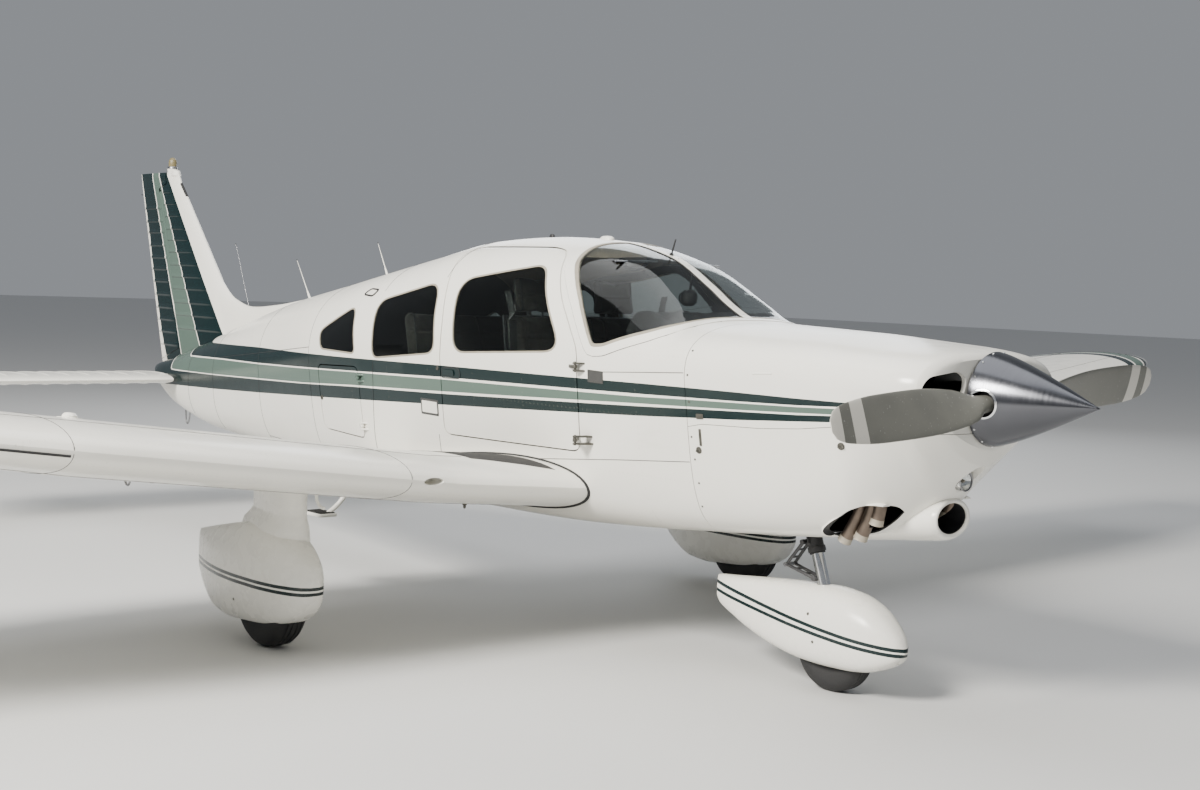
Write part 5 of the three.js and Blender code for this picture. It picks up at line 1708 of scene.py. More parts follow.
def hinged(whole, start, end, nose_start, nose_end, horn=None, beaded=None):
    """Parts a surface from what carries it: returns the moving and the fixed piece."""
    along = end - start
    span = along.length * 1000
    u = along.normalized()
    aft = Vector((-1, 0, 0))
    aft = (aft - u * aft.dot(u)).normalized()
    w = u.cross(aft)
    turn = Matrix((u, aft, w)).transposed().to_4x4()

    def slab(low, high, front, back=900, half=300):
        nothing_selected()
        bpy.ops.mesh.primitive_cube_add(size=1)
        piece = named("slab")
        piece.scale = Vector((high - low, back - front, 2 * half)) / 1000
        piece.location = Vector((high + low, back + front, 0)) / 2000
        settled(piece)
        piece.data.transform(Matrix.Translation(start) @ turn)
        return piece

    def nose(low, high, extra):
        radius = lambda d: nose_start + (nose_end - nose_start) * d / span + extra
        return rod(
            "nose", start + u * (low / 1000), start + u * (high / 1000), radius(low), radius(high),
            48
        )

    shape = carved(slab(0, span, 0), nose(0, span, 0), how="UNION")
    room = carved(
        slab(-MOVE_GAP, span + MOVE_GAP, -MOVE_GAP),
        nose(-MOVE_GAP, span + MOVE_GAP, MOVE_GAP),
        how="UNION",
    )
    if horn:
        foot, top = span + horn["foot"], span + horn["tall"]
        carved(shape, slab(span - 1, top, 0), slab(foot, top, -horn["reach"]), how="UNION")
        carved(
            room, slab(span, top, -MOVE_GAP),
            slab(foot - MOVE_GAP, top, -horn["reach"] - horn["swing"]), how="UNION"
        )
    moving = carved(twin(beaded or whole, "moving"), shape, how="INTERSECT")
    if horn:
        carved(
            moving,
            rod(
                "arm_room", start + u * (span - 1) / 1000, start + u * (span + horn["foot"]) / 1000,
                32
            ),
        )
    return moving, carved(whole, room)


def hinge_at(y):
    return wing_point(row_at(WING, y, False), CONTROL_SHARE, camber_at(CONTROL_SHARE, WING_CAMBER))


def nose_at(y):
    row = row_at(WING, y, False)
    return row[2] * half_thickness(CONTROL_SHARE, row[3]) * 0.97


INLET_SIDE = {"middle": 1228, "half": 50, "tall": 15}


def wing_inlet():
    """Room for the oval air hole in the leading edge."""
    station, y, height = wing_point(row_at(WING, INLET_SIDE["middle"], False), 0, 0)
    rings = []
    for reach, small in ((-40, 1), (30, 1), (70, 0.6)):
        angles = [math.tau * i / 32 for i in range(32)]
        rings.append(
            [
                at(
                    station + reach,
                    y + INLET_SIDE["half"] * small * math.cos(a),
                    height + INLET_SIDE["tall"] * small * math.sin(a),
                )
                for a in angles
            ]
        )
    return skin_through("inlet", rings)


def on_wing(y, share, under=False, lift=0):
    """A point on the wing's upper or lower surface, on the port side."""
    row = row_at(WING, y, False)
    up = half_thickness(share, row[3]) + lift / row[2]
    return at(*wing_point(row, share, camber_at(share, WING_CAMBER) + (-up if under else up)))


def wing_normal(y, share):
    across = on_wing(y + 10, share) - on_wing(y - 10, share)
    along = on_wing(y, share + 0.01) - on_wing(y, share - 0.01)
    normal = across.cross(along).normalized()
    return -normal if normal.z < 0 else normal


def wing_patch(name, y_span, shares, lift):
    """A thin slab on the wing; shares gives its front and back edge for each side distance."""
    rings = []
    for y in stations_between(*y_span, 20):
        front, back = shares(y)
        chordwise = [front + (back - front) * i / 24 for i in range(25)]
        over = [on_wing(y, share, lift=lift) for share in chordwise]
        below = [on_wing(y, share, lift=-1.5) for share in reversed(chordwise)]
        rings.append(over + below)
    return skin_through(name, rings)


def wing_section_line(y):
    """A thin line right round the wing at one side distance."""
    row = row_at(WING, y, False)
    spots = [at(*wing_point(row, *spot)) for spot in airfoil(row[3], WING_CAMBER, 40)]
    return [spot for spot in spots if spot.x > spots[40].x + row[2] * 0.215 / 1000]


def root_line():
    """Where the wing's surface meets the body, as a closed line."""
    spots = []
    for share, up in airfoil(0.135, WING_CAMBER, 36):
        y = 540
        for _ in range(12):
            row = row_at(WING, y, False)
            station, _, height = wing_point(row, share, up)
            y = skin_side(station, height)
        spots.append(at(*wing_point(row_at(WING, y, False), share, up)))
    return spots


def both_sides(name, piece, material, slot):
    """The port piece, and its mirror image on the starboard side."""
    painted(piece, material)
    fitted(mirrored(piece, f"{name}_R"), "airframe", slot)
    piece.name = f"{name}_L"
    fitted(piece, "airframe", slot)


def make_wing_fittings():
    both_sides(
        "wing_root_seal", tube("seal", root_line(), 8, 10, steps=1, looped=True), RUBBER, "trim"
    )
    walkway = wing_patch("walkway", (556, 880), lambda y: (0.055 + (y - 556) * 0.00028, 0.76), 1.0)
    both_sides("walkway", walkway, GRIP, "trim")
    lines = [thread("line", wing_section_line(y), 1.1) for y in (1340, 2790, 4948)]
    spar = [on_wing(y, 0.17) for y in range(900, 4940, 60)]
    rear = [on_wing(y, 0.62) for y in range(900, 4940, 60)]
    under_spar = [on_wing(y, 0.17, True) for y in range(700, 4940, 60)]
    lines += [thread("line", spots, 1.2) for spots in (spar, rear, under_spar)]
    both_sides("wing_seams", joined("seams", *lines), RUBBER, "trim")
    spot, normal = on_wing(2600, 0.30), wing_normal(2600, 0.30)
    cap = turned(
        "cap", [(0, 21), (14, 20.5), (23, 17), (29, 9), (30, -3), (0, -3)], spot, normal, 40
    )
    collar = turned(
        "collar", [(29.5, -2), (48, -2), (48, 1.2), (29.5, 3)], spot, normal, 40, loop=True
    )
    both_sides("fuel_cap", cap, PAINT, "skin")
    both_sides("fuel_cap_collar", collar, PAINT, "skin")
    # Painted shade: a dark strip just under the outer wing's leading edge stands in for the shade
    # on its underside.
    edge = [on_wing(y, 0.004, True, 1.5) for y in range(2800, 4901, 50)]
    both_sides("leading_edge_shade_strip", tube("strip", edge, 5, 10, steps=1), RUBBER, "trim")
    spot = on_wing(860, 0.19, True)
    drain = turned(
        "drain", [(0, 22), (5, 20), (7, 12), (5, 8), (9, 6), (12, 0), (12, -4), (0, -4)], spot,
        (0, 0, -1), 20
    )
    both_sides("fuel_drain", drain, FITTING, "steel")
    start = on_wing(1560, 0.24, True, -8)
    vent = tube(
        "vent",
        [
            start, start + Vector((0.006, 0, -0.03)), start + Vector((0.03, 0, -0.052)),
            start + Vector((0.062, 0, -0.056))
        ],
        7,
        12,
    )
    both_sides("tank_vent", vent, PAINT, "moulding")
    spot = on_wing(2270, 0.42, True)
    ring = tube(
        "ring",
        [
            spot + Vector(d) / 1000
            for d in (
                (-20, 0, 6), (-20, 0, -14), (-8, 0, -28), (8, 0, -28), (20, 0, -14), (20, 0, 6)
            )
        ],
        4.5,
        10,
    )
    both_sides("tie_down_ring", ring, STEEL, "steel")
    pad = rod(
        "pad", on_wing(2200, 0.36, True, -6), on_wing(2200, 0.36, True, 6), 24, 18, sides=32,
        bevel=2
    )
    both_sides("jack_point", pad, FITTING, "steel")
    spot = on_wing(2440, 0.36, True)
    mast = skin_through(
        "mast",
        [
            [
                spot + Vector((0.055 - share * 0.11, up * 0.11, -drop)) + Vector((drop * 0.3, 0, 0))
                for share, up in airfoil(0.2)
            ]
            for drop in (-0.006, 0.05, 0.1, 0.135)
        ],
    )
    tip = rod(
        "tip", spot + Vector((0.12, 0, -0.134)), spot + Vector((0.0, 0, -0.134)), 8, sides=20,
        bevel=2
    )
    bore = rod(
        "bore", spot + Vector((0.13, 0, -0.134)), spot + Vector((0.09, 0, -0.134)), 4, sides=16
    )
    mast = carved(mast, tip, how="UNION")
    mast = carved(mast, bore)
    mast.name = "pitot_mast"
    fitted(painted(mast, PAINT), "airframe", "moulding")
    tab = plate(
        "stall_tab",
        [
            on_wing(2960, 0.0, False) + Vector(d) / 1000
            for d in ((-5, -9, 0), (19, -7, 0), (21, 7, 0), (-5, 9, 0))
        ],
        (0, 0, 0.0012),
    )
    fitted(painted(tab, FITTING), "airframe", "steel")


NAV_LIGHT = {"y": 5262, "share": 0.06}


def make_nav_lights():
    row = row_at(TIP, NAV_LIGHT["y"], True)
    spot = at(*wing_point(row, NAV_LIGHT["share"], 0))
    rings = []
    for i in range(17):
        turn = i / 16
        swell = max(math.sin(math.pi * turn) ** 0.6, 0.04)
        centre = spot + Vector((0.052 - 0.11 * turn, 0.012 - 0.018 * turn, 0))
        rings.append([
            centre + Vector((0, 0.023 * swell * math.cos(a), 0.021 * swell * math.sin(a)))
            for a in (math.tau * k / 28 for k in range(28))
        ])
    lens = skin_through("lens", rings)
    base = tube(
        "base",
        [
            spot + Vector((-0.062, 0.002, 0)),
            spot + Vector((0.002, 0.01, 0)),
            spot + Vector((0.02, 0.01, 0)),
        ],
        19,
        24,
    )
    both_sides("nav_light_base", base, STEEL, "bare_metal")
    fitted(painted(mirrored(lens, "nav_light_R"), GREEN_LENS), "airframe", "lens")
    lens.name = "nav_light_L"
    fitted(painted(lens, RED_LENS), "airframe", "lens")


def make_wings():
    station, _, height = hinge_at(CRANK_SIDE)
    inner = at(station, FLAP["inner"], height - (CRANK_SIDE - FLAP["inner"]) * DIHEDRAL_SLOPE)
    whole = wing_skin("whole", WING, 250)
    beads = wing_skin("beads", WING, 6, beaded=True)
    outer = FLAP["outer"]
    flap, wing = hinged(
        whole, inner, at(*hinge_at(outer)), nose_at(CRANK_SIDE), nose_at(outer), beaded=beads
    )
    starts, ends = AILERON["inner"], AILERON["outer"]
    noses = nose_at(starts), nose_at(ends)
    aileron, wing = hinged(wing, at(*hinge_at(starts)), at(*hinge_at(ends)), *noses, beaded=beads)
    bpy.data.objects.remove(beads)
    carved(wing, painted(wing_inlet(), TRIM))
    carved(wing, body_skin("room", BODY, 1700, 4500, -SEAT_GAP, pitch=80))
    tip = wing_skin("tip", TIP, 14, True)
    for name, side in SIDES.items():
        for piece, label, body, replaced in (
            (wing, "wing_skin", "airframe", "wing"), (flap, "flap_skin", "flap", "flap"),
            (aileron, "aileron_skin", "aileron", "aileron"),
            (tip, "wingtip_skin", "airframe", "wingtip")
        ):
            label = f"{label}_{name}"
            sided = twin(piece, label) if side > 0 else mirrored(piece, label)
            painted(sided, WING_PAINT)
            body = body if body == "airframe" else f"{body}_{name}"
            fitted(
                sided, body, "moulding" if replaced == "wingtip" else "skin", f"{replaced}_{name}"
            )
    for piece in (wing, flap, aileron, tip):
        bpy.data.objects.remove(piece)


make_wings()
make_wing_fittings()
make_nav_lights()


# Tail surfaces
RUDDER = {"foot": HINGE_FOOT, "head": (7205, 2168), "nose_foot": 31.5, "nose_head": 29.5}
HORN = {"foot": 26, "tall": 400, "reach": 95, "swing": 10}
BEACON = {"station": 7089, "seat": 2317, "radius": 34}
STAB = {
    "half": 1960, "front": 6645, "chord": 765, "z": 930, "thick": 0.085, "inner": 190,
    "pivot": 6860, "beads": 132
}
TAB = {"station": 7268, "half": 1290}


def fin_ring(height, front, back, thick, beaded=False):
    chord = back - front
    hinge = HINGE_FOOT[0] + (height - HINGE_FOOT[1]) * HINGE_RUN[0] / HINGE_RUN[1]
    dark = 6282 + (height - FIN_BEAD_LINE["z"]) * FIN_BEAD_LINE["slope"]
    ring = []
    for share, up in airfoil(thick / chord, steps=46 if beaded else 26):
        station, side = front + share * chord, up * chord
        if beaded:
            on_fin = soft_step(station, dark + 8, dark + 8 + BEAD_END) * soft_step(
                -station, -hinge + 34, -hinge + 50
            )
            on_rudder = soft_step(station, hinge + 14, hinge + 44) * soft_step(
                -station, -back + 6, -back + 22
            )
            rise = bead_rise(height, FIN_BEADS) * on_fin + bead_rise(
                height, RUDDER_BEADS
            ) * on_rudder
            side += math.copysign(rise, up)
        ring.append(at(station, side, height))
    return ring


def make_fin():
    rows = [row_at(FIN, z, False) for z in stations_between(FIN[0][0], FIN[-1][0], 5, FIN)]
    fin = skin_through("fin_skin", [fin_ring(*row, beaded=True) for row in rows])
    rings = []
    for station, top, half in smooth_rows(DORSAL, 40):
        foot = row_at(BODY, station)[1] - 30
        angles = [math.pi * i / 14 for i in range(15)]
        rings.append(
            [
                at(station, half * math.cos(a), foot + (top - foot) * math.sin(a) ** 0.7)
                for a in angles
            ]
        )
    carved(fin, skin_through("dorsal", rings), how="UNION")
    foot, head = (at(RUDDER[key][0], 0, RUDDER[key][1]) for key in ("foot", "head"))
    rudder, fin = hinged(fin, foot, head, RUDDER["nose_foot"], RUDDER["nose_head"], HORN)
    seat = rod(
        "seat", at(BEACON["station"], 0, 2240), at(BEACON["station"], 0, BEACON["seat"]), 22,
        BEACON["radius"] + 2
    )
    cap = skin_through("cap", [fin_ring(2270, 6994, 7126, 56), fin_ring(2306, 7010, 7126, 48)])
    carved(fin, seat, cap, how="UNION")
    return rudder, fin


rudder_piece, fin_piece = make_fin()
carved(fin_piece, body_skin("room", BODY, 4500, 7229, -SEAT_GAP))
carved(rudder_piece, body_skin("room", BODY, 4500, 7229, -MOVE_GAP - 3))
rudder_piece.name = "rudder_skin"
fin_piece.name = "fin_skin"
fitted(painted(fin_piece, FIN_PAINT), "airframe", "skin", "fin")
fitted(painted(rudder_piece, FIN_PAINT), "rudder", "skin", "rudder")
edge_spots = [at(row_at(FIN, z, False)[1] + 3, 0, z) for z in (2131, 2150, 2172, 2195, 2216)]
fitted(painted(tube("fin_edge_strip", edge_spots, 9, 16), RUBBER), "airframe", "trim")


def make_stabilator():
    def ring(y, scale=1):
        front = STAB["front"] + STAB["chord"] * (1 - scale) * 0.45
        chord = STAB["chord"] * scale
        spots = []
        for share, up in airfoil(STAB["thick"], steps=34):
            if scale == 1:
                spread = soft_step(share, 0.10, 0.15) * soft_step(-share, -0.78, -0.74)
                spread += soft_step(share, 0.84, 0.87) * soft_step(-share, -0.97, -0.95)
                up += math.copysign(bead_rise(y, (stab_bead(y),)) * spread / chord, up)
            spots.append(at(front + share * chord, y, STAB["z"] + up * chord))
        return spots

    def stab_bead(y):
        return (y // STAB["beads"] + 0.5) * STAB["beads"]

    half = STAB["half"]
    sides = [(-half, 0.86), (-half + 12, 0.94), (-half + 40, 1)]
    inner = [(y, 1) for y in range(-half + 46, half - 44, 6)]
    rings = [ring(*spot) for spot in sides + inner + [(-y, scale) for y, scale in reversed(sides)]]
    whole = skin_through("stabilator_skin", rings)
    nose = STAB["chord"] * half_thickness(
        (TAB["station"] - STAB["front"]) / STAB["chord"], STAB["thick"]
    ) * 0.95
    start, end = (at(TAB["station"], y, STAB["z"]) for y in (-TAB["half"], TAB["half"]))
    tab, stabilator = hinged(whole, start, end, nose, nose)
    carved(stabilator, cuboid("room", (6500, 7600), (-STAB["inner"], STAB["inner"]), (700, 1200)))
    reach = STAB["inner"] + 40
    bar = rod("bar", at(STAB["pivot"], -reach, STAB["z"]), at(STAB["pivot"], reach, STAB["z"]), 24)
    carved(stabilator, bar, how="UNION")
    tab.name = "tab_skin"
    fitted(painted(stabilator, WING_PAINT), "stabilator", "skin", "stabilator")
    fitted(painted(tab, WING_PAINT), "tab", "skin", "stabilator_tab")


make_stabilator()


# Aerials, lights and rings on the body
WHIPS = [((5309, 1486), (5479, 1729)), ((4503, 1630), (4620, 1836)), ((5985, 1318), (6217, 1820))]


def make_aerials():
    for number, ((station, height), (tip_station, tip_height)) in enumerate(WHIPS):
        height = row_at(BODY, station)[1]
        foot, tip = at(station, 0, height), at(tip_station, 0, tip_height)
        along = (tip - foot).normalized()
        thin = number == 2
        sleeve = foot + along * (0.02 if thin else 0.075)
        base = turned(
            "base", [(0, 9), (9, 9), (22, 3), (26, 0), (26, -6), (0, -6)], foot, (0, 0, 1), 32
        )
        cone = rod("cone", foot, sleeve, 9 if not thin else 6, 4.5 if not thin else 3, sides=20)
        whip = rod("whip", sleeve - along * 0.01, tip, 3.2 if not thin else 1.8, 1.1, sides=12)
        ball = rod("ball", tip - along * 0.004, tip + along * 0.004, 2.6, sides=12, bevel=1)
        aerial = joined(
            f"whip_aerial_{number + 1}", painted(base, PAINT), painted(cone, PAINT),
            painted(whip, PAINT if not thin else STEEL), painted(ball, TRIM)
        )
        fitted(aerial, "airframe", "trim")
    for name, station, length, tall in (
        ("roof_fairing", 2687, 95, 17), ("roof_marker", 3095, 42, 24)
    ):
        roof = row_at(BODY, station)[1]
        rings = []
        for lift, small in (
            (-8, 1), (4, 0.97), (tall * 0.7, 0.8), (tall * 0.94, 0.55), (tall, 0.12)
        ):
            chord = length * small
            rings.append(
                [
                    at(station + (share - 0.45) * chord, up * chord, roof + lift)
                    for share, up in airfoil(0.5)
                ]
            )
        fitted(
            painted(skin_through(name, rings), PAINT if tall < 20 else TRIM), "airframe", "moulding"
        )
    foot, tip = at(2245, 0, row_at(BODY, 2245)[1] - 4), at(2218, 0, 1866)
    probe = rod("air_thermometer", foot, tip, 4.2, 3.4, sides=16, bevel=0.8)
    nut = rod("nut", foot, foot + (tip - foot).normalized() * 0.016, 11, 9, sides=6)
    fitted(painted(joined("air_thermometer", probe, nut), TRIM), "airframe", "trim")
    spots = [(6770, 770), (6778, 668), (6798, 626), (6822, 640), (6830, 700), (6834, 760)]
    ring = tube("tail_tie_ring", [at(s, 0, z) for s, z in spots], 5, 12)
    fitted(painted(ring, STEEL), "airframe", "steel")
    profile = [(0, 26), (7, 25), (13, 20), (16, 10), (16, 0)]
    lens = turned("tail_light", profile + [(0, 0)], at(7229, 0, 977), (-1, 0, 0), 28)
    fitted(painted(lens, CLEAR_GLASS), "airframe", "lens")
    ring = turned(
        "tail_light_ring", [(15, -6), (20, -6), (20, 4), (16.5, 7), (15, 4)], at(7229, 0, 977),
        (-1, 0, 0), 28, loop=True
    )
    fitted(painted(ring, STEEL), "airframe", "bare_metal")
    for name, side in SIDES.items():
        spots = [
            at(station, side * y, height)
            for station, y, height in ((3425, 412, 640), (3440, 416, 618), (3462, 420, 606))
        ]
        fitted(painted(tube(f"belly_vent_{name}", spots, 11, 16), TRIM), "airframe", "trim")


def make_beacon():
    centre = at(BEACON["station"], 0, BEACON["seat"] + SEAT_GAP)
    rings = []
    profile = [(27, 14), (27.4, 20), (27, 36), (25.5, 52), (21.5, 64), (14.5, 72.5), (6, 76.5)]
    for radius, height in profile:
        ring = []
        for i in range(96):
            rib = 0.7 if i % 4 < 2 and radius > 20 else 0
            ring.append(
                centre
                + Vector(
                    (
                        (radius - rib) * math.cos(math.tau * i / 96),
                        (radius - rib) * math.sin(math.tau * i / 96),
                        height,
                    )
                ) / 1000
            )
        rings.append(ring)
    lens = painted(skin_through("lens", rings), AMBER)
    base = [(0, 0), (34, 0), (34, 9), (32, 13), (33.5, 16), (0, 16)]
    base = painted(turned("base", base, centre, (0, 0, 1), 48), STEEL)
    fitted(joined("beacon_light", lens, base), "airframe", "lens", "beacon")
    tab = rod("rudder_static_wick", at(7522, 0, 2151), at(7539, 0, 2153), 3, 2, sides=10)
    fitted(painted(tab, TRIM), "rudder", "trim")


make_aerials()
make_beacon()


# Propeller and spinner
PROP = {"station": 394, "lean": 3.8}
BLADE_PITCH = 1500
SPINNER = {"length": 450, "radius": 182}


def make_blade(side):
    rings = []
    for radius, chord, thick in smooth_rows(BLADE, 18):
        angle = math.atan2(BLADE_PITCH, math.tau * max(radius, 200))
        ring = []
        for i in range(28):
            turn = math.tau * i / 28
            along, across = chord / 2 * math.cos(turn), thick / 2 * math.sin(turn)
            forward = along * math.sin(angle) + across * math.cos(angle)
            upward = -along * math.cos(angle) + across * math.sin(angle)
            ring.append(Vector((forward, -radius * side, upward * side)) / 1000)
        rings.append(ring)
    return skin_through("blade", rings)


def placed_on_shaft(piece):
    lean = Matrix.Rotation(math.radians(PROP["lean"]), 4, "X")
    piece.data.transform(Matrix.Translation(at(PROP["station"], 0, THRUST_Z)) @ lean)
    return piece


def make_propeller():
    hub = rod("hub", Vector((-0.06, 0, 0)), Vector((0.095, 0, 0)), 68, sides=48)
    propeller = carved(hub, make_blade(1), make_blade(-1), how="UNION")
    propeller.name = "propeller_blades"
    placed_on_shaft(painted(propeller, BLADE_PAINT))
    fitted(propeller, "propeller", "blade", "propeller")
    boots = []
    for side in (-1, 1):
        profile = [(0, 66), (44, 66), (48, 72), (48, 128), (44, 134), (0, 134)]
        boots.append(turned("boot", profile, Vector((0, 0, 0)), (0, side, 0), 40))
    placed_on_shaft(painted(joined("blade_boots", *boots), RUBBER))
    fitted(bpy.context.object, "propeller", "trim")
    steps = 30
    profile = [(0, 0)]
    for i in range(1, steps + 1):
        share = i / steps
        profile.append(
            (SPINNER["radius"] * (1 - (1 - share) ** 1.23) ** 1.03, share * SPINNER["length"])
        )
    inside = [(radius - 7, station + 4) for radius, station in profile[steps // 3:-2][::-4]]
    shell = profile + [
        (176, 450), (176, 446), (68.3, 446), (68.3, 438), (174, 438)
    ] + inside + [(0, 90)]
    tip = Vector((PROP["station"] / 1000, 0, 0))
    spinner = turned("spinner_shell", shell, tip, (-1, 0, 0), 64)
    lips = []
    for side in (-1, 1):
        carved(
            spinner,
            rod("slot", Vector((0, side * 0.08, 0)), Vector((0, side * 0.2, 0)), 50, sides=48),
        )
        lip = turned(
            "lip", [(49, 90), (56, 90), (56, 200), (49, 200)], Vector((0, 0, 0)), (0, side, 0), 48,
            loop=True
        )
        swollen = [(0, -3)] + [(radius + 2.2, station) for radius, station in profile[1:]] + [
            (182, 452), (0, 452)
        ]
        carved(lip, turned("swollen", swollen, tip, (-1, 0, 0), 64), how="INTERSECT")
        thin = [(0, 6)] + [
            (max(radius - 2.5, 0.1), station) for radius, station in profile[1:]
        ] + [(0, 460)]
        lips.append(carved(lip, turned("thin", thin, tip, (-1, 0, 0), 64)))
    placed_on_shaft(painted(joined("spinner_slot_lips", *lips), CHROME))
    fitted(bpy.context.object, "propeller", "bare_metal")
    places = []
    for i in range(16):
        turn = math.tau * (i + 0.5) / 16
        outward = Vector((0.05, math.sin(turn), math.cos(turn)))
        places.append(
            (Vector((-0.042, 0, 0)) + Vector((0, math.sin(turn), math.cos(turn))) * 0.1815, outward)
        )
    placed_on_shaft(painted(scattered("spinner_screws", screw_head(4.5, 1.3), places), CHROME))
    fitted(bpy.context.object, "propeller", "steel")
    placed_on_shaft(painted(spinner, SPINNER_METAL))
    fitted(spinner, "propeller", "bare_metal", "spinner")


make_propeller()


# Landing gear
TYRE = {"radius": 222, "width": 156, "rim": 76}
NOSE_TYRE = {"radius": 180, "width": 126, "rim": 63}
MAIN_WHEEL = {"station": 3119, "side": 1520}
NOSE_WHEEL = {"station": 1168}
SPAT_WALL = 6


def spat_skin(name, table, y, shrink, count=48, pitch=22):
    rings = []
    for station, top, bottom, half in smooth_rows(table, pitch):
        middle = (top + bottom) / 2
        tall, wide = max((top - bottom) / 2 - shrink, 2), max(half - shrink, 2)
        ring = []
        for i in range(count):
            angle = math.tau * i / count
            power = 2.4 if math.sin(angle) > 0 else 3.6
            bulge = lambda value: math.copysign(abs(value) ** (2 / power), value)
            ring.append(
                at(
                    station,
                    y + wide * bulge(math.cos(angle)),
                    middle + tall * bulge(math.sin(angle)),
                )
            )
        rings.append(ring)
    return skin_through(name, rings)


def wheel_opening(station, side, size, room):
    """The hole in a spat's underside, with round corners, and straight walls up to the axle."""
    long, wide = size["radius"] * room, size["width"] / 2 + 5
    corners = [
        [station - long, side - wide], [station + long, side - wide], [station + long, side + wide],
        [station - long, side + wide]
    ]
    return top_plate("opening", rounded(corners, 60), (20, size["radius"]))


def leg_column(y, shrink):
    rings = []
    for height, front, back, half in (
        row_at(LEG_FAIRING, z) for z in stations_between(430, 800, 30, LEG_FAIRING)
    ):
        nose = front + shrink * 2
        chord = back - shrink * 4 - nose
        rings.append(
            [
                at(nose + share * chord, y + up * chord, height)
                for share, up in airfoil(2 * (half - shrink) / chord)
            ]
        )
    return skin_through("column", rings)


def make_main_fairings():
    y = MAIN_WHEEL["side"]
    outer = spat_skin("spat", MAIN_SPAT, y, 0)
    carved(outer, leg_column(y - 15, 0), how="UNION")
    inner = spat_skin("inner", MAIN_SPAT[1:-1], y, SPAT_WALL)
    carved(inner, leg_column(y - 15, SPAT_WALL), how="UNION")
    carved(outer, inner)
    carved(outer, wheel_opening(MAIN_WHEEL["station"], y, TYRE, 0.86))
    wing = wing_skin("wing", WING, 250)
    wing.data.transform(Matrix.Translation((0, 0, -SEAT_GAP / 1000)))
    carved(outer, wing)
    painted(outer, SPAT_PAINT)
    for name, side in SIDES.items():
        sided = twin(outer, f"main_spat_{name}") if side > 0 else mirrored(
            outer, f"main_spat_{name}"
        )
        fitted(sided, "airframe", "moulding", f"main_fairing_{name}")
    bpy.data.objects.remove(outer)


SPAT_LINES = [((2768, 305), (3768, 308)), ((2768, 281), (3768, 286))]
NOSE_SPAT_LINES = [((806, 232), (1852, 352)), ((806, 210), (1852, 316))]
STRIPE_HALF = 7.5


def make_spat_paint(name, lines):
    finish = Finish(name, WHITE, 0.26, Specular_IOR_Level=0.4)
    for (s0, z0), (s1, z1) in lines:
        line = (finish.station - s0) * ((z1 - z0) / (s1 - s0)) + z0
        finish.tint(DEEP_GREEN, abs(finish.height - line) < STRIPE_HALF)
    grime = finish.noise(11, 6, (0.3, 1, 1), 0.65)
    finish.tint(WORN, (grime - 0.63).math("MAXIMUM", 0) * 0.7)
    finish.roughness(finish.noise(14, 4) * 0.25 + 0.15)
    return finish.material


SPAT_PAINT = make_spat_paint("striped_spat_paint", SPAT_LINES)
NOSE_SPAT_PAINT = make_spat_paint("striped_nose_spat_paint", NOSE_SPAT_LINES)
make_main_fairings()


def tyre_profile(size):
    radius, half, rim = size["radius"], size["width"] / 2, size["rim"]
    side = [
        (rim, half * 0.72), (rim + (radius - rim) * 0.12, half * 0.86),
        (rim + (radius - rim) * 0.35, half * 0.97), (rim + (radius - rim) * 0.52, half * 0.985),
        (rim + (radius - rim) * 0.68, half * 0.96), (rim + (radius - rim) * 0.82, half * 0.86),
        (rim + (radius - rim) * 0.93, half * 0.68), (rim + (radius - rim) * 0.985, half * 0.5)
    ]
    tread = []
    for place in (0.42, 0.14):
        top = radius - (place * half) ** 2 * 0.0009
        tread += [
            (top, half * (place + 0.06)), (top - 4, half * (place + 0.045)),
            (top - 4, half * (place - 0.0)), (top, half * (place - 0.015))
        ]
    near = side + tread
    return near + [(r, -y) for r, y in reversed(near)]


def make_wheel(name, body, centre, size):
    tyre = painted(
        turned(f"{name}_rubber", tyre_profile(size), centre, (0, 1, 0), 64, loop=True), RUBBER
    )
    fitted(tyre, body, "tyre", f"{name}_tyre")
    edge, half = size["rim"] - SEAT_GAP, size["width"] / 2
    near = [
        (15.6, half * 0.6), (30, half * 0.6), (36, half * 0.56), (40, half * 0.34),
        (edge - 20, half * 0.28), (edge - 10, half * 0.4), (edge - 5, half * 0.62),
        (edge, half * 0.68)
    ]
    rim = turned(
        f"{name}_hub", near + [(r, -y) for r, y in reversed(near)], centre, (0, 1, 0), 64, loop=True
    )
    fitted(painted(rim, ALUMINIUM), body, "bare_metal", f"{name}_rim")


for wheel_name, wheel_side in SIDES.items():
    make_wheel(
        f"main_{wheel_name}", f"main_wheel_{wheel_name}",
        at(MAIN_WHEEL["station"], wheel_side * MAIN_WHEEL["side"], TYRE["radius"]), TYRE,
    )
make_wheel("nose", "nose_wheel", at(NOSE_WHEEL["station"], 0, NOSE_TYRE["radius"]), NOSE_TYRE)


STEER_AXIS = {"top": (1430, 955), "foot": (1170, 222)}


def on_steer_axis(height):
    (s1, z1), (s0, z0) = STEER_AXIS["top"], STEER_AXIS["foot"]
    return at(s0 + (height - z0) * (s1 - s0) / (z1 - z0), 0, height)


SPAT_SCREWS = [(1219, 325), (1185, 214)]
MAIN_SPAT_SCREWS = [(3230, 200)]


def spat_screws(name, spat, spots, side, body):
    """Dark screw heads where a line across the aircraft meets a spat."""
    places = []
    for station, height in spots:
        start = at(station, side[0], height)
        found, place, normal, _ = spat.ray_cast(start, Vector((0, -side[1], 0)))
        if found:
            places.append((place, normal))
    fitted(painted(scattered(name, screw_head(8, 2), places), FITTING), body, "steel")


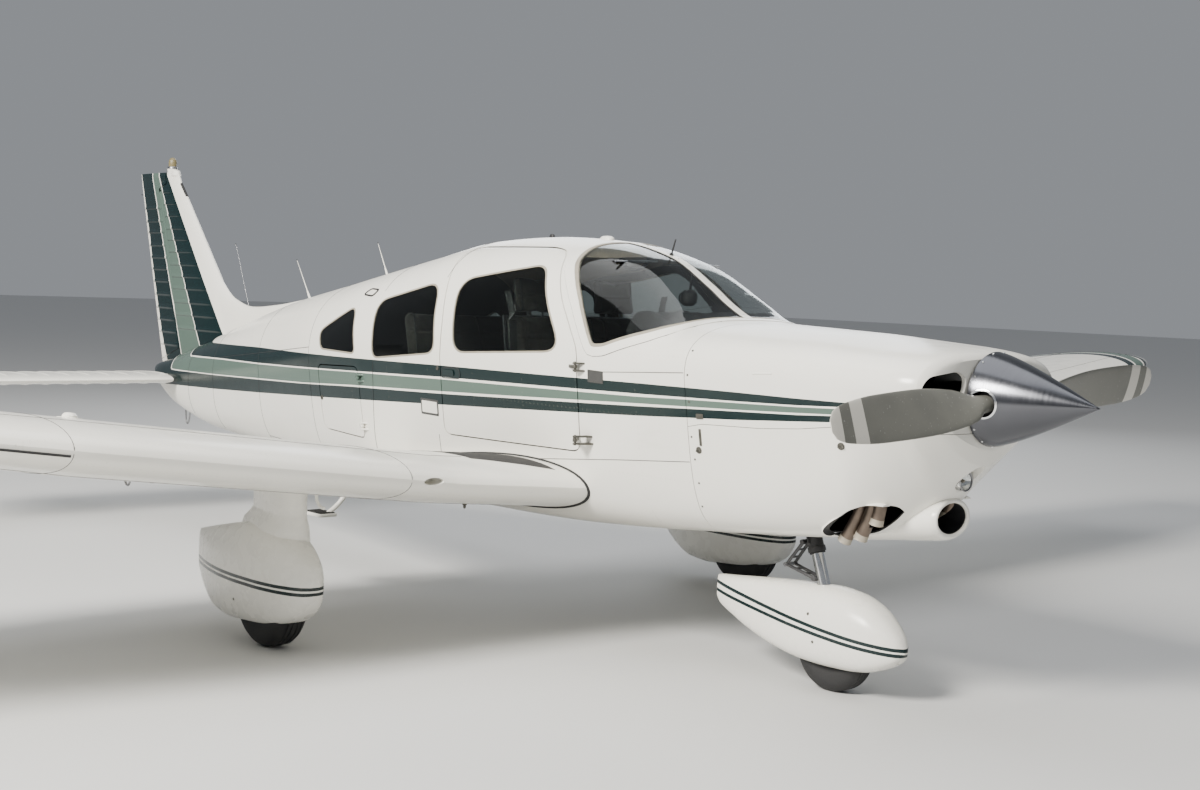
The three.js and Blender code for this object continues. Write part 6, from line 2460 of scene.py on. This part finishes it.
def make_nose_spat():
    spat = spat_skin("nose_spat", NOSE_SPAT, 0, 0)
    carved(spat, spat_skin("inner", NOSE_SPAT[1:-1], 0, SPAT_WALL))
    carved(spat, wheel_opening(NOSE_WHEEL["station"], 0, NOSE_TYRE, 0.86))
    carved(spat, rod("bore", on_steer_axis(360), on_steer_axis(500), 30))
    fitted(painted(spat, NOSE_SPAT_PAINT), "nose_gear", "moulding", "nose_fairing")
    for name, side in SIDES.items():
        spat_screws(f"nose_spat_screws_{name}", spat, SPAT_SCREWS, (side * 300, side), "nose_gear")
        main = bpy.data.objects[f"main_spat_{name}"]
        spat_screws(
            f"main_spat_screws_{name}", main, MAIN_SPAT_SCREWS, (side * 1800, side), "airframe"
        )


make_nose_spat()


def bolt(spot, normal, radius=8, tall=6):
    """A hexagon nut on a washer, with its bolt's round end."""
    normal = Vector(normal).normalized()
    washer = rod("washer", spot - normal * 0.002, spot + normal * 0.0015, radius * 1.35, sides=24)
    nut = rod("nut", spot, spot + normal * (tall / 1000), radius, sides=6, bevel=0.6)
    end = rod("end", spot, spot + normal * (tall * 1.5 / 1000), radius * 0.5, sides=14, bevel=0.6)
    return joined("bolt", washer, nut, end)


def make_nose_strut():
    barrel = tube("barrel", [on_steer_axis(930), on_steer_axis(565)], 33.5, 40)
    bands = [
        rod("band", on_steer_axis(z), on_steer_axis(z - tall), 38, sides=40, bevel=2)
        for z, tall in ((932, 30), (800, 12), (585, 22))
    ]
    carved(barrel, *bands, how="UNION")
    carved(barrel, rod("bore", on_steer_axis(800), on_steer_axis(560), 26.8, sides=40))
    painted(barrel, TRIM)
    bracket = painted(cuboid("bracket", (1405, 1599.7), (-42, 42), (898, 960), 5), ENGINE)
    arms = [
        painted(
            tube(
                "arm",
                [at(1420, side * 30, 880), at(1500, side * 38, 830), at(1597, side * 40, 770)], 9,
                16
            ),
            ENGINE,
        )
        for side in (1, -1)
    ]
    bolts = [
        painted(bolt(at(station, side * 42, 930), (0, side, 0)), STEEL)
        for side in (1, -1)
        for station in (1450, 1560)
    ]
    line = painted(
        tube(
            "line",
            [
                on_steer_axis(900) + Vector((0.0, -0.04, 0)),
                on_steer_axis(760) + Vector((0.004, -0.046, 0)),
                on_steer_axis(600) + Vector((0, -0.04, 0)),
            ],
            4,
            12,
        ),
        RUBBER,
    )
    fitted(
        joined("nose_oleo_barrel", barrel, bracket, *arms, *bolts, line), "airframe", "steel",
        "nose_strut"
    )


FORK_SIDE = [[1198, 362], [1198, 386], [1280, 386], [1280, 362], [1206, 165], [1140, 165]]
LINK = {"top": (1353, 597), "knee": (1437, 490), "foot": 452}


def link_arm(start, end, spread_start, spread_end):
    """A forged link: two rails that draw together, with a web between them."""
    rails = [
        rod(
            "rail", start + Vector((0, side * spread_start / 1000, 0)),
            end + Vector((0, side * spread_end / 1000, 0)), 8, 6.5, sides=16
        )
        for side in (1, -1)
    ]
    web = []
    for share in (0.35, 0.68):
        spot = start.lerp(end, share)
        half = Vector((0, (spread_start + (spread_end - spread_start) * share) / 1000, 0))
        web.append(rod("web", spot - half, spot + half, 5, sides=14))
    eye = rod(
        "eye", start - Vector((0, 0.032, 0)), start + Vector((0, 0.032, 0)), 11, sides=24, bevel=1
    )
    return [*rails, *web, eye]


def make_nose_fork():
    piston = painted(rod("piston", on_steer_axis(770), on_steer_axis(376), 26, sides=48), CHROME)
    collar = painted(
        rod("collar", on_steer_axis(418), on_steer_axis(374), 36, 34, sides=40, bevel=2), ENGINE
    )
    seal = painted(
        turned(
            "seal", [(26.3, 0), (33, 0), (33, 12), (26.3, 14)], on_steer_axis(556),
            on_steer_axis(620) - on_steer_axis(556), 40, loop=True
        ),
        RUBBER,
    )
    top, knee = at(LINK["top"][0], 0, LINK["top"][1]), at(LINK["knee"][0], 0, LINK["knee"][1])
    upper = [painted(piece, ENGINE) for piece in link_arm(top, knee, 20, 26)]
    lower = [
        painted(piece, ENGINE)
        for piece in link_arm(on_steer_axis(LINK["foot"]) + Vector((-0.03, 0, 0)), knee, 20, 26)
    ]
    pin = painted(
        rod(
            "pin", knee - Vector((0, 0.036, 0)), knee + Vector((0, 0.036, 0)), 9, sides=24, bevel=1
        ),
        STEEL,
    )
    nuts = [
        painted(bolt(knee + Vector((0, side * 0.035, 0)), (0, side, 0), 7), STEEL)
        for side in (1, -1)
    ]
    pieces = [piston, collar, seal, *upper, *lower, pin, *nuts]
    outline = rounded(FORK_SIDE, 18, 4)
    for side in (1, -1):
        sides = (69.5, 83.5) if side > 0 else (-83.5, -69.5)
        pieces.append(painted(side_plate("cheek", outline, sides, 2.5), ENGINE))
        pieces.append(painted(bolt(at(1168, side * 83, 180), (0, side, 0), 17, 11), STEEL))
    crown = painted(cuboid("crown", (1198, 1282), (-83, 83), (360, 388), 6), ENGINE)
    axle = painted(rod("axle", at(1168, -90, 180), at(1168, 90, 180), 15, sides=32), STEEL)
    fitted(joined("nose_fork_set", *pieces, crown, axle), "nose_gear", "steel", "nose_fork")


def make_boarding_step():
    run = [
        at(3985, -360, 700), at(4000, -370, 690), at(4030, -520, 540), at(4048, -590, 455),
        at(4060, -640, 412)
    ]
    bar = painted(tube("bar", run, 13, 24, steps=8), PAINT)
    pad = rounded([[4010, -720], [4180, -720], [4180, -610], [4010, -610]], 22)
    plate_piece = painted(top_plate("pad", pad, (399, 416), 3), PAINT)
    tread = painted(top_plate("tread", inset(pad, 8), (415.5, 419.6)), GRIP)
    ridges = [
        painted(cuboid("ridge", (station, station + 5), (-708, -622), (419, 421.5), 1), GRIP)
        for station in range(4030, 4165, 16)
    ]
    flange = painted(
        rod("flange", at(3988, -352, 712), at(4006, -388, 672), 27, sides=32, bevel=2), PAINT
    )
    fitted(
        joined("cabin_step", bar, plate_piece, tread, *ridges, flange), "airframe", "steel",
        "boarding_step"
    )


make_nose_strut()
make_nose_fork()
make_boarding_step()


# Cabin interior: the finishes
def make_weave(name, color, thread_shade):
    finish = Finish(name, color, 0.82, Sheen_Weight=0.3)
    weave = (finish.side.off_multiple(2.4) * 0.4).either(finish.height.off_multiple(2.4) * 0.4)
    finish.tint(thread_shade, (finish.noise(40, 5) - 0.42).math("MAXIMUM", 0) * 1.3)
    finish.tint(thread_shade, (finish.noise(700, 2) - 0.5).math("MAXIMUM", 0) * 1.1)
    finish.bump(weave, 0.35, 0.4)
    finish.roughness(finish.noise(90, 3) * 0.12 + 0.76)
    return finish.material


COVER = make_weave("seat_cloth", (0.05, 0.043, 0.036), (0.022, 0.019, 0.016))
HEADLINER = make_weave("headliner_cloth", (0.24, 0.185, 0.12), (0.14, 0.105, 0.07))
CARPET = make_weave("cabin_carpet", (0.07, 0.062, 0.055), (0.025, 0.022, 0.02))
WEBBING = make_weave("belt_webbing", (0.045, 0.045, 0.048), (0.02, 0.02, 0.022))
SOFT_BLACK = plain_finish("soft_black_cover", (0.014, 0.014, 0.015), 0.85, grain=140, depth=0.6)
DIAL_FACE = plain_finish("dial_face", (0.012, 0.012, 0.013), 0.5, grain=60, depth=0.02)
DIAL_MARK = plain_finish("dial_mark", (0.66, 0.66, 0.62), 0.5, grain=60, depth=0.02)
RED_KNOB = plain_finish("red_knob", (0.42, 0.02, 0.015), 0.35, grain=60, depth=0.05)


# Padded pieces swell as cloth under pressure; no point moves farther than the cap.
def swollen(pad, voxel, cap, resting=True, rounds=20):
    only(pad)
    step = pad.modifiers.new("step", "REMESH")
    step.mode = "VOXEL"
    step.voxel_size = voxel / 1000
    bpy.ops.object.modifier_apply(modifier=step.name)
    start = [vertex.co.copy() for vertex in pad.data.vertices]
    below = [vertex.normal.z < -0.75 for vertex in pad.data.vertices]
    cloth = pad.modifiers.new("cloth", "CLOTH")
    cloth.settings.use_pressure = True
    cloth.settings.uniform_pressure_force = 4
    cloth.settings.effector_weights.gravity = 0
    cloth.settings.quality = 5
    for frame_number in range(1, rounds + 1):
        bpy.context.scene.frame_set(frame_number)
    only(pad)
    bpy.ops.object.modifier_apply(modifier=cloth.name)
    bpy.context.scene.frame_set(1)
    for vertex, before, rests in zip(pad.data.vertices, start, below):
        move = vertex.co - before
        if move.length > cap / 1000:
            move = move.normalized() * (cap / 1000)
        if resting and rests:
            move.z = max(move.z, -0.001)
        vertex.co = before + move
    step = pad.modifiers.new("step", "SUBSURF")
    step.levels = step.render_levels = 1
    bpy.ops.object.modifier_apply(modifier=step.name)
    return pad


def grooved(pad, channels, width=13, depth=6):
    """Sewn channels: points near a channel's plane sink along their normals."""
    normals = [vertex.normal.copy() for vertex in pad.data.vertices]
    for vertex, normal in zip(pad.data.vertices, normals):
        forward, side, height = (value * 1000 for value in vertex.co)
        station = LENGTH / 2 - forward
        sink = 0
        for distance, facing in channels(station, side, height, normal):
            if facing and abs(distance) < width:
                sink = max(sink, depth * (1 - (distance / width) ** 2) ** 2)
        vertex.co -= normal * (sink / 1000)
    return pad


def piping(pad, spots, radius=4):
    """A piped seam laid on the pad's surface along a closed line."""
    on_pad = []
    for spot in spots:
        found, place, normal, _ = pad.closest_point_on_mesh(spot)
        on_pad.append(place + normal * 0.001 if found else spot)
    return tube("piping", on_pad, radius, 10, steps=1, looped=True)


def pad_rim(outline, side):
    """The seam's line round one side of a pad."""
    return [
        at(station, side, height)
        for station, height in split_evenly(outline + outline[:1], 22)[:-1]
    ]


def pad_from(outline, sides, limit=None):
    pad = side_plate("pad", outline, sides, 26)
    if limit:
        carved(pad, body_skin("limit", BODY, 1800, REAR_BULKHEAD - 40, limit), how="INTERSECT")
    return pad


SEAT_CUSHION = [[2330, 940], [2330, 1030], [2800, 1000], [2830, 900]]
SEAT_BACK = [[2750, 960], [2860, 1520], [2945, 1500], [2850, 930]]
HEADREST = [[2850, 1500], [2885, 1680], [2955, 1670], [2935, 1490]]
BENCH_CUSHION = [[3150, 920], [3150, 1040], [3640, 1000], [3640, 880]]
BENCH_BACK = [[3560, 960], [3680, 1500], [3770, 1480], [3660, 940]]
SEAT_MIDDLE = 250


def piped_pad(name, pad, rims):
    """The pad in its cover, with a piped seam round each rim."""
    seams = [piping(pad, rim) for rim in rims]
    return joined(name, painted(pad, COVER), *[painted(seam, TRIM) for seam in seams])


def fitted_pad(piece, *replaced):
    fitted(piece, "airframe", "seat", *replaced, smooth=60)


def both_pads(name, pad, rims, *replaced):
    port = piped_pad(name, pad, rims)
    starboard = mirrored(port, f"{name}_R")
    port.name = f"{name}_L"
    for piece, side in ((port, "L"), (starboard, "R")):
        fitted_pad(piece, *[f"{node}_{side}" for node in replaced])


def make_front_pads():
    cushion = swollen(pad_from(rounded(inset(SEAT_CUSHION, 11), 34), (54, 442)), 9, 22)
    cushion = grooved(
        cushion,
        lambda s, y, z, n: [
            (y - SEAT_MIDDLE - 112, n.z > 0.3), (y - SEAT_MIDDLE + 112, n.z > 0.3),
            (s - 2470, n.z > 0.3), (s - 2610, n.z > 0.3)
        ],
    )
    both_pads(
        "front_cushion", cushion,
        [pad_rim(rounded(inset(SEAT_CUSHION, 14), 30), y) for y in (56, 440)], "front_seat"
    )
    back = swollen(pad_from(rounded(inset(SEAT_BACK, 11), 30), (68, 428), 44), 9, 20, False)
    back = grooved(
        back,
        lambda s, y, z, n: [
            (y - SEAT_MIDDLE - 105, n.x > 0.2),
            (y - SEAT_MIDDLE + 105, n.x > 0.2),
            *[(z - level, n.x > 0.3) for level in (1130, 1260, 1390)],
        ],
    )
    both_pads(
        "front_back", back, [pad_rim(rounded(inset(SEAT_BACK, 14), 26), y) for y in (70, 426)]
    )
    rest = swollen(pad_from(rounded(inset(HEADREST, 8), 22), (140, 360), 44), 7, 12, False)
    rest = grooved(rest, lambda s, y, z, n: [(z - 1588, n.x > 0.3)], 10, 4)
    both_pads("headrest", rest, [pad_rim(rounded(inset(HEADREST, 10), 20), y) for y in (142, 358)])


def make_rear_pads():
    cushion = swollen(pad_from(rounded(inset(BENCH_CUSHION, 11), 34), (-448, 448), 46), 11, 22)
    cushion = grooved(cushion, lambda s, y, z, n: [
        (y, n.z > -0.3), (abs(y) - 224, n.z > 0.3), (s - 3290, n.z > 0.3), (s - 3430, n.z > 0.3),
    ])
    rims = [pad_rim(rounded(inset(BENCH_CUSHION, 14), 30), y) for y in (-444, 444)]
    fitted_pad(piped_pad("rear_cushion", cushion, rims), "rear_seat")
    back = swollen(pad_from(rounded(inset(BENCH_BACK, 11), 30), (-438, 438), 46), 11, 20, False)
    back = grooved(
        back,
        lambda s, y, z, n: [
            (y, True),
            (abs(y) - 214, n.x > 0.2),
            *[(z - level, n.x > 0.3) for level in (1120, 1250, 1380)],
        ],
    )
    rims = [pad_rim(rounded(inset(BENCH_BACK, 14), 26), y) for y in (-400, 400)]
    fitted_pad(piped_pad("rear_back", back, rims))


# Seat frames and belts
def strap(name, spots, width, thick=1.8):
    """A flat band through points, lying across the aircraft or along it."""
    path = curved(spots, 6)
    rings = []
    for number, spot in enumerate(path):
        ahead = (path[min(number + 1, len(path) - 1)] - path[max(number - 1, 0)]).normalized()
        across = Vector((1, 0, 0)) if abs(ahead.y) > abs(ahead.x) else Vector((0, 1, 0))
        across = (across - ahead * across.dot(ahead)).normalized() * (width / 2000)
        up = ahead.cross(across).normalized() * (thick / 2000)
        rings.append(
            [spot + across + up, spot - across + up, spot - across - up, spot + across - up]
        )
    return skin_through(name, rings)


def make_seat_frame():
    pan = side_plate("pan", [[2340, 928], [2345, 940], [2815, 900], [2812, 890]], (60, 436), 3)
    shell = side_plate(
        "shell", [[2838, 930], [2930, 1488], [2942, 1486], [2852, 928]], (76, 420), 3
    )
    legs = [
        tube(
            "leg",
            [at(station, side, 712), at(station + 8, side, 800), at(station + lean, side, 915)], 11,
            20
        )
        for station, lean in ((2420, 10), (2760, -15))
        for side in (115, 395)
    ]
    stretchers = [
        rod("stretcher", at(2424, 115, z), at(2424, 395, z), 9, sides=20) for z in (760, 890)
    ]
    stretchers += [rod("stretcher", at(2750, 115, 840), at(2750, 395, 840), 9, sides=20)]
    stretchers += [
        rod("stretcher", at(2426, side, 780), at(2750, side, 780), 8, sides=20)
        for side in (115, 395)
    ]
    posts = [
        rod("post", at(2890, side, 1440), at(2912, side, 1560), 6, sides=20) for side in (205, 295)
    ]
    lever = tube("lever", [at(2400, 60, 880), at(2390, 48, 890), at(2330, 46, 905)], 5, 14)
    both_sides(
        "seat_frame", joined("frame", pan, shell, *legs, *stretchers, *posts, lever), STEEL, "steel"
    )
    rails = []
    for side in (115, 395):
        rail = cuboid("rail", (2250, 2950), (side - 17, side + 17), (700.5, 712), 2)
        holes = [
            cuboid("slot", (station, station + 14), (side - 4, side + 4), (690, 720))
            for station in range(2270, 2930, 44)
        ]
        rails.append(carved(rail, *holes))
    both_sides("seat_rails", joined("rails", *rails), ALUMINIUM, "bare_metal")


def make_belts():
    front = [at(2720, 448, 940), at(2700, 440, 1030), at(2660, 380, 1040), at(2640, 300, 1044)]
    inner = [at(2720, 56, 940), at(2700, 66, 1030), at(2660, 130, 1040), at(2640, 215, 1044)]
    rear = [at(3600, 430, 1005), at(3560, 400, 1040), at(3500, 340, 1046), at(3480, 270, 1050)]
    rear_inner = [at(3600, 60, 1010), at(3560, 80, 1040), at(3500, 130, 1046), at(3480, 190, 1050)]
    bands = [
        painted(strap("band", spots, 46), WEBBING) for spots in (front, inner, rear, rear_inner)
    ]
    shoulder = [at(2800, 505, 1600), at(2790, 480, 1500), at(2770, 470, 1250), at(2740, 462, 1010)]
    bands.append(painted(strap("band", shoulder, 44), WEBBING))
    buckles = [
        cuboid(
            "buckle", (station - 26, station + 26), (side - 38, side + 38),
            (height - 2, height + 13), 5
        )
        for station, side, height in ((2642, 255, 1046), (3482, 230, 1050))
    ]
    bands += [painted(buckle, CHROME) for buckle in buckles]
    whole = joined("belts", *bands)
    fitted(mirrored(whole, "belts_R"), "airframe", "seat")
    whole.name = "belts_L"
    fitted(whole, "airframe", "seat")


# Instrument panel
PANEL = {"front": 1926, "face": 1948, "low": 1050, "top": 1490, "half": 560}
GLARESHIELD = [
    [1640, 1405], [1640, 1427], [1800, 1486], [1950, 1540], [1994, 1528], [1990, 1450],
    [1962, 1420], [1926, 1405]
]
FLIGHT_DIALS = [(side, height) for height in (1400, 1302) for side in (345, 245, 145)]
SMALL_DIALS = [(side, height) for height in (1415, 1350) for side in (-300, -370, -440)]
ENGINE_DIALS = [(side, 1260) for side in (-165, -240, -315, -390)]


def dial_model(radius, hands):
    """A round instrument with a bezel, a dark face, tick marks and pale hands; no writing."""
    origin = Vector((0, 0, 0))
    bezel = painted(
        turned(
            "bezel", [(radius, 0), (radius + 5, 0), (radius + 5, 5), (radius + 2, 8), (radius, 6)],
            origin, (0, 0, 1), 36, loop=True
        ),
        TRIM,
    )
    face = painted(rod("face", origin, Vector((0, 0, 0.0022)), radius + 0.5, sides=36), DIAL_FACE)
    marks = []
    for number in range(12):
        turn = math.tau * number / 12
        out = Vector((math.cos(turn), math.sin(turn), 0))
        marks.append(
            painted(
                rod(
                    "mark", out * ((radius - 7) / 1000) + Vector((0, 0, 0.003)),
                    out * ((radius - 2) / 1000) + Vector((0, 0, 0.003)), 0.9, sides=5
                ),
                DIAL_MARK,
            )
        )
    for turn, reach in hands:
        out = Vector((math.cos(turn), math.sin(turn), 0)) * (reach * radius / 1000)
        marks.append(
            painted(
                rod(
                    "hand", Vector((0, 0, 0.0035)), out + Vector((0, 0, 0.0035)), 1.6, 0.6, sides=6
                ),
                DIAL_MARK,
            )
        )
    hub = painted(rod("hub", origin, Vector((0, 0, 0.005)), 3, sides=14, bevel=0.5), TRIM)
    return joined("dial", bezel, face, *marks, hub)


def knob_model(radius, tall, material):
    steps = [
        (0, tall), (radius * 0.85, tall), (radius, tall * 0.85), (radius, tall * 0.3),
        (radius * 0.55, tall * 0.2), (radius * 0.55, 0), (0, 0)
    ]
    return painted(turned("knob", steps, Vector((0, 0, 0)), (0, 0, 1), 24), material)


def on_panel(places, out=0):
    return [(at(PANEL["face"] + out, side, height), (-1, 0, 0)) for side, height in places]


def make_panel():
    board = cuboid(
        "board", (PANEL["front"], PANEL["face"]), (-PANEL["half"], PANEL["half"]),
        (PANEL["low"], PANEL["top"])
    )
    carved(board, body_skin("limit", BODY, 1700, 2300, 13.5), how="INTERSECT")
    recess = cuboid("recess", (PANEL["face"] - 4, PANEL["face"] + 5), (-70, 90), (1226, 1441))
    carved(board, recess)
    pieces = [painted(board, TRIM)]
    for low, high in ((1232, 1262), (1266, 1312), (1316, 1356), (1360, 1400), (1404, 1438)):
        radio = cuboid("radio", (PANEL["face"] - 6, PANEL["face"] + 6), (-66, 86), (low, high), 2)
        window = painted(
            cuboid(
                "window", (PANEL["face"] + 5, PANEL["face"] + 7), (-20, 44), (low + 8, high - 8), 1
            ),
            DIAL_FACE,
        )
        pieces += [painted(radio, GREY_PLATE), window]
    dials = scattered("dials", dial_model(38, [(1.1, 0.8), (3.5, 0.55)]), on_panel(FLIGHT_DIALS))
    small = scattered("small", dial_model(26, [(2.2, 0.8)]), on_panel(SMALL_DIALS + ENGINE_DIALS))
    knob_places = [
        (side, height) for height in (1247, 1289, 1336, 1380, 1421) for side in (-50, 72)
    ]
    knobs = scattered("knobs", knob_model(7, 12, TRIM), on_panel(knob_places, 6))
    switches = scattered(
        "switches",
        knob_model(3.4, 15, STEEL),
        on_panel([(side, 1090) for side in range(430, 90, -38)]),
    )
    screws = scattered(
        "screws",
        painted(screw_head(4), STEEL),
        on_panel([(side, height) for side in (-470, -120, 105, 400) for height in (1120, 1455)]),
    )
    whole = joined("panel_board", *pieces, dials, small, knobs, switches, screws)
    fitted(whole, "airframe", "trim", "instrument_panel")


def make_glareshield():
    rings = []
    for step in range(-56, 57):
        side = step * 10
        wave = 3.5 * math.sin(side / 41) + 2.2 * math.sin(side / 17 + 1)
        rings.append(
            [at(s, side, z + (wave if z > 1445 else 0)) for s, z in rounded(GLARESHIELD, 10, 3)]
        )
    cover = skin_through("glareshield", rings)
    carved(cover, body_skin("limit", BODY, 1602, 2300, 13.5), how="INTERSECT")
    fitted(painted(cover, SOFT_BLACK), "airframe", "trim")


def make_yoke(name, side):
    grips = [
        (-125, 1300), (-130, 1225), (-88, 1196), (0, 1200), (88, 1196), (130, 1225), (125, 1300)
    ]
    wheel = painted(tube("wheel", [at(2085, side + y, z) for y, z in grips], 13, 18), TRIM)
    column = painted(
        rod("column", at(1930, side, 1215), at(2085, side, 1215), 12, sides=24), CHROME
    )
    boss = painted(
        turned(
            "boss", [(0, 22), (20, 20), (30, 8), (32, -14), (0, -16)], at(2085, side, 1213),
            (-1, 0, 0), 32
        ),
        TRIM,
    )
    collar = painted(
        turned(
            "collar", [(12.4, 0), (26, 0), (24, 9), (12.4, 12)], at(1948, side, 1215), (-1, 0, 0),
            28, loop=True
        ),
        STEEL,
    )
    fitted(joined(name, wheel, column, boss, collar), "airframe", "trim")


def make_pedestal():
    box = painted(cuboid("box", (1932, 2012), (-69, 69), (701, 1120), 6), SOFT_BLACK)
    slots = [
        cuboid("slot", (1990, 2030), (side - 4, side + 4), (1010, 1090)) for side in (-36, 0, 36)
    ]
    carved(box, *slots)
    levers = []
    for side, tall, material in ((-36, 1120, RED_KNOB), (0, 1126, GREY_PLATE), (36, 1136, TRIM)):
        levers.append(
            painted(
                rod("lever", at(1995, side, 1030), at(2062, side, tall - 12), 4, sides=14), STEEL
            )
        )
        levers.append(
            painted(
                rod(
                    "grip", at(2052, side, tall - 20), at(2074, side, tall + 4), 11, 13, sides=24,
                    bevel=4
                ),
                material,
            )
        )
    trim_wheel = painted(
        turned(
            "wheel", [(46, -9), (52, -6), (52, 6), (46, 9), (43, 0)], at(2006, 0, 900), (0, 1, 0),
            40, loop=True
        ),
        TRIM,
    )
    fitted(joined("pedestal", box, *levers, trim_wheel), "airframe", "trim")
    pedals = []
    for side in (-330, -170, 170, 330):
        pedals.append(
            painted(cuboid("pedal", (1742, 1754), (side - 42, side + 42), (790, 900), 4), GRIP)
        )
        pedals.append(
            painted(rod("arm", at(1750, side, 850), at(1700, side, 712), 9, sides=16), STEEL)
        )
    bar = painted(rod("bar", at(1700, -372, 716), at(1700, 372, 716), 11, sides=20), STEEL)
    fitted(joined("rudder_pedals", *pedals, bar), "airframe", "steel")


def make_cabin_linings():
    outline = [
        [2215, 1782], [2330, 1766], [2560, 1766], [3200, 1690], [3900, 1560], [3900, 1900],
        [2215, 1900]
    ]
    roof = skin_patch("headliner", outline, 0, SKIN + 0.6, SKIN + 4.5)
    carved(roof, band(door_outline, -1))
    fitted(painted(roof, HEADLINER), "airframe", "trim")
    carpet = cuboid("carpet", (1614, 3900), (-560, 560), (700.4, 706))
    carved(carpet, body_skin("limit", BODY, 1605, 4100, SKIN + 1), how="INTERSECT")
    fitted(painted(carpet, CARPET), "airframe", "trim")
    base = cuboid("base", (3160, 3640), (-470, 470), (706, 905), 8)
    carved(base, body_skin("limit", BODY, 3000, 4100, SKIN + 6), how="INTERSECT")
    fitted(painted(base, CARPET), "airframe", "seat")
    base.name = "bench_base"
    wall = cuboid("baggage_wall", (3790, 3800), (-540, 540), (706, 1240))
    carved(wall, body_skin("limit", BODY, 3500, 4300, SKIN + 1), how="INTERSECT")
    fitted(painted(wall, LINING), "airframe", "trim")


WALL_TRIM = rounded([[2330, 1000], [2330, 1275], [3085, 1262], [3085, 985]], 40)
ARMREST = rounded([[2680, 1128], [2680, 1168], [3040, 1172], [3040, 1132]], 14)
POCKET = rounded([[2380, 1012], [2380, 1104], [2620, 1100], [2620, 1012]], 18)


def make_wall_trims():
    for side, body in ((-1, "door"), (1, "airframe")):
        trim = painted(skin_patch("trim", WALL_TRIM, side, SKIN + 0.4, SKIN + 4), CARPET)
        rest = painted(skin_patch("rest", ARMREST, side, SKIN + 3, SKIN + 48), SOFT_BLACK)
        pocket = painted(skin_patch("pocket", POCKET, side, SKIN + 3, SKIN + 12), SOFT_BLACK)
        hem = painted(
            tube(
                "hem", [on_side(s, 1103, side, -SKIN - 9) for s in range(2400, 2610, 20)], 3.4, 10,
                steps=1
            ),
            TRIM,
        )
        handle = [
            on_side(s, z, side, -SKIN - d)
            for s, z, d in ((2960, 1215, 2), (2965, 1217, 26), (3020, 1224, 30), (3062, 1230, 26))
        ]
        pull = painted(tube("pull", handle, 6, 14), CHROME)
        name = "door_trim" if side < 0 else "cabin_trim"
        fitted(joined(name, trim, rest, pocket, hem, pull), body, "trim")


def make_roof_fittings():
    top = row_at(BODY, 2105)[1]
    stem = painted(
        tube("stem", [at(2105, 0, top - 26), at(2108, 0, top - 60), at(2112, 0, 1632)], 6, 16), TRIM
    )
    ball = painted(
        turned(
            "ball", [(0, 40), (22, 37), (36, 22), (40, 0), (36, -22), (22, -37), (0, -40)],
            at(2118, 0, 1600), (0, 0, 1), 36
        ),
        TRIM,
    )
    face = painted(
        turned(
            "face", [(0, 3), (24, 3), (28, 0), (28, -8), (0, -8)], at(2156, 0, 1600), (-1, 0, 0), 30
        ),
        LAMP_GLASS,
    )
    fitted(joined("compass", stem, ball, face), "airframe", "trim")
    for name, side in SIDES.items():
        shade = top_plate(
            "shade",
            rounded(
                [[2255, side * 90], [2400, side * 84], [2405, side * 300], [2262, side * 310]], 24
            ),
            (1752, 1756),
            1,
        )
        rail = painted(
            rod("rail", at(2250, side * 80, 1760), at(2258, side * 330, 1752), 5, sides=14), CHROME
        )
        fitted(joined(f"sun_visor_{name}", painted(shade, TRIM), rail), "airframe", "trim")
    handle = tube(
        "roof_strap",
        [
            at(2330, -60, 1775), at(2345, -66, 1742), at(2400, -80, 1722), at(2460, -90, 1738),
            at(2480, -94, 1772)
        ],
        9,
        16,
    )
    fitted(painted(handle, SOFT_BLACK), "airframe", "trim")


make_front_pads()
make_rear_pads()
make_seat_frame()
make_belts()
make_panel()
make_glareshield()
for yoke_name, yoke_side in SIDES.items():
    make_yoke(f"yoke_{yoke_name}", yoke_side * 235)
make_pedestal()
make_cabin_linings()
make_wall_trims()
make_roof_fittings()

# The solids that stay get their finishes
for node in ("main_leg_L", "main_leg_R"):
    painted(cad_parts[node], STEEL)


# Floor and light
def make_floor():
    nothing_selected()
    bpy.ops.mesh.primitive_plane_add(size=160)
    floor = named("floor")
    finish = Finish("pale_floor", (0.62, 0.62, 0.61), 0.7)
    painted(floor, finish.material)


def make_light(name, place, target, size, power, color=(1, 1, 1)):
    bpy.ops.object.light_add(type="AREA", location=place)
    light = bpy.context.object
    light.name = name
    light.data.size = size
    light.data.energy = power
    light.data.color = color
    light.rotation_euler = (Vector(target) - Vector(place)).to_track_quat("-Z", "Y").to_euler()


def make_world():
    world = bpy.data.worlds.new("studio")
    world.use_nodes = True
    world.node_tree.nodes["Background"].inputs[0].default_value = (0.80, 0.84, 0.90, 1)
    world.node_tree.nodes["Background"].inputs[1].default_value = 0.34
    bpy.context.scene.world = world


make_floor()
make_world()
make_light("key_light", (3.0, -12, 9), (0.5, 0, 1), 4, 4600, (1, 0.965, 0.90))
make_light("top_light", (0, 0, 10), (0, 0, 0), 9, 600)
make_light("fill_light", (-8, 9, 6), (0, 0, 1), 7, 450, (0.92, 0.96, 1))
